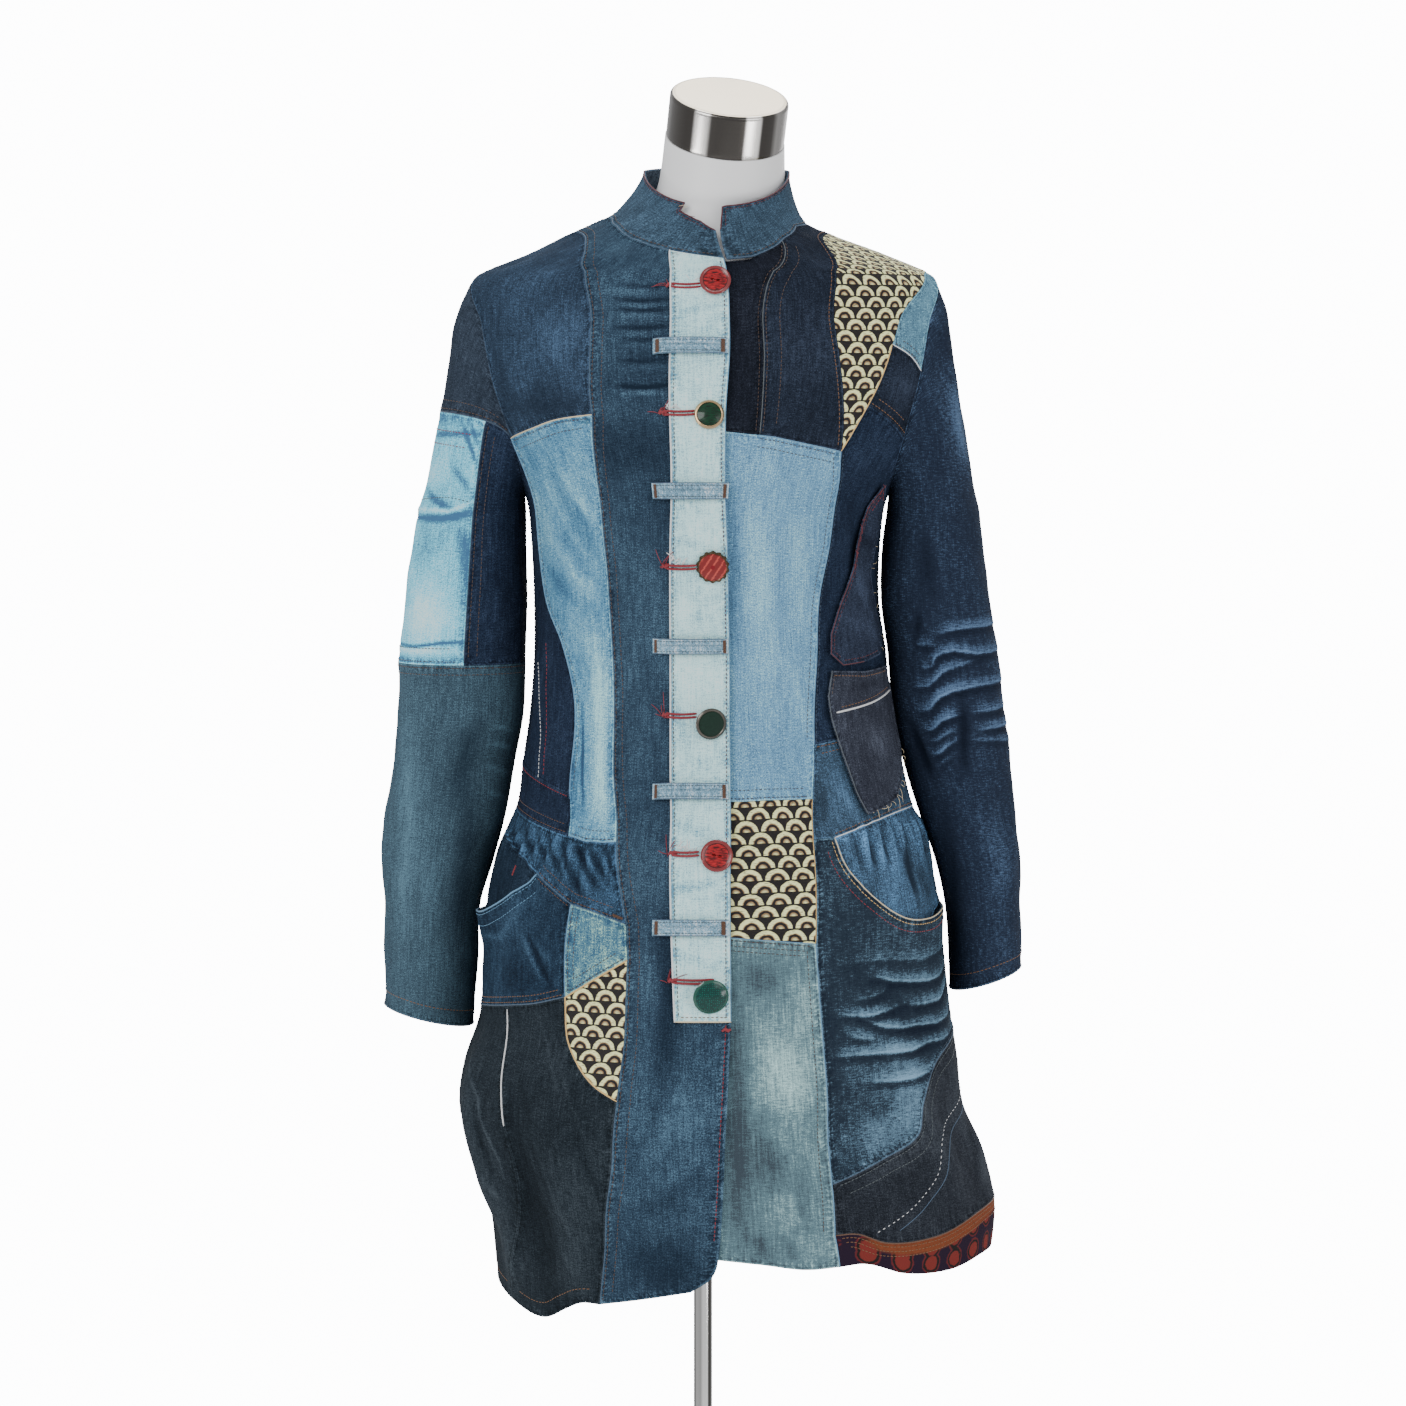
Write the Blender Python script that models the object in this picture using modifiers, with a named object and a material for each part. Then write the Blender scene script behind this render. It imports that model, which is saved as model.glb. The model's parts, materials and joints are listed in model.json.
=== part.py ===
"""Patchwork denim coat with a stand collar, worn by a limbless dress form on a pole stand.

Every piece of cloth is a thin wall. The body pieces share one surface, given by horizontal
rings. A place on it is a pair: the turn round the body in degrees (0 at the centre front,
positive toward the wearer's left, 180 at the centre back) and the height in millimetres.
The seams are lines between numbered points of that surface, and each piece of the patchwork
is the cloth inside a loop of such points, pulled back a little from every seam. Both faces
of a wall follow the shared surface's own normals, so that two walls stay parallel where they
meet at a seam.
"""

import math

import bpy
import numpy as np
from mathutils import Euler, Matrix, Vector
from mathutils.bvhtree import BVHTree
from mathutils.geometry import delaunay_2d_cdt

# All sizes are in millimetres and all angles in degrees
MM = 0.001

# Cloth: thickness of the denim and of the single layer that trims are cut from, the gaps that
# touching pieces keep, and how far the left front lies in under the right front
CLOTH = 1.6
TRIM_CLOTH = 1.2
SEAM_GAP = 0.36
REST_GAP = 0.3
TUCK = 4.6
TUCK_TURNS = (17, 9)

# Steps of the cloth's points: inside a piece, along a seam, and the least clearance of an inner
# point from a seam as a share of the step; rows of inner points start at these shares of a step
CELL = 32.0
SAMPLE = 28.0
CLEARANCE = 0.42
ROW_STARTS = (0.15, 0.5)
NO_INNER_POINTS = (200.0, 200.0)
SLIVER = 0.2
WELD = 0.0001
SHARP_ANGLE = 50
FILL_INSIDE = 1

# Body rings: the power of their rounded outline, and half-widths of the coat at each height
RING_POWER = 2.2
SECTIONS = np.array([
    # height, to the wearer's right, to the left, to the front, to the back
    (540, 172, 238, 172, 168),
    (595, 179, 246, 176, 172),
    (637, 184, 249, 180, 176),
    (673, 197, 242, 183, 178),
    (701, 204, 232, 184, 178),
    (728, 209, 222, 183, 177),
    (764, 204, 218, 181, 175),
    (803, 191, 212, 177, 170),
    (845, 188, 207, 171, 165),
    (875, 186, 204, 166, 160),
    (901, 184, 201, 161, 155),
    (924, 180, 197, 156, 149),
    (945, 175, 192, 150, 143),
    (970, 164, 184, 143, 133),
    (984, 158, 178, 138, 126),
    (1021, 153, 169, 127, 113),
    (1062, 147, 160, 118, 101),
    (1115, 143, 155, 113, 93),
    (1158, 143, 149, 119, 95),
    (1208, 145, 150, 131, 102),
    (1243, 149, 155, 136, 107),
    (1268, 159, 167, 135, 110),
    (1300, 178, 186, 129, 112),
    (1343, 199, 204, 115, 109),
    (1390, 202, 206, 98, 101),
    (1432, 190, 193, 82, 86),
    (1450, 148, 153, 74, 76),
    (1468, 109, 104, 62, 68),
    (1483, 75, 70, 52, 60),
    (1500, 40, 42, 30, 40),
], float)

# Length of cloth up to a height, which runs ahead of the height where the shoulder flattens
CLIMB = np.array([
    # height, cloth
    (0, 0),
    (1390, 1390),
    (1432, 1434),
    (1450, 1480),
    (1468, 1523),
    (1483, 1560),
    (1500, 1598),
], float)

# Cloth round the body for each degree of turn, at its mean girth
GIRTH_PER_DEGREE = 3.0

# The neckline seam, and the step between its points
NECKLINE = np.array([
    # turn, height
    (-180, 1474),
    (-135, 1479),
    (-90, 1483),
    (-60, 1478),
    (-41, 1470),
    (-29, 1462),
    (-20, 1456),
    (-9, 1449),
    (5, 1442),
    (12, 1444),
    (20, 1451),
    (30, 1460),
    (51, 1471),
    (90, 1476),
    (135, 1477),
    (180, 1474),
], float)
NECKLINE_STEP = 9

# The armhole, an oval on the body surface
ARMHOLE_TURN = 90
ARMHOLE_HEIGHT = 1341
ARMHOLE_HALF_TURN = 30
ARMHOLE_HALF_HEIGHT = 91
ARMHOLE_STEP = 12

# Numbered points on the armholes, by their angle
ARMHOLE_POINTS = {
    "ratop": (-1, 0), "ra": (-1, 120), "rapit": (-1, 180),
    "latop": (1, 0), "la1": (1, 84), "la2": (1, 120), "lapit": (1, 180),
}

# Numbered points along each seam, from the top down or from the front round, as (turn, height)
SEAM_POINTS = {
    # free front edge of the right front, and of the left front that lies under it
    "edge": ((4.5, 1442.25), (5, 823), (2.4, 640), (-2.4, 602)),
    "under": ((-3.5, 1446.25), (-3.5, 1303), (-3.5, 999), (-3.5, 894), (-3.5, 631)),
    # left edge of the light button strip on the right front
    "strip": ((-9, 1449), (-5.8, 823)),
    # shoulder seams, from the neck out to the armhole
    "rs": ((-90, 1483), (-90, 1470)),
    "ls": ((90, 1476), (90, 1468), (90, 1438)),
    # right front: side of the centre strip, outer side of the light panel, cross seams
    "rc": ((-27, 1314), (-23, 965), (-17.7, 900), (-17.2, 872), (-17.8, 758), (-26, 588)),
    "rl": ((-43.3, 1001), (-40.1, 968)),
    "rw": ((-90, 1022), (-90, 984), (-90, 964)),
    "rf": ((-48.8, 936), (-34.3, 914)),
    "rp": ((-90, 898), (-90, 812)),
    "ri": ((-34.6, 839),),
    "rk": ((-58.1, 825), (-64, 575)),
    "rh": ((-90, 590),),
    # left front: neck strip, chest, brocade wedge, shoulder patch, armhole piece
    "ln": ((27, 1457.3), (12.4, 1298)),
    "lt": ((37.6, 1284), (41.6, 1322), (47.1, 1372)),
    # left front: outer side of the light panel down to the hem
    "lc": ((31.8, 1043), (28.9, 999), (26.9, 967), (24.7, 884), (24.1, 689), (23.5, 647), (24.5, 620)),
    "lp": ((33.6, 967.5),),
    # left side seam
    "lw": ((90, 1051), (90, 984), (90, 905), (90, 795), (90, 652), (90, 606)),
    # back: seams from the shoulders to the waist, and the centre seam of the skirt
    "bl": ((90, 1455), (144, 985)),
    "br": ((-90, 1455), (-144, 985)),
    "bc": ((180, 986), (180, 600)),
}

# Points that a seam bends through between two numbered points
BENDS = {
    "edge1 edge2": ((4.9, 1370), (4.4, 1314), (6.5, 1183), (6.1, 1000), (5.3, 934)),
    "edge3 edge4": ((1.6, 618), (0.2, 609)),
    "strip1 strip2": (
        (-6.7, 1432), (-6.3, 1390), (-7.2, 1300), (-9, 1208), (-9.2, 1115), (-8.5, 1021), (-7.1, 924),
    ),
    "rs2 rc1": ((-52, 1462), (-41, 1452), (-32, 1438), (-26, 1415), (-25, 1370)),
    "rc1 rc2": ((-31.8, 1254), (-30.5, 1170), (-28.3, 1090), (-26, 1010)),
    "rc5 rc6": ((-19, 707), (-22.5, 655)),
    "rc1 ra": ((-38.9, 1310), (-50, 1303)),
    "ra rl1": ((-68.8, 1258), (-70, 1205), (-65.3, 1163), (-53.2, 1124), (-45, 1078)),
    "rw1 rl1": ((-66, 1013),),
    "rw2 rl2": ((-66, 978),),
    "rl2 rc2": ((-32, 964.5),),
    "rw3 rf1": ((-72, 957), (-57.6, 947)),
    "rf2 rc3": ((-26, 908),),
    "rf1 rp1": ((-55, 918), (-65, 904), (-77, 896)),
    "rf2 ri1": ((-35.2, 875),),
    "ri1 rc5": ((-33.4, 806), (-30, 789), (-24, 770)),
    "rk1 rk2": ((-53.4, 769), (-50.1, 720), (-49.5, 675), (-57, 622)),
    "ri1 rk1": ((-45, 831),),
    "rk1 rp2": ((-75, 818),),
    "rc6 rk2": ((-31.3, 588), (-37.5, 580), (-46, 569)),
    "rk2 rh1": ((-76, 581),),
    "edge4 rc6": ((-12, 596),),
    "ln1 ln2": ((17.6, 1436), (13, 1420), (12, 1355)),
    "ls2 lt1": ((48, 1458), (34, 1435), (29.8, 1412), (31, 1355)),
    "ls3 lt3": ((66, 1425), (53.1, 1403)),
    "lt3 la1": ((54.8, 1362),),
    "under2 ln2": ((5, 1301),),
    "ln2 lt1": ((24, 1291),),
    "lt1 lc1": ((42, 1251), (41.8, 1209), (38, 1165), (34.2, 1097)),
    "lc1 lw1": ((50, 1049),),
    "lp1 lw2": ((46.4, 976), (64, 983)),
    "lc4 lc5": ((25.2, 746),),
    "lp1 lw3": ((36, 938), (42, 917), (52, 899), (64, 895), (78, 900)),
    "lc5 lw4": ((37, 705), (50, 722), (53, 748), (63, 777)),
    "lc6 lw5": ((28, 647), (35, 637), (48, 636), (66, 646)),
    "lc7 lw6": ((29.7, 621), (40, 609), (54, 605), (70, 609)),
    "under5 lc7": ((8, 624), (18, 619)),
    "bl1 bl2": ((128, 1444), (142, 1415), (146, 1330), (147, 1240), (146, 1100)),
    "br1 br2": ((-128, 1444), (-142, 1415), (-146, 1330), (-147, 1240), (-146, 1100)),
    "lw6 bc2": ((135, 598),),
    "bc2 rh1": ((-135, 588),),
}

# Each piece of the body: its seam points in order round it, and its colour
PANELS = {
    "front_right_centre": ("edge1 strip1 rs1 rs2 rc1 rc2 rc3 rc4 rc5 rc6 edge4 edge3 edge2", "mid"),
    "front_right_shoulder": ("rs2 br1 ratop ra rc1", "dark"),
    "front_right_light": ("rc1 ra rl1 rl2 rc2", "light"),
    "front_right_side": ("ra rapit rw1 rl1", "dark"),
    "waist_right_side": ("rl1 rw1 rw2 rl2", "dark"),
    "skirt_right_gather": ("rc2 rl2 rw2 rw3 rf1 rf2 rc3", "dark"),
    "skirt_right_facing": ("rf1 rw3 rp1", "dark"),
    "skirt_right_pocket": ("rf2 rf1 rp1 rp2 rk1 ri1", "dark"),
    "skirt_right_light": ("rc3 rf2 ri1 rc4", "light"),
    "skirt_right_brocade": ("rc4 ri1 rc5", "black"),
    "skirt_right_lower_front": ("rc5 ri1 rk1 rk2 rc6", "navy"),
    "skirt_right_lower_side": ("rk1 rp2 rh1 rk2", "navy"),
    "front_left_neck": ("ln1 under1 under2 ln2", "navy"),
    "front_left_chest": ("ls2 ls1 ln1 ln2 lt1", "navy"),
    "shoulder_left_brocade": ("ls3 bl1 ls2 lt1 lt2 lt3", "black"),
    "shoulder_left_light": ("latop ls3 lt3 la1", "light"),
    "front_left_armhole": ("lt3 lt2 la2 la1", "dark"),
    "front_left_panel": ("lt1 ln2 under2 under3 lc2 lc1", "light"),
    "front_left_side": ("lt2 lt1 lc1 lw1 lapit la2", "navy"),
    "front_left_waist": ("lc1 lc2 lc3 lp1 lw2 lw1", "mid"),
    "skirt_left_brocade": ("lc2 under3 under4 lc4 lc3", "black"),
    "skirt_left_centre": ("lc4 under4 under5 lc7 lc6 lc5", "light"),
    "skirt_left_gather": ("lw2 lp1 lw3", "mid"),
    "skirt_left_side": ("lp1 lc3 lc4 lc5 lw4 lw3", "mid"),
    "skirt_left_dark": ("lw4 lc5 lc6 lw5", "navy"),
    "skirt_left_band": ("lw5 lc6 lc7 lw6", "purple"),
    "back_centre": ("ls1 ls2 bl1 bl2 bc1 br2 br1 rs2 rs1", "mid"),
    "back_left_side": ("bl1 ls3 latop lapit lw1 lw2 bl2", "dark"),
    "back_right_side": ("br1 br2 rw2 rw1 rapit ratop", "dark"),
    "back_skirt_left": ("bc1 bl2 lw2 lw3 lw4 lw5 lw6 bc2", "mid"),
    "back_skirt_right": ("rw2 br2 bc1 bc2 rh1 rp2 rp1 rw3", "dark"),
}
BACK_PANELS = (
    "back_centre", "back_left_side", "back_right_side",
    "back_skirt_left", "back_skirt_right",
)
UNDER_PANELS = ("front_left_neck", "front_left_panel", "skirt_left_brocade", "skirt_left_centre")

# Long soft folds
FOLDS = (
    # both ends as (turn, height), height of the ridge or depth of the trough, half-width
    ((-70, 770), (-60, 610), 7, 20),
    ((-46, 740), (-44, 600), -5, 18),
    ((-32, 700), (-33, 600), 4, 16),
    ((-78, 700), (-84, 600), -6, 16),
    ((8, 740), (10, 640), -4, 18),
    ((34, 860), (60, 800), -3.5, 16),
    ((44, 800), (58, 690), 5, 22),
    ((72, 760), (80, 660), 6, 22),
    ((-52, 1240), (-38, 1190), -4, 18),
    ((54, 1230), (72, 1150), -4, 20),
    ((118, 930), (112, 650), -6, 22),
    ((142, 900), (146, 640), 6, 24),
    ((168, 940), (164, 650), -6, 22),
    ((-166, 900), (-162, 640), 6, 24),
    ((-140, 940), (-136, 650), -6, 24),
    ((-114, 880), (-112, 630), 5, 22),
    ((150, 1180), (-150, 1160), -4, 16),
    ((158, 1110), (-156, 1095), -4, 15),
)

# Gathers below a waist seam, which die away before the next seam down
GATHERS = (
    # first turn, last turn, seam height, count, depth, length at the first turn, at the last turn
    (-86, -24, 970, 9, 2.6, 22, 64),
    (38, 112, 981, 12, 3.0, 52, 84),
    (118, 232, 985, 14, 3.2, 84, 84),
)
GATHER_START = 12
GATHER_ENDS = 0.06

# The two pocket mouths, each from its inner end to the side seam, and the cloth seen behind each
MOUTHS = {
    # piece: inner end, outer end, how far the edge stands out, how far down the lift reaches
    "skirt_right_pocket": ("rf1", "rp1", 9.0, 24.0),
    "skirt_left_side": ("lp1", "lw3", 6.0, 24.0),
}
FACINGS = {
    "skirt_right_facing": "skirt_right_pocket",
    "skirt_left_gather": "skirt_left_side",
}
FACING_DEPTH = 14.0

# Gathered pieces need closer points
FINE_GRIDS = {
    # piece: step round the body, step up, lowest height
    "skirt_right_gather": (5.2, 15.0, 880),
    "skirt_left_gather": (5.2, 16.0, 896),
    "back_skirt_left": (7.5, 17.0, 906),
    "back_skirt_right": (7.5, 17.0, 906),
}

# Stand collar: its height, the oval of its top edge, how far that edge dips in front and rises at
# the back, how much it curves in above the neckline, and its cloth for each degree of turn
COLLAR_RISE = 48.0
COLLAR_TOP_CENTRE = (11.5, -3.0)
COLLAR_TOP_HALF = (60.5, 58.0)
COLLAR_TOP_HEIGHT = 1520
COLLAR_FRONT_DIP = 33
COLLAR_BACK_RISE = 8
COLLAR_CURVE = 0.4
COLLAR_FLAT = 1.25
COLLAR_CELLS = (16.0, 16.0)
COLLAR_TOP_STEP = 12
COLLAR_PIECES = {
    # side, then front edge and notch as (turn, rise) up to where the level top edge starts
    "collar_right": (-1, (
        (4.7, 0), (3.2, 12), (1.5, 25), (-5.6, 32), (-15.5, 36), (-22, 38), (-23.5, 48),
    )),
    "collar_left": (1, ((5.2, 0), (4.1, 12), (2.8, 26), (3.0, 47), (6, 48))),
}

# Sleeve rings by level
SLEEVES = np.array([
    # level, right centre, right half-width, left centre, left half-width, centre's depth, half-depth
    (780, 237.0, 38.0, 241.0, 28.0, 10, 46),
    (811, 235.5, 38.0, 241.5, 28.5, 10, 46),
    (849, 234.0, 40.0, 242.5, 30.5, 10, 48),
    (897, 232.5, 40.5, 240.5, 32.0, 10, 50),
    (935, 226.5, 46.0, 235.5, 35.5, 9, 52),
    (974, 220.5, 50.5, 226.75, 40.25, 8, 53),
    (1021, 213.0, 51.5, 217.5, 45.5, 7, 54),
    (1062, 208.0, 54.0, 211.0, 48.0, 6, 55),
    (1115, 205.5, 53.5, 205.0, 47.0, 5, 56),
    (1158, 202.5, 52.0, 198.75, 46.25, 4, 57),
    (1208, 198.5, 47.5, 195.25, 41.75, 2, 58),
    (1235, 196.0, 45.0, 195.5, 38.5, 1, 59),
    (1268, 190.5, 39.0, 193.0, 35.0, 0, 60),
    (1301, 189.0, 30.0, 190.0, 28.0, 0, 60),
], float)
# Where the sleeve's cap meets its rings, its cloth for each degree, how far the cap rounds over the
# shoulder on each side, how fast it falls there, and the steps of its points
SLEEVE_JOIN = 1235
SLEEVE_FLAT = 0.9
CAP_ROUND = {-1: 20.0, 1: 13.0}
CAP_START = 1.5
CAP_FALL = 0.07
SLEEVE_CELLS = (15.0, 42.0)
SLEEVE_FOLDS = {
    # side: both ends as (angle, level), height of the ridge or depth of the trough, half-width
    -1: (
        ((150, 1090), (60, 1060), -3, 15),
        ((165, 1030), (80, 1005), -3, 14),
        ((-20, 1000), (30, 900), 2.5, 16),
        ((-150, 1080), (-70, 1050), -3, 15),
        ((30, 1190), (90, 1160), -2.5, 12),
    ),
    1: (
        ((165, 1130), (70, 1100), -3, 15),
        ((160, 1060), (60, 1035), -3, 14),
        ((20, 1000), (60, 890), 2.5, 16),
        ((-160, 1100), (-70, 1070), -3, 15),
        ((40, 1075), (110, 1050), 2.5, 12),
    ),
}

# Sleeve seams: the level of the right cap's lower edge and how it sags, and where it ends on the
# armhole, the level of the elbow seam, and each cuff's level and slant
CAP_SEAM_LEVEL = 1295.5
CAP_SEAM_SAG = 6.7
CAP_SEAM_END = 120
ELBOW_SEAM_LEVEL = 1105
RIGHT_CUFF = (802, 9)
LEFT_CUFF = (834, 10)

# Belt loops sewn across the button strip: their middle heights, their ends across the front, how
# far each arches, and how far before the strip's edge it starts to step up, and over what turn
LOOP_HEIGHTS = (1369, 1252, 1125, 1006, 898)
LOOP_ENDS = (-41, 20.5)
LOOP_WIDTH = 13
LOOP_ARCH = 2.6
LOOP_COLUMNS = 12
LOOP_STEP_UP = (4.5, 3.5)

# Flap and tab that hang at the left side, as outlines of (turn, height)
HANGING = {
    "side_flap": ((66, 1258), (60, 1240), (58, 1216), (54, 1189), (46, 1157), (41, 1134), (40, 1117),
                  (45, 1107), (56, 1109), (68, 1114), (75, 1136), (73, 1157), (69, 1182), (70, 1207),
                  (72, 1225), (71, 1246)),
    "side_tab": ((40, 1103), (38, 1082), (38.5, 1065), (41, 1034), (44, 1002), (47, 983), (55, 987),
                 (64, 994), (73, 1012), (80, 1036), (81, 1063), (78, 1083), (73, 1104), (56, 1101)),
}
HANGING_LIFT = 1.5
HANGING_CELL = 15.0

# Buttons
BUTTONS = (
    # place across the front, height, kind, radius, lean to the side, lean back, colour
    (10, 1423, "flat", 13.0, 0, 2, "red"),
    (5, 1313, "gem", 12.2, 0, -2, "green"),
    (8, 1191, "scalloped", 14.0, -3, 0, "red"),
    (6, 1061, "gem", 13.0, 14, -16, "green"),
    (11, 955, "flat", 13.2, 2, -2, "red"),
    (6, 844, "domed", 14.6, 10, -22, "green"),
)
# Turned outlines from the middle of the face round to the middle of the back
BUTTON_OUTLINES = {
    # kind: pairs of the share of the radius and the height above the back
    "flat": ((0, 2.6), (0.78, 2.6), (0.86, 3.4), (1, 2.6), (0.92, 0), (0, 0)),
    "gem": ((0, 5.2), (0.78, 3.4), (0.9, 3.9), (1, 2.6), (0.9, 0), (0, 0)),
    "scalloped": ((0, 3.6), (0.74, 2.8), (0.86, 3.5), (1, 2.2), (0.9, 0), (0, 0)),
    "domed": ((0, 5.4), (0.55, 4.7), (0.94, 2.4), (1, 1.4), (0.85, 0), (0, 0)),
}
BUTTON_SIDES = 14
BUTTON_START = 20.0

# Dress form, a general figure, and the heights of its rings up to the chest
FORM_BODY = np.array([
    # height, half-width, to the front, to the back
    (770, 146, 108, 112),
    (778, 156, 116, 120),
    (850, 164, 121, 124),
    (930, 154, 116, 112),
    (1021, 134, 106, 95),
    (1100, 123, 98, 80),
    (1158, 125, 104, 80),
    (1208, 130, 115, 87),
    (1243, 136, 121, 93),
    (1300, 158, 115, 98),
    (1343, 178, 101, 95),
    (1385, 188, 86, 88),
], float)
FORM_HEIGHTS = (770, 776, 800, 850, 910, 970, 1030, 1090, 1140, 1190, 1243, 1290, 1340, 1385)

# The form's shoulders lie this far in from the outside of the cloth, and deeper in front
FORM_SHOULDERS = (
    # height of the cloth, depth below its outside
    (1418, 7.0),
    (1435, 4.2),
    (1452, 4.0),
    (1465, 5.0),
)
FORM_FRONT_DEPTH = 5.0
FORM_NECK = (
    # centre across, centre front to back, height, half-width, half-depth
    (6, -1, 1484, 60, 52),
    (12, -2, 1496, 56, 53),
    (16, -3.5, 1512, 53, 52),
)
FORM_SIDES = 32

# Metal cap on the neck: its seat, its tilt forward and to the wearer's left, and its turned outline
CAP_SEAT = (18.5, -9.0, 1546.0)
CAP_TILT = (25.0, 6.5)
NECK_RADIUS = 50.6
CAP_RADIUS = 50.0
CAP_HEIGHT = 38.0
CAP_EDGE = 4.5
CAP_EDGE_STEPS = 4
CAP_SIDES = 32

# Stand: pole, flange at its foot, and round base
POLE_RADIUS = 8.0
POLE_SIDES = 16
BASE_RADIUS = 170.0
BASE_HEIGHT = 10.0
BASE_EDGE = 3.0
BASE_SIDES = 40
FLANGE_SIDES = 24
FLANGE_FOOT = BASE_HEIGHT + REST_GAP
FLANGE_TOP = 34.0
FLANGE_OUTLINE = (
    # radius, height
    (0, FLANGE_TOP),
    (13, FLANGE_TOP),
    (14.5, 32),
    (15, 24),
    (19, 16),
    (34, 12.6),
    (36, 11.4),
    (36, FLANGE_FOOT),
    (0, FLANGE_FOOT),
)

# Base colours of the materials, as linear red, green and blue
COLOURS = {
    "mid": (0.06, 0.12, 0.22),
    "dark": (0.03, 0.06, 0.14),
    "navy": (0.014, 0.02, 0.05),
    "light": (0.22, 0.42, 0.56),
    "pale": (0.50, 0.62, 0.66),
    "black": (0.02, 0.02, 0.03),
    "purple": (0.03, 0.02, 0.07),
    "red": (0.35, 0.03, 0.03),
    "green": (0.01, 0.16, 0.08),
    "white": (0.85, 0.85, 0.84),
    "steel": (0.45, 0.43, 0.40),
}


for thing in list(bpy.data.objects):
    bpy.data.objects.remove(thing, do_unlink=True)
coat = bpy.data.collections.new("denim_coat_on_form")
bpy.context.scene.collection.children.link(coat)


def smooth_through(x, table_x, table_y):
    """Smooth curve through the points of a table, its slope at each the mean of both sides."""
    step = np.diff(table_x)
    rise = np.diff(table_y) / step
    slope = np.concatenate((rise[:1], rise, rise[-1:]))
    slope = 0.5 * (slope[1:] + slope[:-1])
    x = np.clip(x, table_x[0], table_x[-1])
    i = np.clip(np.searchsorted(table_x, x) - 1, 0, len(step) - 1)
    t = (x - table_x[i]) / step[i]
    start = (2 * t**3 - 3 * t**2 + 1) * table_y[i] + (t**3 - 2 * t**2 + t) * step[i] * slope[i]
    end = (3 * t**2 - 2 * t**3) * table_y[i + 1] + (t**3 - t**2) * step[i] * slope[i + 1]
    return start + end


def ease(x):
    """0 below 0, 1 above 1, and a smooth step between."""
    x = np.clip(x, 0, 1)
    return x * x * (3 - 2 * x)


def to_flat(turn, height):
    """Lay a place of the body out flat, in millimetres of cloth."""
    return np.stack((GIRTH_PER_DEGREE * turn, np.interp(height, CLIMB[:, 0], CLIMB[:, 1])), axis=-1)


def from_flat(flat):
    """Turn and height of places that are laid out flat."""
    return flat[..., 0] / GIRTH_PER_DEGREE, np.interp(flat[..., 1], CLIMB[:, 1], CLIMB[:, 0])


def ring_point(turn, height):
    """The coat's ring at a height, before its folds."""
    columns = [smooth_through(height, SECTIONS[:, 0], SECTIONS[:, k]) for k in range(1, 5)]
    right, left, front, back = columns
    sine = np.sin(np.radians(turn))
    cosine = np.cos(np.radians(turn))
    half_width = np.where(sine > 0, left, right)
    half_depth = np.where(cosine > 0, front, back)
    x = half_width * np.sign(sine) * np.abs(sine) ** (2 / RING_POWER)
    y = -half_depth * np.sign(cosine) * np.abs(cosine) ** (2 / RING_POWER)
    return np.stack((x, y, height + 0 * x), axis=-1)


def normals(surface, turn, height):
    """Unit normals, from the surface one half step to each side."""
    across = surface(turn + 0.5, height) - surface(turn - 0.5, height)
    along = surface(turn, height + 1.0) - surface(turn, height - 1.0)
    normal = np.cross(across, along)
    return normal / np.linalg.norm(normal, axis=-1, keepdims=True)


def near_line(flat, start, end):
    """Distance of each flat point from a line, and how far along the line it is, 0 to 1."""
    run = end - start
    share = np.clip(((flat - start) @ run) / (run @ run), 0, 1)
    return np.linalg.norm(flat - start - share[..., None] * run, axis=-1), share


def relief(turn, height):
    """How far the folds and gathers lift the cloth off its ring."""
    turn = (turn + 180) % 360 - 180
    total = np.zeros(np.broadcast(turn, height).shape)
    for start, end, rise, half_width in FOLDS:
        shift = 360 if abs(start[0] - end[0]) > 180 or start[0] > 100 else 0
        around = np.where(turn < -1, turn + shift, turn) if shift else turn
        far_end = (end[0] + shift if end[0] < 0 else end[0], end[1])
        distance, share = near_line(to_flat(around, height), to_flat(*start), to_flat(*far_end))
        along = 0.55 + 0.45 * np.sin(math.pi * share)
        total = total + rise * along * np.exp(-(distance / half_width) ** 2)
    for first, last, seam, count, depth, first_length, last_length in GATHERS:
        around = turn % 360 if last > 180 else turn
        share = (around - first) / (last - first)
        below = seam - height
        wave = np.cos(2 * math.pi * count * share + 0.9 * np.sin(5 * share) + 0.004 * below)
        length = first_length + (last_length - first_length) * share
        length = length * (0.92 + 0.08 * np.sin(9 * share))
        fade = ease(below / GATHER_START) * ease((length - below) / (0.7 * np.abs(length)))
        ends = ease(share / GATHER_ENDS) * ease((1 - share) / GATHER_ENDS)
        total = total + depth * wave * fade * ends
    return total


def coat_point(turn, height):
    """Outer surface of the coat's body."""
    base = ring_point(turn, height)
    return base + normals(ring_point, turn, height) * relief(turn, height)[..., None]


def armhole_place(side, angle):
    """Place on the body of the armhole's edge: angle 0 at the shoulder, 90 in front, 180 underarm."""
    angle = np.radians(angle)
    turn = side * (ARMHOLE_TURN - ARMHOLE_HALF_TURN * np.sin(angle))
    return turn, ARMHOLE_HEIGHT + ARMHOLE_HALF_HEIGHT * np.cos(angle)


def place(name):
    """Turn and height of a numbered point."""
    if name in ARMHOLE_POINTS:
        turn, height = armhole_place(*ARMHOLE_POINTS[name])
        return np.array((turn, height), float)
    seam = name.rstrip("0123456789")
    return np.array(SEAM_POINTS[seam][int(name[len(seam):]) - 1], float)


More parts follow.
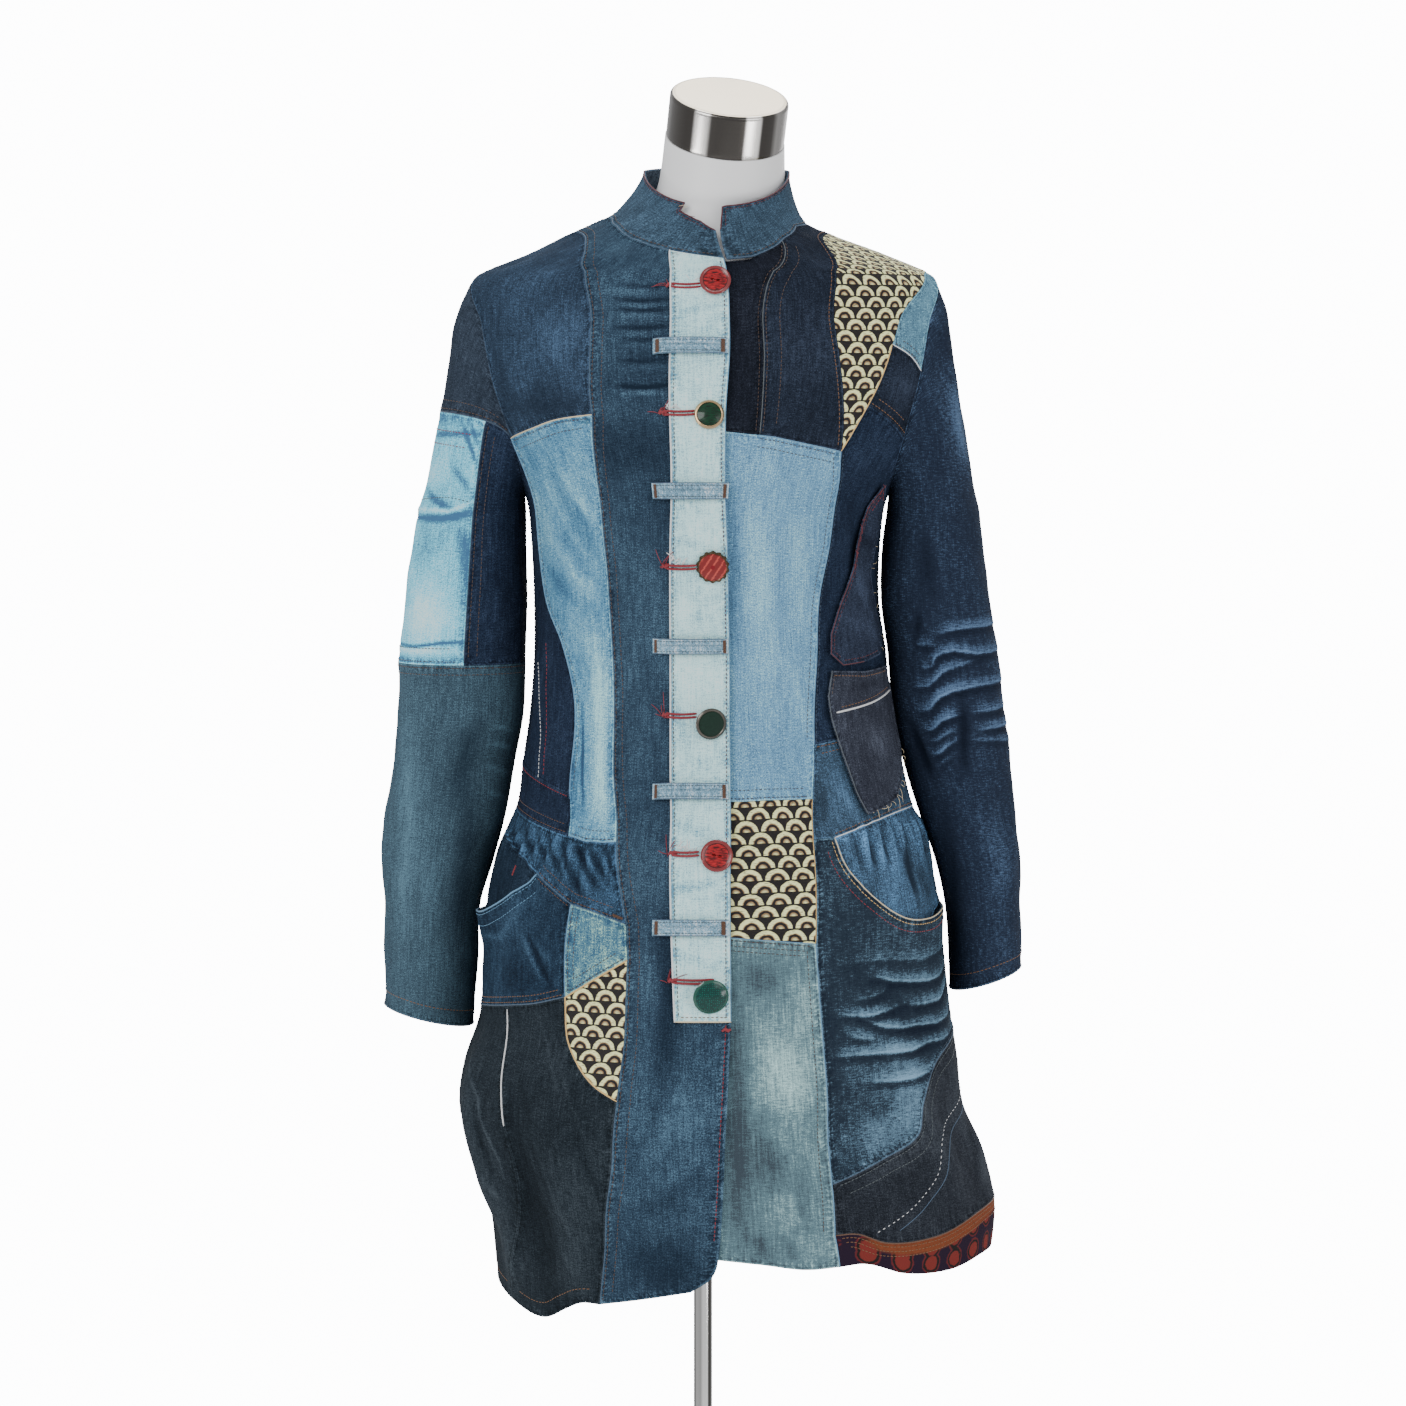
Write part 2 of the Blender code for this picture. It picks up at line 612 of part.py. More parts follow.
def smooth_line(points):
    """Even steps along a smooth line through flat points, keeping its two ends exactly."""
    points = np.array(points, float)
    length = np.concatenate(((0,), np.cumsum(np.linalg.norm(np.diff(points, axis=0), axis=1))))
    steps = max(1, int(round(length[-1] / SAMPLE)))
    at = np.linspace(0, length[-1], steps + 1)
    if len(points) == 2:
        return np.stack([np.interp(at, length, points[:, k]) for k in (0, 1)], axis=-1)
    return np.stack([smooth_through(at, length, points[:, k]) for k in (0, 1)], axis=-1)


def on_neckline(name):
    """Whether a numbered point lies on the neckline seam."""
    turn, height = place(name)
    return abs(height - np.interp(turn, NECKLINE[:, 0], NECKLINE[:, 1])) < 1.0 and height > 1435


def seam_line(first, last, back):
    """Flat points of a seam from one numbered point to the next, the same from either side."""
    if f"{last} {first}" in BENDS or (f"{first} {last}" not in BENDS and last < first):
        return seam_line(last, first, back)[::-1]
    ends = [place(first), place(last)]
    if first in ARMHOLE_POINTS and last in ARMHOLE_POINTS:
        side, start = ARMHOLE_POINTS[first]
        stop = ARMHOLE_POINTS[last][1]
        low, high = sorted((start, stop))
        if back:
            low, high = 180, 360
        angles = np.arange(low, high + 1, ARMHOLE_STEP)
        if (back and start == 0) or (not back and start > stop):
            angles = angles[::-1]
        turn, height = armhole_place(side, angles)
        return to_flat(turn + 360 if back and side < 0 else turn, height)
    if on_neckline(first) and on_neckline(last):
        turns = [end[0] for end in ends]
        if back:
            turns = [turn if turn > 0 else turn + 360 for turn in turns]
        low, high = min(turns), max(turns)
        grid = np.arange(math.ceil(low / NECKLINE_STEP) * NECKLINE_STEP, high, NECKLINE_STEP)
        grid = np.concatenate(((low,), grid[grid > low + 1], (high,)))
        heights = np.interp((grid + 180) % 360 - 180, NECKLINE[:, 0], NECKLINE[:, 1])
        line = to_flat(grid, heights)
        return line if turns[0] < turns[1] else line[::-1]
    middle = [np.array(bend, float) for bend in BENDS.get(f"{first} {last}", ())]
    points = [end.copy() for end in (ends[0], *middle, ends[1])]
    if back:
        for point in points:
            if point[0] < 0:
                point[0] += 360
    return smooth_line([to_flat(*point) for point in points])


def outline(names, back):
    """Closed loop of flat points round a piece."""
    names = names.split()
    loop = []
    for first, last in zip(names, names[1:] + names[:1]):
        loop.extend(seam_line(first, last, back)[:-1])
    loop = np.array(loop)
    following = np.roll(loop, -1, axis=0)
    area = np.sum(loop[:, 0] * following[:, 1] - loop[:, 1] * following[:, 0])
    return loop if area > 0 else loop[::-1]


def inside(loop, points):
    """Which points lie inside a loop, by counting the sides that a line to the right crosses."""
    count = np.zeros(len(points), int)
    for start, end in zip(loop, np.roll(loop, -1, axis=0)):
        spans = (start[1] > points[:, 1]) != (end[1] > points[:, 1])
        slope = (end[0] - start[0]) / ((end[1] - start[1]) or 1e-9)
        count += spans & (points[:, 0] < start[0] + (points[:, 1] - start[1]) * slope)
    return count % 2 == 1


def staggered(low, high, across, along):
    """Points of a grid whose every other row is moved over."""
    grid = []
    for k, row in enumerate(np.arange(low[1] + 0.5 * along, high[1], along)):
        start = low[0] + across * ROW_STARTS[k % 2]
        grid.extend((column, row) for column in np.arange(start, high[0], across))
    return np.array(grid).reshape(-1, 2)


def fill(loop, spacing=(CELL, CELL), fine=None, extra=()):
    """Triangles inside a loop of flat points, over inner points that may be finer above a height."""
    low = loop.min(axis=0)
    high = loop.max(axis=0)
    if fine is None:
        grid = staggered(low, high, *spacing)
        keep = np.full(len(grid), CLEARANCE * min(spacing))
    else:
        edge = max(low[1], min(high[1], fine[2]))
        coarse = staggered(low, (high[0], edge - 0.3 * CELL), *spacing)
        close = staggered((low[0], edge), high, *fine[:2])
        grid = np.concatenate((coarse, close))
        keep = CLEARANCE * np.concatenate((np.full(len(coarse), CELL), np.full(len(close), fine[1])))
    within = inside(loop, grid)
    grid = grid[within]
    keep = keep[within]
    clearance = np.full(len(grid), 1e9)
    lines = list(zip(loop, np.roll(loop, -1, axis=0)))
    lines += [(a, b) for line in extra for a, b in zip(line, line[1:])]
    for start, end in lines:
        clearance = np.minimum(clearance, near_line(grid, start, end)[0])
    grid = grid[clearance > keep]
    points = [tuple(point) for point in loop]
    sides = [(i, (i + 1) % len(loop)) for i in range(len(loop))]
    for line in extra:
        start = len(points)
        points.extend(tuple(point) for point in line)
        sides.extend((start + i, start + i + 1) for i in range(len(line) - 1))
    points.extend(tuple(point) for point in grid)
    corners = [Vector(point) for point in points]
    found = delaunay_2d_cdt(corners, sides, [], FILL_INSIDE, WELD, False)
    places = np.array([tuple(point) for point in found[0]])
    faces = np.array([tuple(face) for face in found[2]])
    corners = places[faces]
    one, two = corners[:, 1] - corners[:, 0], corners[:, 2] - corners[:, 0]
    area = one[:, 0] * two[:, 1] - one[:, 1] * two[:, 0]
    kept = inside(loop, corners.mean(axis=1)) & (area > SLIVER)
    return places, [tuple(face) for face in faces[kept]]


def rim_of(faces):
    """The border of a set of triangles, as one loop of point numbers in order."""
    sides = {(face[i], face[(i + 1) % 3]) for face in faces for i in range(3)}
    following = {a: b for a, b in sides if (b, a) not in sides}
    start = next(iter(following))
    loop = [start]
    while following[loop[-1]] != start:
        loop.append(following[loop[-1]])
    return loop


def pull_back(points, normal, loop, gap):
    """Move the points of a border inward along the cloth by half the seam gap."""
    ring = points[loop]
    before = ring - np.roll(ring, 1, axis=0)
    after = np.roll(ring, -1, axis=0) - ring
    before /= np.linalg.norm(before, axis=1, keepdims=True)
    after /= np.linalg.norm(after, axis=1, keepdims=True)
    inward_before = np.cross(normal[loop], before)
    inward_after = np.cross(normal[loop], after)
    middle = inward_before + inward_after
    middle /= np.maximum(np.linalg.norm(middle, axis=1, keepdims=True), 1e-6)
    lean = np.clip(np.sum(middle * inward_after, axis=1, keepdims=True), 0.3, 1)
    moved = points.copy()
    moved[loop] = ring + middle * (0.5 * gap / lean)
    return moved


def add_material(thing, name, colour, roughness=0.85, metallic=0.0):
    """A material of its own for one piece."""
    material = bpy.data.materials.new(name + "_material")
    material.use_nodes = True
    shader = material.node_tree.nodes["Principled BSDF"]
    shader.inputs["Base Color"].default_value = (*COLOURS[colour], 1)
    shader.inputs["Roughness"].default_value = roughness
    shader.inputs["Metallic"].default_value = metallic
    thing.data.materials.clear()
    thing.data.materials.append(material)


def add_mesh(name, points, faces, colour):
    """One named piece from points in millimetres."""
    mesh = bpy.data.meshes.new(name)
    mesh.from_pydata([tuple(point * MM) for point in points], [], faces)
    mesh.shade_smooth()
    mesh.set_sharp_from_angle(angle=math.radians(SHARP_ANGLE))
    piece = bpy.data.objects.new(name, mesh)
    coat.objects.link(piece)
    add_material(piece, name, colour)
    return piece


def sew_wall(name, surface, places, faces, colour, lift=0.0,
             thickness=CLOTH, gap=SEAM_GAP, unflatten=from_flat):
    """A wall of cloth on a surface: outer points, inner points one thickness in, and a rim."""
    turn, height = unflatten(places)
    normal = normals(surface, turn, height)
    skin = surface(turn, height) + normal * np.broadcast_to(lift, turn.shape)[:, None]
    loop = rim_of(faces)
    outer = pull_back(skin, normal, loop, gap)
    inner = outer - normal * thickness
    count = len(outer)
    solid = [tuple(face) for face in faces]
    solid += [tuple(i + count for i in reversed(face)) for face in faces]
    for first, second in zip(loop, loop[1:] + loop[:1]):
        solid.append((second, first, first + count))
        solid.append((second, first + count, second + count))
    return add_mesh(name, np.concatenate((outer, inner)), solid, colour)


def mouth_lift(flat, line, rise, reach):
    """Lift of a pocket's upper edge, which stands away from the cloth behind it."""
    best = np.full(len(flat), 1e9)
    share = np.zeros(len(flat))
    for k, (start, end) in enumerate(zip(line, line[1:])):
        distance, part = near_line(flat, start, end)
        closer = distance < best
        best = np.where(closer, distance, best)
        share = np.where(closer, (k + part) / (len(line) - 1), share)
    ends = ease((share - 0.05) / 0.16) * ease((0.95 - share) / 0.16)
    return rise * ends * np.exp(-(best / reach) ** 2)


def facing_line(line, depth):
    """The lower edge of the cloth behind a pocket's mouth, which runs on below the mouth."""
    share = np.linspace(0, 1, len(line))
    drop = depth * ease((share - 0.22) / 0.2) * ease((0.78 - share) / 0.2)
    along = np.gradient(line, axis=0)
    down = np.stack((along[:, 1], -along[:, 0]), axis=-1)
    down /= np.linalg.norm(down, axis=1, keepdims=True)
    down *= np.sign(-down[:, 1:])
    return line + down * drop[:, None]


def panel_outline(name):
    """Loop round a body piece, let down behind a pocket's mouth where it is the cloth behind it."""
    names = PANELS[name][0]
    loop = outline(names, name in BACK_PANELS)
    if name not in FACINGS:
        return loop
    first, last = MOUTHS[FACINGS[name]][:2]
    mouth = seam_line(first, last, False)
    facing = facing_line(mouth, FACING_DEPTH)
    for old, new in zip(mouth, facing):
        near = np.argmin(np.linalg.norm(loop - old, axis=1))
        loop[near] = new
    return loop


def build_panels():
    """All pieces of the coat's body, and the button strip, which is made from the front's points."""
    for name, (names, colour) in PANELS.items():
        loop = panel_outline(name)
        strip = ()
        if name == "front_right_centre":
            left_edge = seam_line("strip1", "strip2", False)
            bottom = seam_line("strip2", "edge2", False)
            strip = (np.concatenate((left_edge, bottom[1:])),)
        places, faces = fill(loop, fine=FINE_GRIDS.get(name), extra=strip)
        turn, height = from_flat(places)
        lift = np.zeros(len(places))
        if name in UNDER_PANELS:
            lift -= TUCK * ease((TUCK_TURNS[0] - turn) / (TUCK_TURNS[0] - TUCK_TURNS[1]))
        if name in MOUTHS:
            first, last, rise, reach = MOUTHS[name]
            lift += mouth_lift(places, seam_line(first, last, False), rise, reach)
        sew_wall(name, coat_point, places, faces, colour, lift)
        if name == "front_right_centre":
            front_edge = seam_line("edge2", "edge1", False)[1:]
            neck_edge = seam_line("edge1", "strip1", False)[1:-1]
            border = np.concatenate((strip[0], front_edge, neck_edge))
            middle = np.array([places[list(face)].mean(axis=0) for face in faces])
            chosen = [face for face, kept in zip(faces, inside(border, middle)) if kept]
            raised = REST_GAP + TRIM_CLOTH
            sew_wall("placket_strip", coat_point, places, chosen, "pale", raised, TRIM_CLOTH)


def turn_at(x, height):
    """Turn of the front point that lies x to the wearer's left of the middle."""
    half_width = smooth_through(height, SECTIONS[:, 0], SECTIONS[:, 2 if x > 0 else 1])
    return math.copysign(math.degrees(math.asin((abs(x) / half_width) ** (RING_POWER / 2))), x)


def collar_point(turn, rise):
    """Outer surface of the collar, from the neckline up to the oval of its top edge."""
    height = np.interp((turn + 180) % 360 - 180, NECKLINE[:, 0], NECKLINE[:, 1])
    base = ring_point(turn, height)
    sine = np.sin(np.radians(turn))
    cosine = np.cos(np.radians(turn))
    x = COLLAR_TOP_CENTRE[0] + COLLAR_TOP_HALF[0] * np.sign(sine) * np.abs(sine) ** (2 / RING_POWER)
    y = COLLAR_TOP_CENTRE[1] - COLLAR_TOP_HALF[1] * np.sign(cosine) * np.abs(cosine) ** (2 / RING_POWER)
    z = COLLAR_TOP_HEIGHT - np.where(cosine > 0, COLLAR_FRONT_DIP, COLLAR_BACK_RISE) * cosine
    top = np.stack((x, y, z), axis=-1)
    share = rise / COLLAR_RISE
    inward = share + COLLAR_CURVE * share * (1 - share)
    return base + (top - base) * np.stack((inward, inward, share), axis=-1)


def collar_places(flat):
    """Turn and rise of places of the collar that are laid out flat."""
    return flat[..., 0] / COLLAR_FLAT, flat[..., 1]


def build_collar():
    """Two halves that meet at the back, the right one cut down to a notch in front."""
    for name, (side, front_edge) in COLLAR_PIECES.items():
        end = side * 180
        start = front_edge[0][0]
        first = math.ceil(abs(start) / NECKLINE_STEP) * NECKLINE_STEP if side > 0 else 0
        steps = [side * k for k in range(first, 180, NECKLINE_STEP) if abs(side * k - start) > 1]
        seam = [(turn, 0) for turn in (start, *steps, end)]
        top_end = int(front_edge[-1][0]) + 4 * side
        top = [(turn, COLLAR_RISE) for turn in range(end, top_end, -side * COLLAR_TOP_STEP)]
        loop = np.array(seam + [(end, COLLAR_RISE / 2)] + top + list(front_edge[:0:-1]), float)
        loop *= (COLLAR_FLAT, 1)
        if side < 0:
            loop = loop[::-1]
        places, faces = fill(loop, COLLAR_CELLS)
        sew_wall(name, collar_point, places, faces, "mid", unflatten=collar_places)


def sleeve_ring(side, angle, level):
    """The sleeve's oval at a level: angle 0 on its outer side, 90 in front, 180 next to the body."""
    columns = (1, 2, 5, 6) if side < 0 else (3, 4, 5, 6)
    values = [smooth_through(level, SLEEVES[:, 0], SLEEVES[:, k]) for k in columns]
    out, half_width, centre, half_depth = values
    angle = np.radians(angle)
    x = side * (out + half_width * np.cos(angle))
    y = centre - half_depth * np.sin(angle)
    return np.stack((x, y, level + 0 * x), axis=-1)


def sleeve_base(side):
    """Surface of a sleeve: a smooth curve from each point of the armhole down to the first ring."""
    def point(angle, level):
        turn, height = armhole_place(side, angle)
        fall = height - SLEEVE_JOIN
        share = ((height - level) / fall)[..., None]
        start = coat_point(turn, height)
        round_over = CAP_START + CAP_ROUND[side] * np.cos(np.radians(angle) / 2) ** 2
        shoulder = start + np.stack((side * round_over, 0 * fall, -CAP_FALL * fall), axis=-1)
        elbow_side = sleeve_ring(side, angle, SLEEVE_JOIN + fall / 3)
        foot = sleeve_ring(side, angle, SLEEVE_JOIN + 0 * fall)
        cap = (start * (1 - share)**3 + 3 * shoulder * share * (1 - share)**2
               + 3 * elbow_side * share**2 * (1 - share) + foot * share**3)
        return np.where((level >= SLEEVE_JOIN)[..., None], cap, sleeve_ring(side, angle, level))
    return point


def sleeve_surface(side):
    """The sleeve with its folds."""
    base = sleeve_base(side)

    def point(angle, level):
        angle = angle + 0 * level
        level = level + 0 * angle
        flat = np.stack((SLEEVE_FLAT * angle, level), axis=-1)
        total = np.zeros(angle.shape)
        for start, end, rise, half_width in SLEEVE_FOLDS[side]:
            ends = np.array((start, end), float) * (SLEEVE_FLAT, 1)
            distance, share = near_line(flat, ends[0], ends[1])
            along = np.sin(math.pi * (0.1 + 0.8 * share))
            total += rise * along * np.exp(-(distance / half_width) ** 2)
        return base(angle, level) - side * normals(base, angle, level) * total[..., None]
    return point


def sleeve_places(flat):
    """Angle and level of places of a sleeve that are laid out flat."""
    return flat[..., 0] / SLEEVE_FLAT, flat[..., 1]


def armhole_level(angle):
    """Height of the armhole seam at an angle."""
    return ARMHOLE_HEIGHT + ARMHOLE_HALF_HEIGHT * np.cos(np.radians(angle))


def cap_seam_level(angle):
    """Seam under the right sleeve's cap, which ends on the armhole on each side."""
    across = np.cos(np.radians(angle)) - math.cos(math.radians(CAP_SEAM_END))
    seam = CAP_SEAM_LEVEL + CAP_SEAM_SAG * across
    return np.where(np.abs(angle) <= CAP_SEAM_END, seam, armhole_level(angle))


def elbow_seam_level(angle):
    """The right sleeve's level seam below the elbow."""
    return ELBOW_SEAM_LEVEL + 0 * angle


def right_cuff_level(angle):
    """The right cuff, which hangs lower on its inner side."""
    return RIGHT_CUFF[0] + RIGHT_CUFF[1] * np.cos(np.radians(angle))


def left_cuff_level(angle):
    """The left cuff, which hangs lower on its inner side."""
    return LEFT_CUFF[0] + LEFT_CUFF[1] * np.cos(np.radians(angle))


# Sleeve pieces: side, the two angles they lie between, their top and bottom edges, and colour
SLEEVE_PIECES = {
    "sleeve_right_cap": (-1, -120, 120, armhole_level, cap_seam_level, "dark"),
    "sleeve_right_pocket_panel": (-1, -72, 96, cap_seam_level, elbow_seam_level, "light"),
    "sleeve_right_inner_front": (-1, 96, 180, cap_seam_level, elbow_seam_level, "dark"),
    "sleeve_right_inner_back": (-1, -180, -72, cap_seam_level, elbow_seam_level, "dark"),
    "sleeve_right_lower": (-1, -180, 180, elbow_seam_level, right_cuff_level, "mid"),
    "sleeve_left": (1, -180, 180, armhole_level, left_cuff_level, "mid"),
}


def build_sleeves():
    """Every sleeve piece, filled between its top and bottom edges."""
    for name, (side, first, last, top, bottom, colour) in SLEEVE_PIECES.items():
        angles = np.arange(first, last + 1, ARMHOLE_STEP, dtype=float)
        upper = np.stack((angles, top(angles)), axis=-1)
        lower = np.stack((angles, bottom(angles)), axis=-1)
        sides = []
        for start, end in ((lower[-1], upper[-1]), (upper[0], lower[0])):
            steps = max(1, int(round(abs(end[1] - start[1]) / SAMPLE)))
            sides.append(np.linspace(start, end, steps + 1)[1:-1])
        if name == "sleeve_right_cap":
            lower = lower[1:-1]
            sides = [np.empty((0, 2)), np.empty((0, 2))]
        loop = np.concatenate((lower, sides[0], upper[::-1], sides[1])) * (SLEEVE_FLAT, 1)
        places, faces = fill(loop, SLEEVE_CELLS)
        if side > 0:
            faces = [face[::-1] for face in faces]
        sew_sleeve_wall(name, side, places, faces, colour)


def sew_sleeve_wall(name, side, places, faces, colour):
    """A sleeve's angles run the other way round on the left, so its surface is turned over there."""
    surface = sleeve_surface(side)

    def mirrored(angle, level):
        return surface(-side * angle, level)
    places = places * (-side, 1)
    sew_wall(name, mirrored, places, faces, colour, unflatten=sleeve_places)


def strip_turn(height):
    """Turn of the button strip's left edge."""
    turn, heights = from_flat(seam_line("strip1", "strip2", False))
    return np.interp(height, heights[::-1], turn[::-1])


def build_loops():
    """Each loop lies on the front at one end, steps up onto the strip, and arches between its ends."""
    for k, middle in enumerate(LOOP_HEIGHTS):
        first, last = (turn_at(x, middle) for x in LOOP_ENDS)
        rows = (middle - LOOP_WIDTH / 2, middle + LOOP_WIDTH / 2)
        columns = np.linspace(first, last, LOOP_COLUMNS)
        loop = [to_flat(turn, rows[0]) for turn in columns]
        loop += [to_flat(turn, rows[1]) for turn in columns[::-1]]
        places, faces = fill(np.array(loop), NO_INNER_POINTS)
        turn = from_flat(places)[0]
        share = np.clip((turn - first) / (last - first), 0, 1)
        before, reach = LOOP_STEP_UP
        step_up = (REST_GAP + TRIM_CLOTH) * ease((turn - strip_turn(middle) + before) / reach)
        arch = LOOP_ARCH * np.sin(math.pi * share) ** 0.7
        lift = 2 * REST_GAP + TRIM_CLOTH + step_up + arch
        sew_wall(f"placket_loop_{k + 1}", coat_point, places, faces, "light", lift, TRIM_CLOTH, 0.0)


def build_hanging():
    """The flap and the tab, which hang just clear of the cloth behind them."""
    for name, corners in HANGING.items():
        loop = []
        for start, end in zip(corners, corners[1:] + corners[:1]):
            start, end = to_flat(*start), to_flat(*end)
            steps = max(1, int(round(np.linalg.norm(end - start) / HANGING_CELL)))
            loop.extend(start + (end - start) * k / steps for k in range(steps))
        places, faces = fill(np.array(loop), (HANGING_CELL, 2 * HANGING_CELL))
        sew_wall(name, coat_point, places, faces, "navy", HANGING_LIFT + CLOTH, CLOTH, 0.0)


def turned(name, outline_points, steps, colour, roughness, metallic):
    """A turned solid from an outline in millimetres that runs down its outer side."""
    mesh = bpy.data.meshes.new(name)
    points = [(radius * MM, 0, height * MM) for radius, height in outline_points]
    mesh.from_pydata(points, [(i, i + 1) for i in range(len(points) - 1)], [])
    piece = bpy.data.objects.new(name, mesh)
    coat.objects.link(piece)
    screw = piece.modifiers.new("turn", "SCREW")
    screw.steps = steps
    screw.render_steps = steps
    screw.use_merge_vertices = True
    screw.merge_threshold = 0.00001
    screw.use_smooth_shade = True
    add_material(piece, name, colour, roughness, metallic)
    return piece


def build_buttons():
    """Each button stands off the strip, is leaned, and is then lowered until it all but touches it."""
    strip = bpy.data.objects["placket_strip"].data
    strip_faces = BVHTree.FromPolygons([vertex.co for vertex in strip.vertices],
                                       [polygon.vertices for polygon in strip.polygons])
    for k, (x, height, kind, radius, lean_side, lean_back, colour) in enumerate(BUTTONS):
        outline_points = [(share * radius, level) for share, level in BUTTON_OUTLINES[kind]]
        piece = turned(f"button_{k + 1}", outline_points, BUTTON_SIDES, colour, 0.35, 0.0)
        turn = np.array(turn_at(x, height))
        level = np.array(float(height))
        normal = normals(coat_point, turn, level)
        centre = Vector((coat_point(turn, level) + normal * BUTTON_START) * MM)
        normal = Vector(normal)
        facing = normal.to_track_quat("Z", "Y").to_matrix()
        lean = Euler((math.radians(-lean_back), math.radians(lean_side), 0)).to_matrix()
        rotation = facing @ lean
        falls = []
        for share, level in BUTTON_OUTLINES[kind][:-1]:
            for step in range(4 * BUTTON_SIDES):
                angle = math.pi * step / (2 * BUTTON_SIDES)
                across = share * radius * math.cos(angle)
                along = share * radius * math.sin(angle)
                point = centre + rotation @ Vector((across, along, level)) * MM
                distance = strip_faces.ray_cast(point, -normal)[3]
                if distance is not None:
                    falls.append(distance)
        seat = centre - normal * (min(falls) - REST_GAP * MM)
        piece.matrix_world = Matrix.Translation(seat) @ rotation.to_4x4()


def tilted(points, pivot):
    """Tilt points forward and to the wearer's left about a pivot."""
    forward, sideways = (math.radians(angle) for angle in CAP_TILT)
    turn = np.array(Euler((forward, sideways, 0)).to_matrix())
    return (points - pivot) @ turn.T + pivot


def build_form():
    """Torso and neck as one closed loft of rings, with a shallow cone at each end."""
    turn = np.arange(FORM_SIDES) * 360 / FORM_SIDES
    sine, cosine = np.sin(np.radians(turn)), np.cos(np.radians(turn))
    rings = []
    for height in FORM_HEIGHTS:
        values = [smooth_through(height, FORM_BODY[:, 0], FORM_BODY[:, k]) for k in (1, 2, 3)]
        half_width, front, back = values
        x = half_width * np.sign(sine) * np.abs(sine) ** (2 / RING_POWER)
        y = -np.where(cosine > 0, front, back) * np.sign(cosine) * np.abs(cosine) ** (2 / RING_POWER)
        rings.append(np.stack((x, y, height + 0 * x), axis=-1))
    for height, depth in FORM_SHOULDERS:
        height = height + 0 * turn
        depth = depth + FORM_FRONT_DEPTH * np.clip(cosine, 0, 1) ** 2
        rings.append(ring_point(turn, height) - normals(ring_point, turn, height) * depth[:, None])
    for x, y, height, half_width, half_depth in FORM_NECK:
        ring = (x + half_width * sine, y - half_depth * cosine, height + 0 * sine)
        rings.append(np.stack(ring, axis=-1))
    seat = np.array(CAP_SEAT)
    neck_ring = seat + NECK_RADIUS * np.stack((sine, -cosine, 0 * sine), axis=-1)
    rings.append(tilted(neck_ring, seat))
    points = np.concatenate(rings + [rings[0].mean(axis=0)[None], rings[-1].mean(axis=0)[None]])
    faces = []
    count = FORM_SIDES
    for low in range(len(rings) - 1):
        for k in range(count):
            a, b = low * count + k, low * count + (k + 1) % count
            faces.append((a, b, b + count, a + count))
    bottom, top = len(points) - 2, len(points) - 1
    last = (len(rings) - 1) * count
    for k in range(count):
        faces.append((bottom, (k + 1) % count, k))
        faces.append((top, last + k, last + (k + 1) % count))
    add_mesh("form_torso", points, faces, "white")


def build_cap():
    """Metal cap with a rounded edge, seated on the neck's tilted top."""
    cap_outline = [(0, CAP_HEIGHT)]
    for k in range(CAP_EDGE_STEPS):
        angle = math.pi / 2 * (1 - k / (CAP_EDGE_STEPS - 1))
        radius = CAP_RADIUS - CAP_EDGE * (1 - math.cos(angle))
        cap_outline.append((radius, CAP_HEIGHT - CAP_EDGE * (1 - math.sin(angle))))
    cap_outline += [(CAP_RADIUS, REST_GAP), (0, REST_GAP)]
    cap = turned("neck_cap", cap_outline, CAP_SIDES, "steel", 0.3, 1.0)
    forward, sideways = (math.radians(angle) for angle in CAP_TILT)
    cap.location = Vector(CAP_SEAT) * MM
    cap.rotation_euler = (forward, sideways, 0)


def build_stand():
    """Pole up to the form, the flange that it stands in, and the round base."""
    pole_low = FLANGE_TOP + REST_GAP
    pole_high = FORM_BODY[0, 0] - REST_GAP
    bpy.ops.mesh.primitive_cylinder_add(
        vertices=POLE_SIDES, radius=POLE_RADIUS * MM, depth=(pole_high - pole_low) * MM,
        location=(0, 0, (pole_high + pole_low) / 2 * MM))
    pole = bpy.context.object
    pole.name = "pole_tube"
    pole.data.name = "pole_tube"
    for collection in list(pole.users_collection):
        collection.objects.unlink(pole)
    coat.objects.link(pole)
    add_material(pole, "pole_tube", "steel", 0.3, 1.0)
    turned("pole_flange", FLANGE_OUTLINE, FLANGE_SIDES, "steel", 0.3, 1.0)
    base_outline = (
        (0, BASE_HEIGHT),
        (BASE_RADIUS - BASE_EDGE, BASE_HEIGHT),
        (BASE_RADIUS - 0.3 * BASE_EDGE, BASE_HEIGHT - 0.3 * BASE_EDGE),
        (BASE_RADIUS, BASE_HEIGHT - BASE_EDGE),
        (BASE_RADIUS, 0),
        (0, 0),
    )
    turned("base_plate", base_outline, BASE_SIDES, "steel", 0.35, 1.0)


build_panels()
build_collar()
build_sleeves()
build_loops()
build_hanging()
build_buttons()
build_form()
build_cap()
build_stand()
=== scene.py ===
"""Looks of the patchwork denim coat on its dress form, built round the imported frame.

The sections follow the object as it is put together: stand, form, neck cap, back, fronts, skirt,
collar, sleeves, button strip, belt loops, flap and tab, buttons, thread loops, and last the room.
Sizes of cloth are in millimetres and degrees, as in the part's source, and meshes in metres.
"""

import json
import math

import bpy
import numpy as np
from mathutils import Euler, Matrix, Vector
from mathutils.geometry import delaunay_2d_cdt


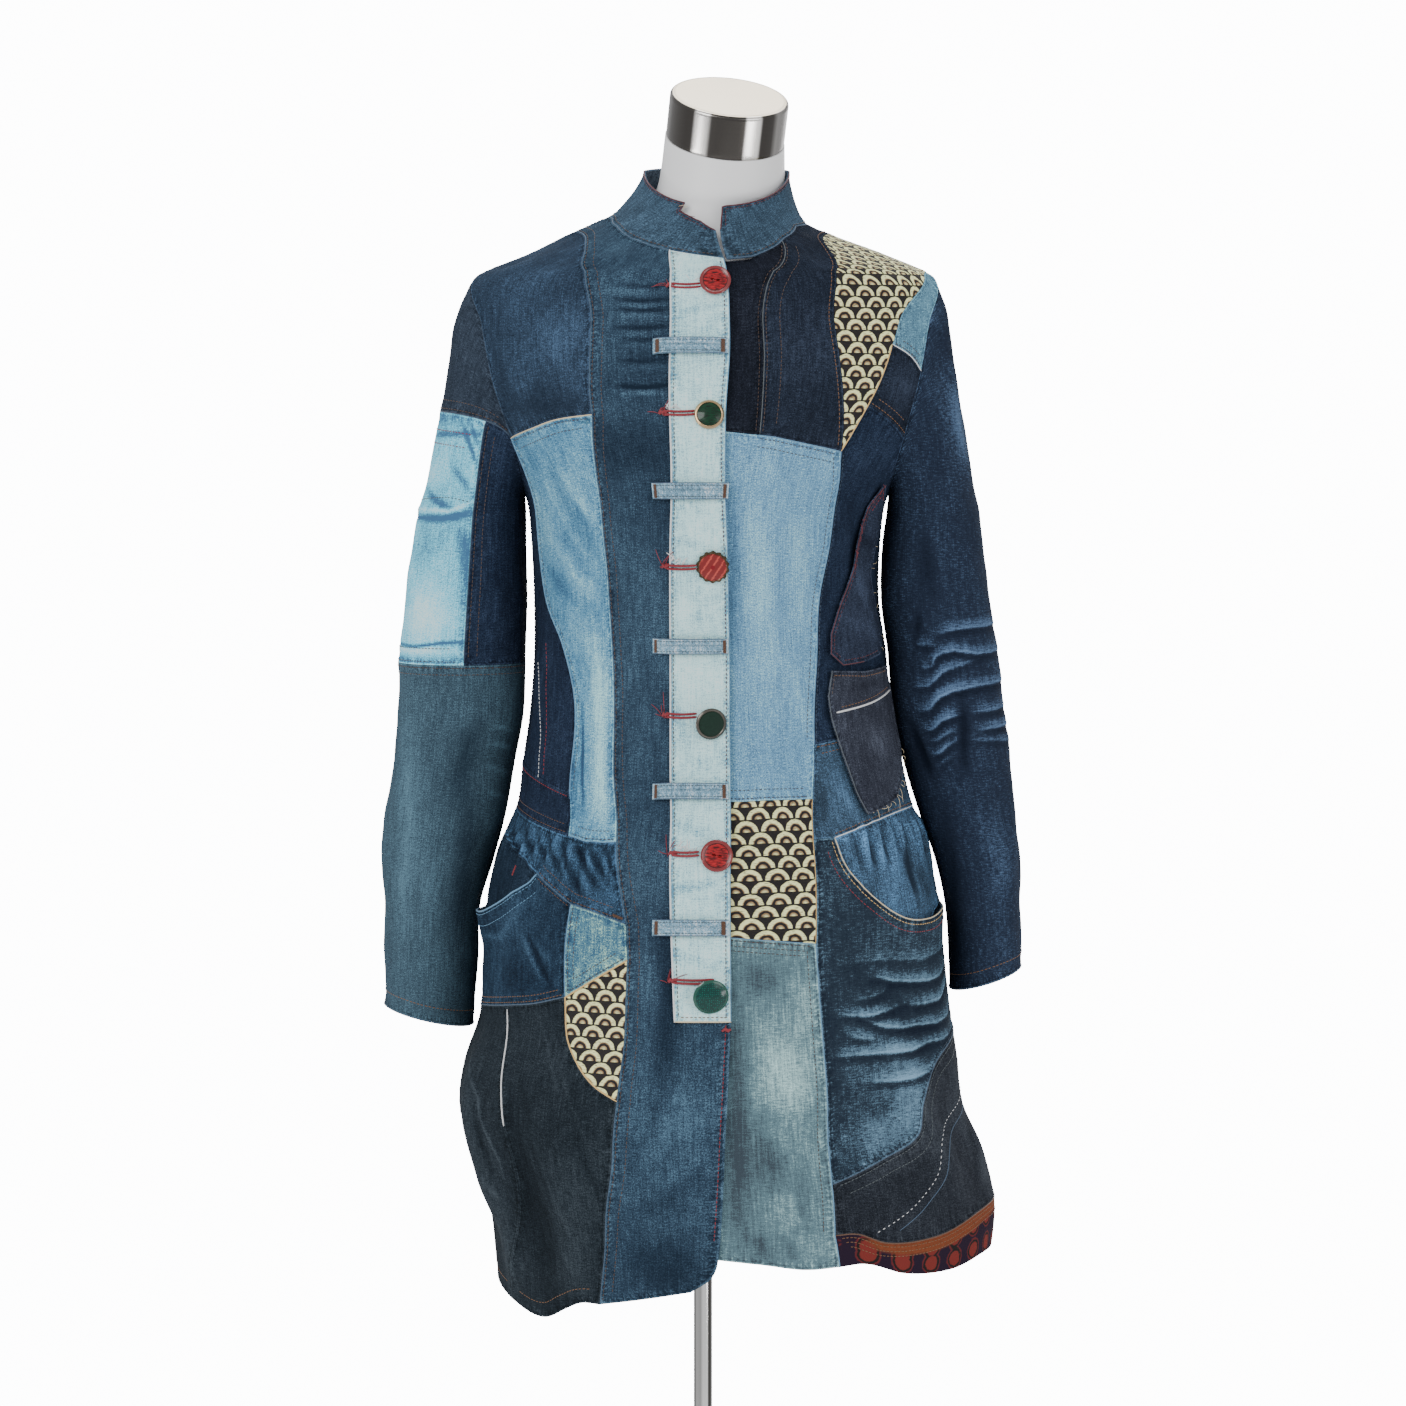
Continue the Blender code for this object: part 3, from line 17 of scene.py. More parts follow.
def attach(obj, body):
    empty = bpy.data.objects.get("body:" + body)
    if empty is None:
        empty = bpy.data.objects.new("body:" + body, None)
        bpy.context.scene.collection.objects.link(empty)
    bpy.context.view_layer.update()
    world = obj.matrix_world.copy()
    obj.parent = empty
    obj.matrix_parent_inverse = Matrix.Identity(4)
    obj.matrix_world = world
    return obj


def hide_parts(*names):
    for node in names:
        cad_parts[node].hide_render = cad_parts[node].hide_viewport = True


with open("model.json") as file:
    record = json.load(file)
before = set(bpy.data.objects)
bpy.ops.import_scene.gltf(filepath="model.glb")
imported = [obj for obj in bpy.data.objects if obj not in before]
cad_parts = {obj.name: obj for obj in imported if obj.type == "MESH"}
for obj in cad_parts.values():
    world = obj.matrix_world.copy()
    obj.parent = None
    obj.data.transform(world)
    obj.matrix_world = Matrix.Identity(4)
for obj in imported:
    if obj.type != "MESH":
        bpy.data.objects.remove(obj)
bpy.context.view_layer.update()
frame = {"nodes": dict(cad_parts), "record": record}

# Stand. A heavy round foot of brushed steel, turned and given a rounded upper edge, carries a
# turned flange, and the pole is a chromed tube that plugs into the flange and runs up to the form.
MM = 0.001
SLOT_OF = {row["node"]: row["material_slot"] for row in frame["record"]["subparts"]}


def add_node(tree, kind, settings=(), inputs=(), output=0):
    """One shader node. Its settings are set first, then its sockets get their values or links."""
    node = tree.nodes.new(kind)
    for key, value in dict(settings).items():
        if key == "stops":
            stops = node.color_ramp.elements
            for _ in value[2:]:
                stops.new(0.5)
            for stop, (position, colour) in zip(stops, value):
                stop.position = position
                stop.color = (*colour, 1)
        else:
            setattr(node, key, value)
    for key, value in dict(inputs).items():
        if isinstance(value, Wire):
            tree.links.new(value.socket, node.inputs[key])
        else:
            node.inputs[key].default_value = value
    return Wire(node.outputs[output])


def maths(operation, *values):
    """A Math node on links and numbers, in the material that the first link is from."""
    tree = next(value for value in values if isinstance(value, Wire)).socket.id_data
    return add_node(tree, "ShaderNodeMath", {"operation": operation}, dict(enumerate(values)))


class Wire:
    """The output of a node. Arithmetic on it adds Math nodes to the same material."""

    def __init__(self, socket):
        self.socket = socket

    def __add__(self, other):
        return maths("ADD", self, other)

    def __sub__(self, other):
        return maths("SUBTRACT", self, other)

    def __rsub__(self, other):
        return maths("SUBTRACT", other, self)

    def __mul__(self, other):
        return maths("MULTIPLY", self, other)

    def __truediv__(self, other):
        return maths("DIVIDE", self, other)

    __radd__ = __add__
    __rmul__ = __mul__


class Finish:
    """A material with one Principled shader, whose fixed values are given when it is made."""

    def __init__(self, name, **fixed):
        self.material = bpy.data.materials.new(name)
        self.material.use_nodes = True
        self.tree = self.material.node_tree
        self.shader = self.tree.nodes["Principled BSDF"]
        for socket, value in fixed.items():
            title = socket.replace("_", " ").title().replace("Ior", "IOR")
            self.shader.inputs[title].default_value = (*value, 1) if isinstance(value, tuple) else value

    def node(self, kind, settings=(), inputs=(), output=0):
        """One node of this material."""
        return add_node(self.tree, kind, settings, inputs, output)

    def place(self):
        """The piece's own place in metres."""
        return self.node("ShaderNodeTexCoord", output="Object")

    def attribute(self, name, output="Fac"):
        """A value that each of the mesh's points holds."""
        return self.node("ShaderNodeAttribute", {"attribute_name": name}, output=output)

    def axis(self, vector, number):
        """One of the three numbers of a vector."""
        return self.node("ShaderNodeSeparateXYZ", {}, {0: vector}, number)

    def stretch(self, vector, across, along, through=1.0):
        """A vector counted in steps of so many metres on each axis."""
        sizes = (1 / across, 1 / along, 1 / through)
        return self.node("ShaderNodeVectorMath", {"operation": "MULTIPLY"}, {0: vector, 1: sizes})

    def noise(self, vector, scale=1.0, detail=2.0, roughness=0.5, distortion=0.0):
        """Soft noise from 0 to 1 with its middle at 0.5."""
        sockets = {"Vector": vector, "Scale": scale, "Detail": detail, "Roughness": roughness,
                   "Distortion": distortion}
        return self.node("ShaderNodeTexNoise", {}, sockets)

    def between(self, value, low, high):
        """0 where the value is at low, 1 where it is at high, smooth between."""
        sockets = {"Value": value, "From Min": low, "From Max": high}
        return self.node("ShaderNodeMapRange", {"interpolation_type": "SMOOTHSTEP"}, sockets)

    def ramp(self, value, *stops):
        """A colour for a value, mixed between stops, each a value and its colour."""
        return self.node("ShaderNodeValToRGB", {"stops": stops}, {"Fac": value})

    def mix(self, share, one, two):
        """Mix two colours."""
        one, two = (part if isinstance(part, Wire) else (*part, 1) for part in (one, two))
        return self.node("ShaderNodeMix", {"data_type": "RGBA"}, {0: share, 6: one, 7: two}, 2)

    def give(self, socket, wire):
        """Let a link feed one of the shader's sockets."""
        self.tree.links.new(wire.socket, self.shader.inputs[socket])

    def emboss(self, height, depth, strength=1.0):
        """Raise the surface by a height from 0 to 1, at a depth in metres."""
        bump = self.node("ShaderNodeBump", {}, {"Height": height, "Distance": depth, "Strength": strength})
        self.give("Normal", bump)


def show(name, points, faces, finish, replaces=(), slot=None, sharp=40, values=(), second=None):
    """A finished mesh in metres that rides on the one body, with values for each of its points."""
    mesh = bpy.data.meshes.new(name)
    mesh.from_pydata(points.tolist(), [], [list(face) for face in faces])
    mesh.shade_smooth()
    mesh.set_sharp_from_angle(angle=math.radians(sharp))
    for key, value in dict(values).items():
        kind, field = ("FLOAT_VECTOR", "vector") if value.ndim == 2 else ("FLOAT", "value")
        layer = mesh.attributes.new(key, kind, "POINT")
        layer.data.foreach_set(field, value.astype(np.float32).ravel())
    mesh.materials.append(finish.material)
    if second:
        mesh.materials.append(second[0].material)
        mesh.polygons.foreach_set("material_index", second[1].astype(np.int32))
    piece = bpy.data.objects.new(name, mesh)
    bpy.context.scene.collection.objects.link(piece)
    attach(piece, "root")
    if replaces:
        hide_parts(*replaces)
    return piece


def loft(rings):
    """Points and faces of rings joined one to the next, with a fan to the middle of each end."""
    count, sides = rings.shape[:2]
    points = np.concatenate((rings.reshape(-1, 3), rings[:1].mean(axis=1), rings[-1:].mean(axis=1)))
    row = np.arange(count - 1)[:, None] * sides
    step = np.arange(sides)
    after = (step + 1) % sides
    quads = np.stack((row + step, row + after, row + sides + after, row + sides + step), axis=-1)
    low, high = len(points) - 2, len(points) - 1
    last = (count - 1) * sides
    faces = quads.reshape(-1, 4).tolist()
    faces += np.stack((np.full(sides, low), after, step), axis=-1).tolist()
    faces += np.stack((np.full(sides, high), last + step, last + after), axis=-1).tolist()
    return points, faces


def turned(outline, sides):
    """Rings of a turned shape: each pair of the outline, a radius and a height, goes round the axis."""
    radius, height = np.array(outline, float).T[..., None]
    turn = np.linspace(0, 2 * math.pi, sides, endpoint=False)
    return np.stack((radius * np.cos(turn), radius * np.sin(turn), height + 0 * turn), axis=-1)


def rounded(outline, radius, steps=5):
    """An outline whose inner corners are replaced by curves that start a radius away on each side."""
    outline = np.array(outline, float)
    result = [outline[0]]
    share = np.linspace(0, 1, steps)[:, None]
    for before, corner, after in zip(outline, outline[1:], outline[2:]):
        one, two = before - corner, after - corner
        one *= min(radius / np.linalg.norm(one), 0.5)
        two *= min(radius / np.linalg.norm(two), 0.5)
        result.extend(corner + one * (1 - share)**2 + two * share**2)
    return np.array(result + [outline[-1]])


def brushed(name, colour, roughness):
    """Brushed metal: fine lines round the piece, with a few faint stains."""
    finish = Finish(name, metallic=1.0, roughness=roughness, anisotropic=0.5)
    place = finish.place()
    lines = finish.noise(finish.stretch(place, 1, 1, 0.0004), detail=3)
    stain = finish.noise(place, 18, 3)
    tone = finish.between(lines * 0.6 + stain * 0.4, 0.3, 0.7)
    finish.give("Base Color", finish.mix(tone, tuple(0.78 * part for part in colour), colour))
    finish.give("Roughness", lines * 0.16 + (roughness - 0.08))
    finish.emboss(lines, 0.00004, 0.5)
    return finish


BASE_RADIUS = 170.0
BASE_HEIGHT = 10.0
FLANGE_FOOT = 10.3
FLANGE_TOP = 34.0
FLANGE_OUTLINE = (
    # radius, height
    (36, FLANGE_FOOT), (36, 11.4), (34, 12.6), (19, 16), (15, 24), (14.5, 32), (13, FLANGE_TOP),
)
POLE_RADIUS = 8.0
POLE_LOW, POLE_HIGH = 34.3, 769.7
# Painted reflections along the pole, in its base colour: share of the half turn, and how bright
POLE_PAINTED_REFLECTIONS = (
    (0, 0.05), (0.16, 0.05), (0.24, 0.55), (0.42, 0.45), (0.50, 0.95), (0.66, 0.95), (0.70, 0.05),
    (0.82, 0.10), (0.9, 0.7),
)


def half_turns(points):
    """How far round its axis each point lies: 0 at the right, 0.5 in front and behind, 1 at the left."""
    reach = np.maximum(np.hypot(points[:, 0], points[:, 1]), 1e-9)
    return np.arccos(np.clip(-points[:, 0] / reach, -1, 1)) / math.pi


def painted_reflections(finish, stops, dark, light):
    """Painted reflections: dark and bright bands of colour along a round piece, as metal reflects a room."""
    bright = finish.ramp(finish.attribute("around"), *((at, (part, part, part)) for at, part in stops))
    return finish.mix(bright, dark, light)


steel = brushed("brushed_steel", (0.50, 0.49, 0.47), 0.32)
chrome = Finish("chromed_steel", metallic=1.0, roughness=0.12)
# The pole's colour holds painted reflections, by how far round it each point lies.
chrome.give("Base Color", painted_reflections(chrome, POLE_PAINTED_REFLECTIONS, (0.02, 0.016, 0.012), (0.98, 0.97, 0.95)))

base_outline = [(BASE_RADIUS - 2, 0), (BASE_RADIUS, 0), (BASE_RADIUS, BASE_HEIGHT),
                (BASE_RADIUS - 4, BASE_HEIGHT), (20, BASE_HEIGHT)]
foot = loft(turned(rounded(base_outline, 1.6), 128) * MM)
show("base_plate_turned", *foot, steel, ["base_plate"], "base_metal")
flange = loft(turned(rounded(FLANGE_OUTLINE, 1.5), 64) * MM)
show("pole_flange_turned", *flange, steel, ["pole_flange"], "base_metal")
pole_outline = [(POLE_RADIUS - 1, POLE_LOW), (POLE_RADIUS, POLE_LOW + 1),
                (POLE_RADIUS, POLE_HIGH - 1), (POLE_RADIUS - 1, POLE_HIGH)]
pole = loft(turned(pole_outline, 48) * MM)
around_pole = {"around": half_turns(pole[0])}
show("pole_tube_turned", *pole, chrome, ["pole_tube"], "base_metal", values=around_pole)


# Dress form. A limbless torso with a neck, moulded in one piece of smooth matt white plastic. It is
# a general figure, and its shoulders lie just under the cloth that hangs on them.

# The coat's rings: the power of their rounded outline, and half-widths of the coat at each height
RING_POWER = 2.2
SECTIONS = np.array([
    # height, to the wearer's right, to the left, to the front, to the back
    (540, 172, 238, 172, 168),
    (595, 179, 246, 176, 172),
    (637, 184, 249, 180, 176),
    (673, 197, 242, 183, 178),
    (701, 204, 232, 184, 178),
    (728, 209, 222, 183, 177),
    (764, 204, 218, 181, 175),
    (803, 191, 212, 177, 170),
    (845, 188, 207, 171, 165),
    (875, 186, 204, 166, 160),
    (901, 184, 201, 161, 155),
    (924, 180, 197, 156, 149),
    (945, 175, 192, 150, 143),
    (970, 164, 184, 143, 133),
    (984, 158, 178, 138, 126),
    (1021, 153, 169, 127, 113),
    (1062, 147, 160, 118, 101),
    (1115, 143, 155, 113, 93),
    (1158, 143, 149, 119, 95),
    (1208, 145, 150, 131, 102),
    (1243, 149, 155, 136, 107),
    (1268, 159, 167, 135, 110),
    (1300, 178, 186, 129, 112),
    (1343, 199, 204, 115, 109),
    (1390, 202, 206, 98, 101),
    (1432, 190, 193, 82, 86),
    (1450, 148, 153, 74, 76),
    (1468, 109, 104, 62, 68),
    (1483, 75, 70, 52, 60),
    (1500, 40, 42, 30, 40),
], float)


def hermite(t, start, end, first_slope, last_slope, step=1.0):
    """Cubic curve from a start to an end with given slopes there, as t goes from 0 to 1."""
    low = (2 * t**3 - 3 * t**2 + 1) * start + (t**3 - 2 * t**2 + t) * step * first_slope
    high = (3 * t**2 - 2 * t**3) * end + (t**3 - t**2) * step * last_slope
    return low + high


def smooth_through(x, table_x, table_y):
    """Smooth curve through the points of a table, its slope at each the mean of both sides."""
    step = np.diff(table_x)
    rise = np.diff(table_y) / step
    slope = np.concatenate((rise[:1], rise, rise[-1:]))
    slope = 0.5 * (slope[1:] + slope[:-1])
    x = np.clip(x, table_x[0], table_x[-1])
    i = np.clip(np.searchsorted(table_x, x) - 1, 0, len(step) - 1)
    t = (x - table_x[i]) / step[i]
    return hermite(t, table_y[i], table_y[i + 1], slope[i], slope[i + 1], step[i])


def read(table, x, *columns):
    """Smooth values of some columns of a table at places x in its first column."""
    return [smooth_through(x, table[:, 0], table[:, k]) for k in columns]


def oval(turn, right, left, front, back):
    """Across and depth at each turn of an outline that is a little squarer than an ellipse."""
    sine = np.sin(np.radians(turn))
    cosine = np.cos(np.radians(turn))
    x = np.where(sine > 0, left, right) * np.sign(sine) * np.abs(sine) ** (2 / RING_POWER)
    y = -np.where(cosine > 0, front, back) * np.sign(cosine) * np.abs(cosine) ** (2 / RING_POWER)
    return x, y


def ring_point(turn, height):
    """The coat's ring at a height, before its folds: the oval with that height's half-widths."""
    x, y = oval(turn, *read(SECTIONS, height, 1, 2, 3, 4))
    return np.stack((x, y, height + 0 * x), axis=-1)


def normals(surface, turn, height):
    """Unit normals, from the surface one half step to each side."""
    across = surface(turn + 0.5, height) - surface(turn - 0.5, height)
    along = surface(turn, height + 1.0) - surface(turn, height - 1.0)
    normal = np.cross(across, along)
    return normal / np.linalg.norm(normal, axis=-1, keepdims=True)


# Dress form, a general figure, and the heights of its rings up to the chest
FORM_BODY = np.array([
    # height, half-width, to the front, to the back
    (770, 146, 108, 112),
    (778, 156, 116, 120),
    (850, 164, 121, 124),
    (930, 154, 116, 112),
    (1021, 134, 106, 95),
    (1100, 123, 98, 80),
    (1158, 125, 104, 80),
    (1208, 130, 115, 87),
    (1243, 136, 121, 93),
    (1300, 158, 115, 98),
    (1343, 178, 101, 95),
    (1385, 188, 86, 88),
], float)
FORM_HEIGHTS = (770, 776, 800, 850, 910, 970, 1030, 1090, 1140, 1190, 1243, 1290, 1340, 1385)

# The form's shoulders lie this far in from the outside of the cloth, and deeper in front
FORM_SHOULDERS = (
    # height of the cloth, depth below its outside
    (1418, 7.0),
    (1435, 4.2),
    (1452, 4.0),
    (1465, 5.0),
)
FORM_FRONT_DEPTH = 5.0
FORM_NECK = (
    # centre across, centre front to back, height, half-width, half-depth
    (6, -1, 1484, 60, 52),
    (12, -2, 1496, 56, 53),
    (16, -3.5, 1512, 53, 52),
)
FORM_SIDES = 96


def finer(rings, steps):
    """Rings joined by smooth curves through them, with so many steps from one to the next."""
    slope = np.gradient(rings, axis=0)
    share = (np.arange(steps) / steps)[:, None, None]
    between = hermite(share, rings[:-1, None], rings[1:, None], slope[:-1, None], slope[1:, None])
    return np.concatenate((between.reshape(-1, *rings.shape[1:]), rings[-1:]))


def leaned(points, pivot, forward, sideways):
    """Points leaned forward and to the wearer's left about a pivot, in degrees."""
    a, b = math.radians(forward), math.radians(sideways)
    nod = np.array(((1, 0, 0), (0, math.cos(a), -math.sin(a)), (0, math.sin(a), math.cos(a))))
    roll = np.array(((math.cos(b), 0, math.sin(b)), (0, 1, 0), (-math.sin(b), 0, math.cos(b))))
    return (points - pivot) @ (roll @ nod).T + pivot


CAP_SEAT = np.array((18.5, -9.0, 1546.0))
CAP_TILT = (25.0, 6.5)
NECK_RADIUS = 50.6

turn = np.linspace(0, 360, FORM_SIDES, endpoint=False)
sine, cosine = np.sin(np.radians(turn)), np.cos(np.radians(turn))
body_rings = []
for height in FORM_HEIGHTS:
    x, y = oval(turn, *read(FORM_BODY, height, 1, 1, 2, 3))
    body_rings.append(np.stack((x, y, height + 0 * x), axis=-1))
for height, depth in FORM_SHOULDERS:
    height = height + 0 * turn
    depth = depth + FORM_FRONT_DEPTH * np.clip(cosine, 0, 1) ** 2
    body_rings.append(ring_point(turn, height) - normals(ring_point, turn, height) * depth[:, None])
for x, y, height, half_width, half_depth in FORM_NECK:
    neck = (x + half_width * sine, y - half_depth * cosine, height + 0 * sine)
    body_rings.append(np.stack(neck, axis=-1))
neck_ring = CAP_SEAT + NECK_RADIUS * np.stack((sine, -cosine, 0 * sine), axis=-1)
body_rings.append(leaned(neck_ring, CAP_SEAT, *CAP_TILT))

white = Finish("form_white_plastic", roughness=0.42, specular_ior_level=0.4)
grime = white.noise(white.place(), 7, 3)
white.give("Base Color", white.mix(grime, (0.90, 0.90, 0.90), (0.95, 0.95, 0.95)))
white.give("Roughness", grime * 0.12 + 0.36)
torso_points, torso_faces = loft(finer(np.array(body_rings), 4) * MM)
show("form_torso_moulded", torso_points, torso_faces, white, ["form_torso"], "form_white", 50)


# Neck cap. A lid of spun and brushed nickel, with a rounded edge, is pressed onto the neck's leaned
# top. Its side is brushed round, with painted reflections, and its flat face has a softer, warmer sheen.
CAP_RADIUS = 50.0
CAP_HEIGHT = 38.0
CAP_FOOT = 0.3
CAP_EDGE = 7.0

# Painted reflections in the side's colour, which repeat on the back: share of the half turn, and how bright
CAP_PAINTED_REFLECTIONS = (
    (0, 0.02), (0.06, 0.30), (0.13, 0.10), (0.27, 0.05), (0.31, 0.05), (0.33, 0.95), (0.40, 0.72),
    (0.42, 0.06), (0.60, 0.05), (0.615, 0.98), (0.69, 0.92), (0.705, 0.04), (0.78, 0.06), (0.82, 0.38),
    (0.90, 0.24), (0.95, 0.02),
)

nickel = Finish("brushed_nickel", metallic=1.0, roughness=0.24, anisotropic=0.7)
band = nickel.noise(nickel.stretch(nickel.place(), 1, 1, 0.0005), detail=3)
face = nickel.between(nickel.attribute("height"), 37.6, 37.98)
# The side's colour: painted reflections, with the brushed lines over them.
side_colour = painted_reflections(nickel, CAP_PAINTED_REFLECTIONS, (0.015, 0.012, 0.010), (1.0, 0.97, 0.93))
side_colour = nickel.mix(band * 0.25, side_colour, (0.20, 0.18, 0.16))
nickel.give("Base Color", nickel.mix(face, side_colour, (0.98, 0.87, 0.68)))
nickel.give("Roughness", face * 0.12 + band * 0.10 + 0.17)

cap_corners = ((CAP_RADIUS - 1, CAP_FOOT), (CAP_RADIUS, CAP_FOOT), (CAP_RADIUS, CAP_HEIGHT - CAP_EDGE),
               (CAP_RADIUS, CAP_HEIGHT), (CAP_RADIUS - CAP_EDGE, CAP_HEIGHT), (30, CAP_HEIGHT))
cap_outline = rounded(cap_corners, CAP_EDGE * 0.7, 7)
cap_points, cap_faces = loft(turned(cap_outline, 128))
cap_level = cap_points[:, 2].copy()
cap_around = half_turns(cap_points)
cap_points = leaned(cap_points + CAP_SEAT, CAP_SEAT, *CAP_TILT) * MM
show("neck_cap_spun", cap_points, cap_faces, nickel, ["neck_cap"], "brushed_metal", 50,
     {"height": cap_level, "around": cap_around})


# Back of the coat. Five plain pieces of washed denim, cut to the figure, are joined by flat-felled
# seams from the shoulders to the hem. They are out of the photograph's sight and are kept plain.

# Thickness of the denim, and the gap that pieces keep at a seam
CLOTH = 1.6
SEAM_GAP = 0.36
# Step of the cloth's points, and along its border; creases with less than a sharp half-width get a
# finer step within a reach
CELL = 3.6
SAMPLE = 3.0
SHARP = 2.0
FINE_CELL = 1.7
FINE_REACH = 4.0
# The least area of a triangle, how close points are joined, and steps in degrees along two seams
SLIVER = 0.2
WELD = 0.0001
NECKLINE_STEP = 1.5
ARMHOLE_STEP = 2

# Length of cloth up to a height, which runs ahead of the height where the shoulder flattens
CLIMB = np.array([
    # height, cloth
    (0, 0),
    (1390, 1390),
    (1432, 1434),
    (1450, 1480),
    (1468, 1523),
    (1483, 1560),
    (1500, 1598),
], float)

# Cloth round the body for each degree of turn, at its mean girth
GIRTH_PER_DEGREE = 3.0

# The neckline seam
NECKLINE = np.array([
    # turn, height
    (-180, 1474),
    (-135, 1479),
    (-90, 1483),
    (-60, 1478),
    (-41, 1470),
    (-29, 1462),
    (-20, 1456),
    (-9, 1449),
    (5, 1442),
    (12, 1444),
    (20, 1451),
    (30, 1460),
    (51, 1471),
    (90, 1476),
    (135, 1477),
    (180, 1474),
], float)

# The armhole, an oval on the body surface
ARMHOLE_TURN = 90
ARMHOLE_HEIGHT = 1341
ARMHOLE_HALF_TURN = 30
ARMHOLE_HALF_HEIGHT = 91

# Numbered points on the armholes, by their angle
ARMHOLE_POINTS = {
    "ratop": (-1, 0), "ra": (-1, 120), "rapit": (-1, 180),
    "latop": (1, 0), "la1": (1, 84), "la2": (1, 120), "lapit": (1, 180),
}

# Numbered points along each seam, from the top down or from the front round, as (turn, height)
SEAM_POINTS = {
    # free front edge of the right front, and of the left front that lies under it
    "edge": ((4.5, 1442.25), (5, 823), (2.4, 640), (-2.4, 602)),
    "under": ((-3.5, 1446.25), (-3.5, 1303), (-3.5, 999), (-3.5, 894), (-3.5, 631)),
    # left edge of the light button strip on the right front
    "strip": ((-9, 1449), (-5.8, 823)),
    # shoulder seams, from the neck out to the armhole
    "rs": ((-90, 1483), (-90, 1470)),
    "ls": ((90, 1476), (90, 1468), (90, 1438)),
    # right front: side of the centre strip, outer side of the light panel, cross seams
    "rc": ((-27, 1314), (-23, 965), (-17.7, 900), (-17.2, 872), (-17.8, 758), (-26, 588)),
    "rl": ((-43.3, 1001), (-40.1, 968)),
    "rw": ((-90, 1022), (-90, 984), (-90, 964)),
    "rf": ((-48.8, 936), (-34.3, 914)),
    "rp": ((-90, 898), (-90, 812)),
    "ri": ((-34.6, 839),),
    "rk": ((-58.1, 825), (-64, 575)),
    "rh": ((-90, 590),),
    # left front: neck strip, chest, brocade wedge, shoulder patch, armhole piece
    "ln": ((27, 1457.3), (12.4, 1298)),
    "lt": ((37.6, 1284), (41.6, 1322), (47.1, 1372)),
    # left front: outer side of the light panel down to the hem
    "lc": ((31.8, 1043), (28.9, 999), (26.9, 967), (24.7, 884), (24.1, 689), (23.5, 647), (24.5, 620)),
    "lp": ((33.6, 967.5),),
    # left side seam
    "lw": ((90, 1051), (90, 984), (90, 905), (90, 795), (90, 652), (90, 606)),
    # back: seams from the shoulders to the waist, and the centre seam of the skirt
    "bl": ((90, 1455), (144, 985)),
    "br": ((-90, 1455), (-144, 985)),
    "bc": ((180, 986), (180, 600)),
}

# Points that a seam bends through between two numbered points
BENDS = {
    "edge1 edge2": ((4.9, 1370), (4.4, 1314), (6.5, 1183), (6.1, 1000), (5.3, 934)),
    "edge3 edge4": ((1.6, 618), (0.2, 609)),
    "strip1 strip2": (
        (-6.7, 1432), (-6.3, 1390), (-7.2, 1300), (-9, 1208), (-9.2, 1115), (-8.5, 1021), (-7.1, 924),
    ),
    "rs2 rc1": ((-52, 1462), (-41, 1452), (-32, 1438), (-26, 1415), (-25, 1370)),
    "rc1 rc2": ((-31.8, 1254), (-30.5, 1170), (-28.3, 1090), (-26, 1010)),
    "rc5 rc6": ((-19, 707), (-22.5, 655)),
    "rc1 ra": ((-38.9, 1310), (-50, 1303)),
    "ra rl1": ((-68.8, 1258), (-70, 1205), (-65.3, 1163), (-53.2, 1124), (-45, 1078)),
    "rw1 rl1": ((-66, 1013),),
    "rw2 rl2": ((-66, 978),),
    "rl2 rc2": ((-32, 964.5),),
    "rw3 rf1": ((-72, 957), (-57.6, 947)),
    "rf2 rc3": ((-26, 908),),
    "rf1 rp1": ((-55, 918), (-65, 904), (-77, 896)),
    "rf2 ri1": ((-35.2, 875),),
    "ri1 rc5": ((-33.4, 806), (-30, 789), (-24, 770)),
    "rk1 rk2": ((-53.4, 769), (-50.1, 720), (-49.5, 675), (-57, 622)),
    "ri1 rk1": ((-45, 831),),
    "rk1 rp2": ((-75, 818),),
    "rc6 rk2": ((-31.3, 588), (-37.5, 580), (-46, 569)),
    "rk2 rh1": ((-76, 581),),
    "edge4 rc6": ((-12, 596),),
    "ln1 ln2": ((17.6, 1436), (13, 1420), (12, 1355)),
    "ls2 lt1": ((48, 1458), (34, 1435), (29.8, 1412), (31, 1355)),
    "ls3 lt3": ((66, 1425), (53.1, 1403)),
    "lt3 la1": ((54.8, 1362),),
    "under2 ln2": ((5, 1301),),
    "ln2 lt1": ((24, 1291),),
    "lt1 lc1": ((42, 1251), (41.8, 1209), (38, 1165), (34.2, 1097)),
    "lc1 lw1": ((50, 1049),),
    "lp1 lw2": ((46.4, 976), (64, 983)),
    "lc4 lc5": ((25.2, 746),),
    "lp1 lw3": ((36, 938), (42, 917), (52, 899), (64, 895), (78, 900)),
    "lc5 lw4": ((37, 705), (50, 722), (53, 748), (63, 777)),
    "lc6 lw5": ((28, 647), (35, 637), (48, 636), (66, 646)),
    "lc7 lw6": ((29.7, 621), (40, 609), (54, 605), (70, 609)),
    "under5 lc7": ((8, 624), (18, 619)),
    "bl1 bl2": ((128, 1444), (142, 1415), (146, 1330), (147, 1240), (146, 1100)),
    "br1 br2": ((-128, 1444), (-142, 1415), (-146, 1330), (-147, 1240), (-146, 1100)),
    "lw6 bc2": ((135, 598),),
    "bc2 rh1": ((-135, 588),),
}

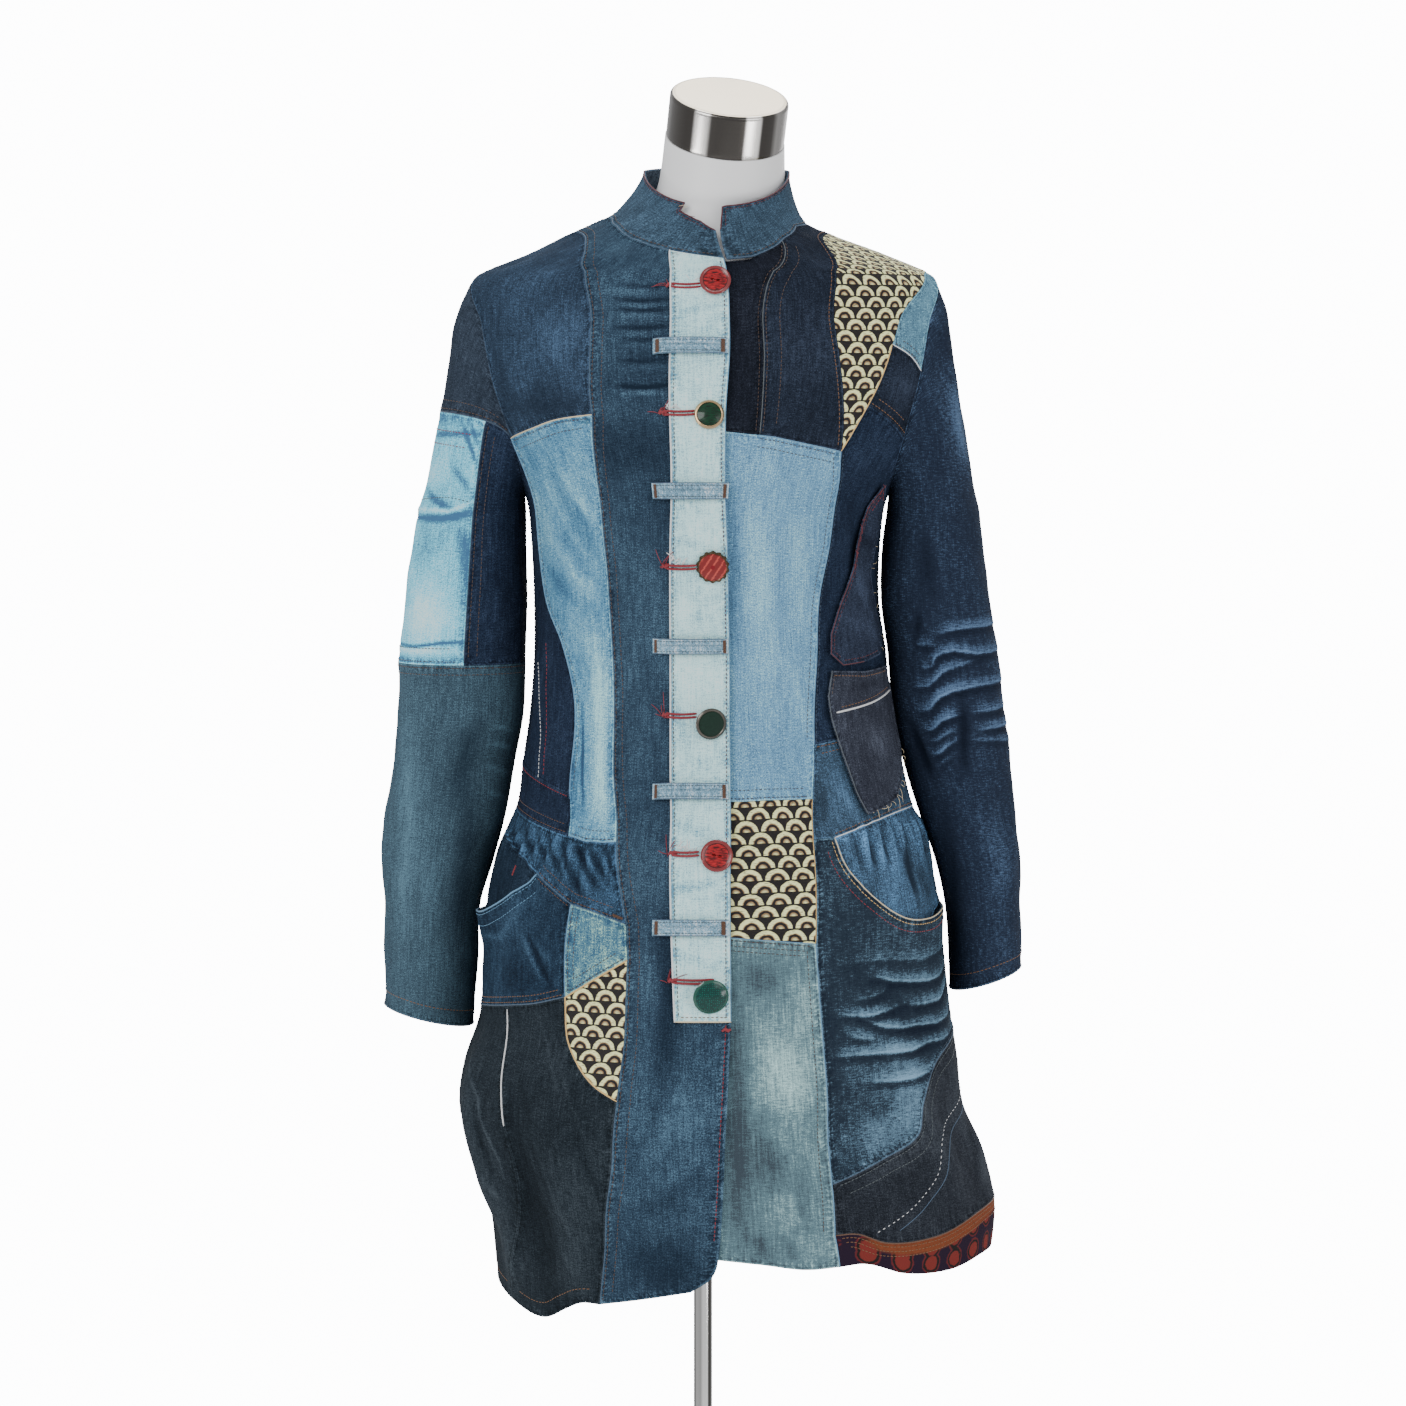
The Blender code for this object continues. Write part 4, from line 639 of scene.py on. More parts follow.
# Long soft folds
FOLDS = (
    # both ends as (turn, height), height of the ridge or depth of the trough, half-width
    ((-70, 770), (-60, 610), 7, 20),
    ((-46, 740), (-44, 600), -5, 18),
    ((-32, 700), (-33, 600), 4, 16),
    ((-78, 700), (-84, 600), -6, 16),
    ((8, 740), (10, 640), -4, 18),
    ((34, 860), (60, 800), -3.5, 16),
    ((44, 800), (58, 690), 5, 22),
    ((72, 760), (80, 660), 6, 22),
    ((-52, 1240), (-38, 1190), -4, 18),
    ((54, 1230), (72, 1150), -4, 20),
    ((118, 930), (112, 650), -6, 22),
    ((142, 900), (146, 640), 6, 24),
    ((168, 940), (164, 650), -6, 22),
    ((-166, 900), (-162, 640), 6, 24),
    ((-140, 940), (-136, 650), -6, 24),
    ((-114, 880), (-112, 630), 5, 22),
    ((150, 1180), (-150, 1160), -4, 16),
    ((158, 1110), (-156, 1095), -4, 15),
)

# Gathers below a waist seam, which die away before the next seam down
GATHERS = (
    # first turn, last turn, seam height, count, depth, length at the first turn, at the last turn
    (-86, -24, 970, 9, 2.6, 22, 64),
    (38, 112, 981, 12, 3.0, 52, 84),
    (118, 232, 985, 14, 3.2, 84, 84),
)
GATHER_START = 12
GATHER_ENDS = 0.06

# How the cloth lies near a seam: the ridge of its turned edge and the ridge's width, the height and
# step of the puckers beside the stitches, and how far from the seam the cloth is free again
RIDGE = 0.7
RIDGE_WIDTH = 9.0
PUCKER = 0.28
PUCKER_STEP = 9.0
CALM_WIDTH = 12.0
EDGE_REACH = 19.0
# Where beside the seam the puckers are highest, and their half-width
PUCKER_PLACE = 4.0
PUCKER_WIDTH = 3.5
# How far in from a seam a crease has its full height, and how it dies away towards both its ends
CREASE_START = 5.0
CREASE_END = 0.04
CREASE_POWER = 0.6
# How much paler cloth is for each millimetre a fold stands up, darker where it sinks, and the most in all
# This is partly wear on the ridges, and partly painted light on them and painted shade in the troughs.
FOLD_SHADE = 0.05
FOLD_SHADE_MOST = 0.22
# Step of the slanted pucker marks beside seams, and of the twill's diagonal ribs
TICK_STEP = 4.2
TWILL = (2 * math.pi / 0.0011, 2 * math.pi / 0.0019, 0)
WOBBLE = np.array([
    # direction, wavelength, height, phase
    (12, 61, 0.35, 0.3),
    (75, 83, 0.40, 1.9),
    (128, 47, 0.25, 4.1),
    (160, 112, 0.55, 2.6),
    (40, 34, 0.16, 5.2),
    (100, 29, 0.12, 0.9),
])


def ease(x):
    """0 below 0, 1 above 1, and a smooth step between."""
    x = np.clip(x, 0, 1)
    return x * x * (3 - 2 * x)


def to_flat(turn, height):
    """Lay a place of the body out flat, in millimetres of cloth: so many for each degree of turn,
    and the length of cloth up to its height."""
    return np.stack((GIRTH_PER_DEGREE * turn, np.interp(height, CLIMB[:, 0], CLIMB[:, 1])), axis=-1)


def from_flat(flat):
    """Turn and height of places that are laid out flat."""
    return flat[..., 0] / GIRTH_PER_DEGREE, np.interp(flat[..., 1], CLIMB[:, 1], CLIMB[:, 0])


def near_line(flat, start, end):
    """Distance of each flat point from a line, and how far along the line it is, 0 to 1."""
    run = end - start
    share = np.clip(((flat - start) @ run) / (run @ run), 0, 1)
    return np.linalg.norm(flat - start - share[..., None] * run, axis=-1), share


def relief(turn, height):
    """How far the folds and gathers lift the cloth off its ring: a bell across each fold, and under
    each gathered seam a wave that fades in, and out again at its own length."""
    turn = (turn + 180) % 360 - 180
    total = np.zeros(np.broadcast(turn, height).shape)
    for start, end, rise, half_width in FOLDS:
        shift = 360 if abs(start[0] - end[0]) > 180 or start[0] > 100 else 0
        around = np.where(turn < -1, turn + shift, turn) if shift else turn
        far_end = (end[0] + shift if end[0] < 0 else end[0], end[1])
        distance, share = near_line(to_flat(around, height), to_flat(*start), to_flat(*far_end))
        along = 0.55 + 0.45 * np.sin(math.pi * share)
        total = total + rise * along * np.exp(-(distance / half_width) ** 2)
    for first, last, seam, count, depth, first_length, last_length in GATHERS:
        around = turn % 360 if last > 180 else turn
        share = (around - first) / (last - first)
        below = seam - height
        wave = np.cos(2 * math.pi * count * share + 0.9 * np.sin(5 * share) + 0.004 * below)
        length = first_length + (last_length - first_length) * share
        length = length * (0.92 + 0.08 * np.sin(9 * share))
        fade = ease(below / GATHER_START) * ease((length - below) / (0.7 * np.abs(length)))
        ends = ease(share / GATHER_ENDS) * ease((1 - share) / GATHER_ENDS)
        total = total + depth * wave * fade * ends
    return total


def coat_point(turn, height):
    """Outer surface of the coat's body: its ring, moved out along the normal by the relief."""
    base = ring_point(turn, height)
    return base + normals(ring_point, turn, height) * relief(turn, height)[..., None]


def armhole_place(side, angle):
    """Place on the body of the armhole's edge: angle 0 at the shoulder, 90 in front, 180 underarm."""
    angle = np.radians(angle)
    turn = side * (ARMHOLE_TURN - ARMHOLE_HALF_TURN * np.sin(angle))
    return turn, ARMHOLE_HEIGHT + ARMHOLE_HALF_HEIGHT * np.cos(angle)


def place(name):
    """Turn and height of a numbered point."""
    if name in ARMHOLE_POINTS:
        turn, height = armhole_place(*ARMHOLE_POINTS[name])
        return np.array((turn, height), float)
    seam = name.rstrip("0123456789")
    return np.array(SEAM_POINTS[seam][int(name[len(seam):]) - 1], float)


def lengths_along(points):
    """Length of a line up to each of its points, the sum of its steps so far."""
    return np.concatenate(((0,), np.cumsum(np.linalg.norm(np.diff(points, axis=0), axis=1))))


def at_lengths(at, lengths, table, curve=np.interp):
    """Rows of a table, one for each point of a line, read off at other lengths along the line."""
    return np.stack([curve(at, lengths, column) for column in table.T], axis=-1)


def smooth_line(points):
    """Even steps along a smooth line through flat points, keeping its two ends exactly."""
    points = np.array(points, float)
    lengths = lengths_along(points)
    steps = max(1, int(round(lengths[-1] / SAMPLE)))
    at = np.linspace(0, lengths[-1], steps + 1)
    return at_lengths(at, lengths, points, np.interp if len(points) == 2 else smooth_through)


def on_neckline(name):
    """Whether a numbered point lies on the neckline seam."""
    turn, height = place(name)
    return abs(height - np.interp(turn, NECKLINE[:, 0], NECKLINE[:, 1])) < 1.0 and height > 1435


def seam_line(first, last, back=False):
    """Flat points of a seam from one numbered point to the next, the same from either side."""
    if f"{last} {first}" in BENDS or (f"{first} {last}" not in BENDS and last < first):
        return seam_line(last, first, back)[::-1]
    ends = [place(first), place(last)]
    if first in ARMHOLE_POINTS and last in ARMHOLE_POINTS:
        side, start = ARMHOLE_POINTS[first]
        stop = ARMHOLE_POINTS[last][1]
        low, high = sorted((start, stop))
        if back:
            low, high = 180, 360
        angles = np.arange(low, high + 1, ARMHOLE_STEP)
        if (back and start == 0) or (not back and start > stop):
            angles = angles[::-1]
        turn, height = armhole_place(side, angles)
        return to_flat(turn + 360 if back and side < 0 else turn, height)
    if on_neckline(first) and on_neckline(last):
        turns = [end[0] for end in ends]
        if back:
            turns = [turn if turn > 0 else turn + 360 for turn in turns]
        low, high = min(turns), max(turns)
        grid = np.arange(math.ceil(low / NECKLINE_STEP) * NECKLINE_STEP, high, NECKLINE_STEP)
        grid = np.concatenate(((low,), grid[grid > low + 1], (high,)))
        heights = np.interp((grid + 180) % 360 - 180, NECKLINE[:, 0], NECKLINE[:, 1])
        line = to_flat(grid, heights)
        return line if turns[0] < turns[1] else line[::-1]
    middle = [np.array(bend, float) for bend in BENDS.get(f"{first} {last}", ())]
    points = [end.copy() for end in (ends[0], *middle, ends[1])]
    if back:
        for point in points:
            if point[0] < 0:
                point[0] += 360
    return smooth_line([to_flat(*point) for point in points])


def seam_path(names, back=False):
    """Flat points of the seams that lead through several numbered points."""
    names = names.split()
    lines = [seam_line(first, last, back) for first, last in zip(names, names[1:])]
    return np.concatenate([lines[0]] + [part[1:] for part in lines[1:]])


def outline(names, back):
    """Closed loop of flat points round a piece."""
    names = names.split()
    loop = []
    for first, last in zip(names, names[1:] + names[:1]):
        loop.extend(seam_line(first, last, back)[:-1])
    loop = np.array(loop)
    following = np.roll(loop, -1, axis=0)
    area = np.sum(loop[:, 0] * following[:, 1] - loop[:, 1] * following[:, 0])
    return loop if area > 0 else loop[::-1]


def inside(loop, points):
    """Which points lie inside a loop, by counting the sides that a line to the right crosses."""
    count = np.zeros(len(points), int)
    for start, end in zip(loop, np.roll(loop, -1, axis=0)):
        spans = (start[1] > points[:, 1]) != (end[1] > points[:, 1])
        slope = (end[0] - start[0]) / ((end[1] - start[1]) or 1e-9)
        count += spans & (points[:, 0] < start[0] + (points[:, 1] - start[1]) * slope)
    return count % 2 == 1


def seam_distance(loop, points, reach=EDGE_REACH):
    """Distance of each flat point from a loop, up to a reach, and the length along the loop there."""
    distance = np.full(len(points), reach)
    along = np.zeros(len(points))
    run = 0.0
    for start, end in zip(loop, np.roll(loop, -1, axis=0)):
        side = np.linalg.norm(end - start)
        close = np.flatnonzero(np.abs(points - start).max(axis=1) < reach + side)
        gap, share = near_line(points[close], start, end)
        better = gap < distance[close]
        distance[close[better]] = gap[better]
        along[close[better]] = run + share[better] * side
        run += side
    return distance, along


def near_path(flat, path):
    """Distance of flat points from a path of a few straight runs, and the share of it passed there."""
    distance = np.full(len(flat), 1e9)
    share = np.zeros(len(flat))
    for k, (start, end) in enumerate(zip(path, path[1:])):
        gap, part = near_line(flat, start, end)
        better = gap < distance
        distance = np.where(better, gap, distance)
        share = np.where(better, (k + part) / (len(path) - 1), share)
    return distance, share


def staggered(low, high, cell):
    """Staggered rows of points over a rectangle."""
    rows = np.arange(low[1], high[1], 0.87 * cell)
    columns = np.arange(low[0], high[0], cell)
    x = columns + 0.5 * cell * (np.arange(len(rows)) % 2)[:, None]
    return np.stack((x, rows[:, None] + 0 * x), axis=-1).reshape(-1, 2)


def doubled_area(corners):
    """Twice the area of flat triangles, more than 0 where their corners go anticlockwise."""
    one, two = corners[:, 1] - corners[:, 0], corners[:, 2] - corners[:, 0]
    return one[:, 0] * two[:, 1] - one[:, 1] * two[:, 0]


def fill(loop, cell, sharp=()):
    """Even triangles inside a loop of flat points, from rows of points that lie closer along the
    paths of its sharp creases."""
    low, high = loop.min(axis=0), loop.max(axis=0)
    grid = staggered(low, high, cell)
    if sharp:
        fine = staggered(low, high, FINE_CELL)
        near, near_fine = (np.min([near_path(places, path)[0] for path in sharp], axis=0) < FINE_REACH
                           for places in (grid, fine))
        grid = np.concatenate((grid[~near], fine[near_fine]))
    grid = grid[inside(loop, grid)]
    grid = grid[seam_distance(loop, grid, 0.6 * cell)[0] >= 0.6 * cell]
    points = [Vector(point) for point in np.concatenate((loop, grid)).tolist()]
    count = np.arange(len(loop))
    sides = np.stack((count, (count + 1) % len(loop)), axis=-1).tolist()
    found = delaunay_2d_cdt(points, sides, [], 1, WELD, False)
    places = np.array([tuple(point) for point in found[0]])
    faces = np.array(found[2])
    corners = places[faces]
    return places, faces[inside(loop, corners.mean(axis=1)) & (doubled_area(corners) > SLIVER)]


def rim_of(faces):
    """The border of a set of triangles, as one loop of point numbers in order."""
    first = faces.ravel()
    second = np.roll(faces, -1, axis=1).ravel()
    count = faces.max() + 1
    lone = ~np.isin(first * count + second, second * count + first)
    following = dict(zip(first[lone].tolist(), second[lone].tolist()))
    loop = [int(first[lone][0])]
    while following[loop[-1]] != loop[0]:
        loop.append(following[loop[-1]])
    return np.array(loop)


def pull_back(points, normal, loop, gap):
    """Move the points of a border inward along the cloth by half the seam gap."""
    ring = points[loop]
    before = ring - np.roll(ring, 1, axis=0)
    after = np.roll(ring, -1, axis=0) - ring
    before /= np.linalg.norm(before, axis=1, keepdims=True)
    after /= np.linalg.norm(after, axis=1, keepdims=True)
    inward_before = np.cross(normal[loop], before)
    inward_after = np.cross(normal[loop], after)
    middle = inward_before + inward_after
    middle /= np.maximum(np.linalg.norm(middle, axis=1, keepdims=True), 1e-6)
    lean = np.clip(np.sum(middle * inward_after, axis=1, keepdims=True), 0.3, 1)
    moved = points.copy()
    moved[loop] = ring + middle * (0.5 * gap / lean)
    return moved


def wobble(flat):
    """The small unevenness of worn cloth, a sum of slanted waves."""
    angle, length, height, phase = WOBBLE.T
    way = np.stack((np.cos(np.radians(angle)), np.sin(np.radians(angle)))) * 2 * math.pi / length
    return np.sin(flat @ way + phase) @ height


def cut_size(loop):
    """Sides of the smallest rectangle, turned as need be, that a flat piece can be cut from."""
    angles = np.radians(np.arange(0, 90, 3))
    across = loop @ np.stack((np.cos(angles), np.sin(angles)))
    along = loop @ np.stack((-np.sin(angles), np.cos(angles)))
    sizes = np.stack((np.ptp(across, axis=0), np.ptp(along, axis=0)), axis=-1)
    return sizes[np.argmin(sizes.prod(axis=1))]


def nothing(flat):
    """The lift of a piece that isn't lifted, and the folds of a form that has none."""
    return np.zeros(len(flat))


class Cut:
    """A piece of the coat's cloth: its border laid flat, the form that it hangs on, and how it lies."""

    def __init__(self, name, loop, surface, unflatten, lift=nothing, creases=(), thickness=CLOTH,
                 ridge=RIDGE, calm=1.0, gap=SEAM_GAP, cell=CELL, folds=nothing):
        self.name, self.loop, self.surface, self.unflatten = name, loop, surface, unflatten
        self.lift, self.folds, self.creases, self.thickness = lift, folds, creases, thickness
        self.ridge, self.calm, self.gap, self.cell = ridge, calm, gap, cell

    def ground(self, flat):
        """Points and normals of the form under flat places."""
        first, second = self.unflatten(flat)
        return self.surface(first, second), normals(self.surface, first, second)

    def lie(self, flat):
        """Height of the outer face over the form at flat places, how much paler it is there, how far
        each place is from the border, and how far along the border. The height is the sum of the
        lift, the ridge of the turned edge, puckers beside it, wobble, and a bell across each crease."""
        edge, along = seam_distance(self.loop, flat)
        free = ease(edge / CALM_WIDTH)
        height = self.lift(flat) + self.ridge * ease(1 - edge / RIDGE_WIDTH)
        beside = np.exp(-((edge - PUCKER_PLACE) / PUCKER_WIDTH) ** 2)
        wave = np.sin(2 * math.pi * along / PUCKER_STEP + 1.7 * np.sin(along / 23))
        height += self.calm * (PUCKER * wave * beside + free * wobble(flat))
        # Folds: paler ridges, partly wear and partly painted light, and darker troughs, painted shade.
        pale = np.clip(FOLD_SHADE * self.folds(flat), -FOLD_SHADE_MOST, FOLD_SHADE_MOST)
        # Creases: real fades, whiskers and dye lines, and painted shade in dark folds and shadows.
        for path, rise, half_width, shade in self.creases:
            distance, share = near_path(flat, np.array(path, float))
            ends = np.sin(math.pi * np.clip(share, CREASE_END, 1 - CREASE_END)) ** CREASE_POWER
            weight = np.exp(-(distance / half_width) ** 2) * ends
            height += ease(edge / CREASE_START) * rise * weight
            pale += shade * weight
        return height, pale, edge, along

    def outer(self, flat, above=0.0):
        """Points of the outer face at flat places, moved out by so much, and normals of the form."""
        base, normal = self.ground(flat)
        return base + normal * (self.lie(flat)[0] + above)[:, None], normal

    def hang(self, finish, held="hung"):
        sharp = [np.array(path, float) for path, _, half_width, _ in self.creases if half_width < SHARP]
        places, faces = fill(self.loop, self.cell, sharp)
        base, normal = self.ground(places)
        height, pale, edge, along = self.lie(places)
        rim = rim_of(faces)
        outer = pull_back(base + normal * height[:, None], normal, rim, self.gap)
        points = np.concatenate((outer, outer - normal * self.thickness))
        count = len(outer)
        after = np.roll(rim, -1)
        walls = (faces, faces[:, ::-1] + count, np.stack((after, rim, rim + count), axis=-1),
                 np.stack((after, rim + count, after + count), axis=-1))
        solid = np.concatenate(walls)
        side = np.repeat((0, 1, 0, 0), [len(wall) for wall in walls])
        values = {"cloth": np.tile(np.column_stack((places * MM, 0 * pale)), (2, 1)),
                  "edge": np.tile(edge, 2), "along": np.tile(along, 2), "pale": np.tile(pale, 2)}
        piece = show(self.name + "_cloth", points * MM, solid, finish, [self.name], SLOT_OF[self.name],
                     60, values, (reverse, side))
        corners = outer[faces] * MM
        crossed = np.cross(corners[:, 1] - corners[:, 0], corners[:, 2] - corners[:, 0])
        area = 0.5 * np.linalg.norm(crossed, axis=1).sum()
        flat_area = 0.5 * doubled_area(places[faces]).sum() * MM**2
        width, length = cut_size(self.loop) * MM * math.sqrt(area / flat_area)


# How bright the default view shows light from a surface, and the light in this room on the front
FILM = np.array([
    # shown, light
    (0, 0.0),
    (9, 0.005),
    (18, 0.010),
    (32, 0.020),
    (54, 0.045),
    (71, 0.070),
    (87, 0.100),
    (104, 0.140),
    (124, 0.200),
    (145, 0.300),
    (165, 0.450),
    (181, 0.650),
    (197, 1.000),
    (209, 1.500),
    (217, 2.000),
])
ROOM_LIGHT = 1.6


def screen(red, green, blue):
    """The base colour that shows as this colour, 0 to 255 in each part, in this room: what the table
    gives for it, divided by the room's light. The default view pales light blues and turns them
    towards purple, which is undone first."""
    shown = np.array((red, green, blue), float)
    middle = shown.mean()
    strength = np.interp(middle, (100, 180), (0, 1)) * (blue > red)
    shown = middle + (shown - middle) * (1 + 0.3 * strength)
    shown[1] += 0.08 * strength * (blue - red)
    light = np.interp(shown, FILM[:, 0], FILM[:, 1]) / ROOM_LIGHT
    return tuple(float(part) for part in np.minimum(light, 0.95))


def denim(name, deep, middle, worn, blotch=0.8, slub=0.8, grain=1.9, wear=0.7, cross=0.7, puckers=0.4):
    """Indigo denim. Its tone runs from deep over middle to worn, and is the sum of large and small
    blotches, slubs along the warp, fine grain, weft threads, the rubbed edge of each seam, painted
    shade in its stitch groove, slanted puckers, and the piece's own pale or dark places: real fades and
    dye, and painted light and shade."""
    finish = Finish("denim_" + name, roughness=0.92, specular_ior_level=0.10)
    cloth = finish.attribute("cloth", "Vector")
    edge = finish.attribute("edge")
    along = finish.attribute("along")
    patchy = finish.noise(finish.stretch(cloth, 0.045, 0.07), detail=3, roughness=0.55)
    cloudy = finish.noise(finish.stretch(cloth, 0.006, 0.009), detail=2, roughness=0.6)
    streak = finish.noise(finish.stretch(cloth, 0.0014, 0.030), detail=3, roughness=0.7)
    fleck = finish.noise(finish.stretch(cloth, 0.0008, 0.0013), detail=2, roughness=0.8)
    weft = finish.noise(finish.stretch(cloth, 0.0060, 0.0011), detail=2, roughness=0.7)
    level = (patchy - 0.5) * (0.7 * blotch) + (cloudy - 0.5) * (0.5 * blotch) + (streak - 0.5) * slub
    level = level + (fleck - 0.5) * grain + (weft - 0.5) * cross + finish.attribute("pale") + 0.41
    ticks = maths("SINE", along * (2 * math.pi / TICK_STEP) + edge * 0.5 + cloudy * 18)
    band = finish.between(edge, 7.5, 3.0) * finish.between(edge, 0.4, 1.6)
    level = level + band * (ticks * (0.30 * puckers) + (cloudy - 0.5) * (0.9 * wear))
    rubbed = finish.between(edge, 1.7, 0.5) * finish.between(cloudy, 0.30, 0.52)
    # Painted shade in the stitch groove, a little in from each seam; the rubbed edge itself is wear.
    groove = finish.between(edge, 3.2, 2.2) * finish.between(edge, 1.2, 1.9)
    level = level + rubbed * (0.30 * wear) - groove * (0.20 * wear)
    tones = zip((0.0, 0.45, 1.0), (screen(*deep), screen(*middle), screen(*worn)))
    finish.give("Base Color", finish.ramp(level, *tones))
    diagonal = finish.node("ShaderNodeVectorMath", {"operation": "DOT_PRODUCT"}, {0: cloth, 1: TWILL}, 1)
    height = maths("SINE", diagonal) * 0.12 + fleck * 0.5 + streak * 0.3 + band * ticks * 0.5
    finish.emboss(height, 0.0007, 0.7)
    return finish


reverse = denim("wrong_side", (52, 62, 80), (98, 112, 128), (160, 170, 178), wear=0.3)
back_mid = denim("back_washed", (26, 42, 66), (62, 88, 112), (124, 156, 176))
back_dark = denim("back_dark", (20, 30, 48), (44, 58, 82), (110, 134, 164))

BACK = {
    # piece: seam points round it, finish
    "back_centre": ("ls1 ls2 bl1 bl2 bc1 br2 br1 rs2 rs1", back_mid),
    "back_left_side": ("bl1 ls3 latop lapit lw1 lw2 bl2", back_dark),
    "back_right_side": ("br1 br2 rw2 rw1 rapit ratop", back_dark),
    "back_skirt_left": ("bc1 bl2 lw2 lw3 lw4 lw5 lw6 bc2", back_mid),
    "back_skirt_right": ("rw2 br2 bc1 bc2 rh1 rp2 rp1 rw3", back_dark),
}
CUTS = {}


def laid(creases):
    """Creases whose paths are given by turn and height, laid flat."""
    return [([to_flat(*place) for place in path], *rest) for path, *rest in creases]


def cut_body(name, names, creases=(), **how):
    """Cut a piece of the coat's body, whose creases are given by turn and height."""
    loop = outline(names, name.startswith("back"))
    CUTS[name] = Cut(name, loop, coat_point, from_flat, creases=laid(creases),
                     folds=lambda flat: relief(*from_flat(flat)), **how)
    return CUTS[name]


THREADS = {
    # colour of the thread as it shows, and how thick it is
    "orange": ((158, 118, 72), 0.34),
    "rust": ((132, 90, 60), 0.34),
    "brown": ((112, 84, 70), 0.34),
    "grey": ((120, 128, 132), 0.32),
    "cream": ((206, 200, 184), 0.34),
    "white": ((222, 222, 216), 0.36),
    "gold": ((206, 192, 150), 0.34),
    "red": ((168, 40, 56), 0.38),
    "wine": ((118, 38, 54), 0.36),
    "blue": ((70, 96, 124), 0.32),
    "pale": ((144, 172, 188), 0.32),
    "fold": ((96, 124, 148), 0.30),
}
STITCH_STEP = 3.5
STITCH_LENGTH = 2.7
STITCH_RINGS = np.array([
    # share of the length, height of the middle, radius
    (-0.5, -0.5, 0.45),
    (-0.22, 0.45, 1.0),
    (0.22, 0.45, 1.0),
    (0.5, -0.5, 0.45),
])
STITCH_SIDES = 4
thread_finishes = {}
sewn = {}
cords = {}
rng = np.random.default_rng(11)


def stitch_places(start, end, up, radius):
    """Points of stitches: small rings round a low arch from each start to its end."""
    along = end - start
    side = np.cross(along, up)
    side /= np.linalg.norm(side, axis=1, keepdims=True)
    share, rise, size = STITCH_RINGS.T
    turn = np.arange(STITCH_SIDES) * 2 * math.pi / STITCH_SIDES
    middle = (start + end)[:, None] / 2 + along[:, None] * share[None, :, None]
    middle = middle + up[:, None] * rise[None, :, None] * radius
    across = side[:, None, None] * np.cos(turn)[None, None, :, None]
    over = up[:, None, None] * np.sin(turn)[None, None, :, None]
    rings = middle[:, :, None] + radius * size[None, :, None, None] * (across + over)
    return rings.reshape(-1, 3)


def left_of(line):
    """Unit vectors square to a flat line, to its left."""
    run = np.gradient(line, axis=0)
    return np.stack((-run[:, 1], run[:, 0]), axis=-1) / np.linalg.norm(run, axis=1, keepdims=True)


def into_piece(cut, line):
    """Unit vectors square to a flat line, to the side where its middle has the piece beside it."""
    side = left_of(line)
    middle = len(line) // 2
    return side if inside(cut.loop, (line[middle] + 1.5 * side[middle])[None])[0] else -side


def sew(cut, line, colour, offset=0.0, step=STITCH_STEP, length=STITCH_LENGTH):
    """A row of stitches along a flat line of a piece, moved so far in from it, kept off its border."""
    moved = line + into_piece(cut, line) * offset
    kept = inside(cut.loop, moved) & (seam_distance(cut.loop, moved)[0] > 0.8 * min(offset, EDGE_REACH) - 0.3)
    points, normal = cut.outer(moved, 0.05)
    passed = lengths_along(points)
    at = np.arange(step, passed[-1] - step, step)
    at = at + rng.uniform(-0.25, 0.25, len(at))
    at = at[np.interp(at, passed, kept.astype(float)) > 0.99]
    if len(at):
        start, end = (at_lengths(at + shift, passed, points) for shift in (-0.5 * length, 0.5 * length))
        up = at_lengths(at, passed, normal)
        sewn.setdefault(colour, []).append(stitch_places(start, end, up, THREADS[colour][1]))


def finish_sewing(section):
    """Join all stitches, and all cords, of one colour that a section has sewn into one piece each."""
    for colour in (*sewn, *cords):
        if colour not in thread_finishes:
            thread = Finish(colour + "_thread", roughness=0.65, sheen_weight=0.2)
            twist = thread.noise(thread.stretch(thread.place(), 0.0004, 0.0004, 0.0009), detail=2)
            shade = screen(*THREADS[colour][0])
            thread.give("Base Color", thread.mix(twist, tuple(0.6 * part for part in shade), shade))
            thread_finishes[colour] = thread
    for colour, groups in sewn.items():
        points = np.concatenate(groups)
        rings, sides = len(STITCH_RINGS), STITCH_SIDES
        row = np.arange(rings - 1)[:, None] * sides
        step = np.arange(sides)
        after = (step + 1) % sides
        quads = np.stack((row + step, row + sides + step, row + sides + after, row + after), axis=-1)
        ends = np.stack((step, step[::-1] + (rings - 1) * sides))
        faces = np.concatenate((quads.reshape(-1, 4), ends))
        each = np.arange(len(points) // (rings * sides))[:, None, None] * rings * sides
        faces = (faces + each).reshape(-1, 4)
        show(f"stitches_{section}_{colour}", points * MM, faces, thread_finishes[colour])
    for colour, groups in cords.items():
        counts = np.cumsum([0] + [len(points) for points, _ in groups])
        faces = [[corner + start for corner in face]
                 for start, (_, each) in zip(counts, groups) for face in each]
        points = np.concatenate([points for points, _ in groups])
        show(f"cords_{section}_{colour}", points * MM, faces, thread_finishes[colour])
    sewn.clear()
    cords.clear()


def seam_rows(rows, back=False):
    """Sew rows of stitches beside seams: piece, seam points passed, distances in, and colour."""
    for name, names, offsets, colour in rows:
        for offset in offsets:
            sew(CUTS[name], seam_path(names, back), colour, offset)


for name, (names, finish) in BACK.items():
    held = "gathered" if "skirt" in name else "hung"
    cut_body(name, names).hang(finish, held)
seam_rows((
    ("back_centre", "bl1 bl2", (2, 8), "orange"),
    ("back_centre", "br1 br2", (2, 8), "orange"),
    ("back_centre", "bl2 bc1 br2", (2,), "orange"),
    ("back_skirt_left", "bl2 bc1", (2,), "orange"),
    ("back_skirt_right", "bc1 br2", (2,), "orange"),
    ("back_skirt_left", "bc1 bc2", (2, 8), "orange"),
    ("back_skirt_left", "lw6 bc2", (12,), "orange"),
    ("back_skirt_right", "bc2 rh1", (12,), "orange"),
    ("back_left_side", "lapit lw1 lw2", (2,), "brown"),
    ("back_right_side", "rapit rw1 rw2", (2,), "brown"),
), back=True)
finish_sewing("back")


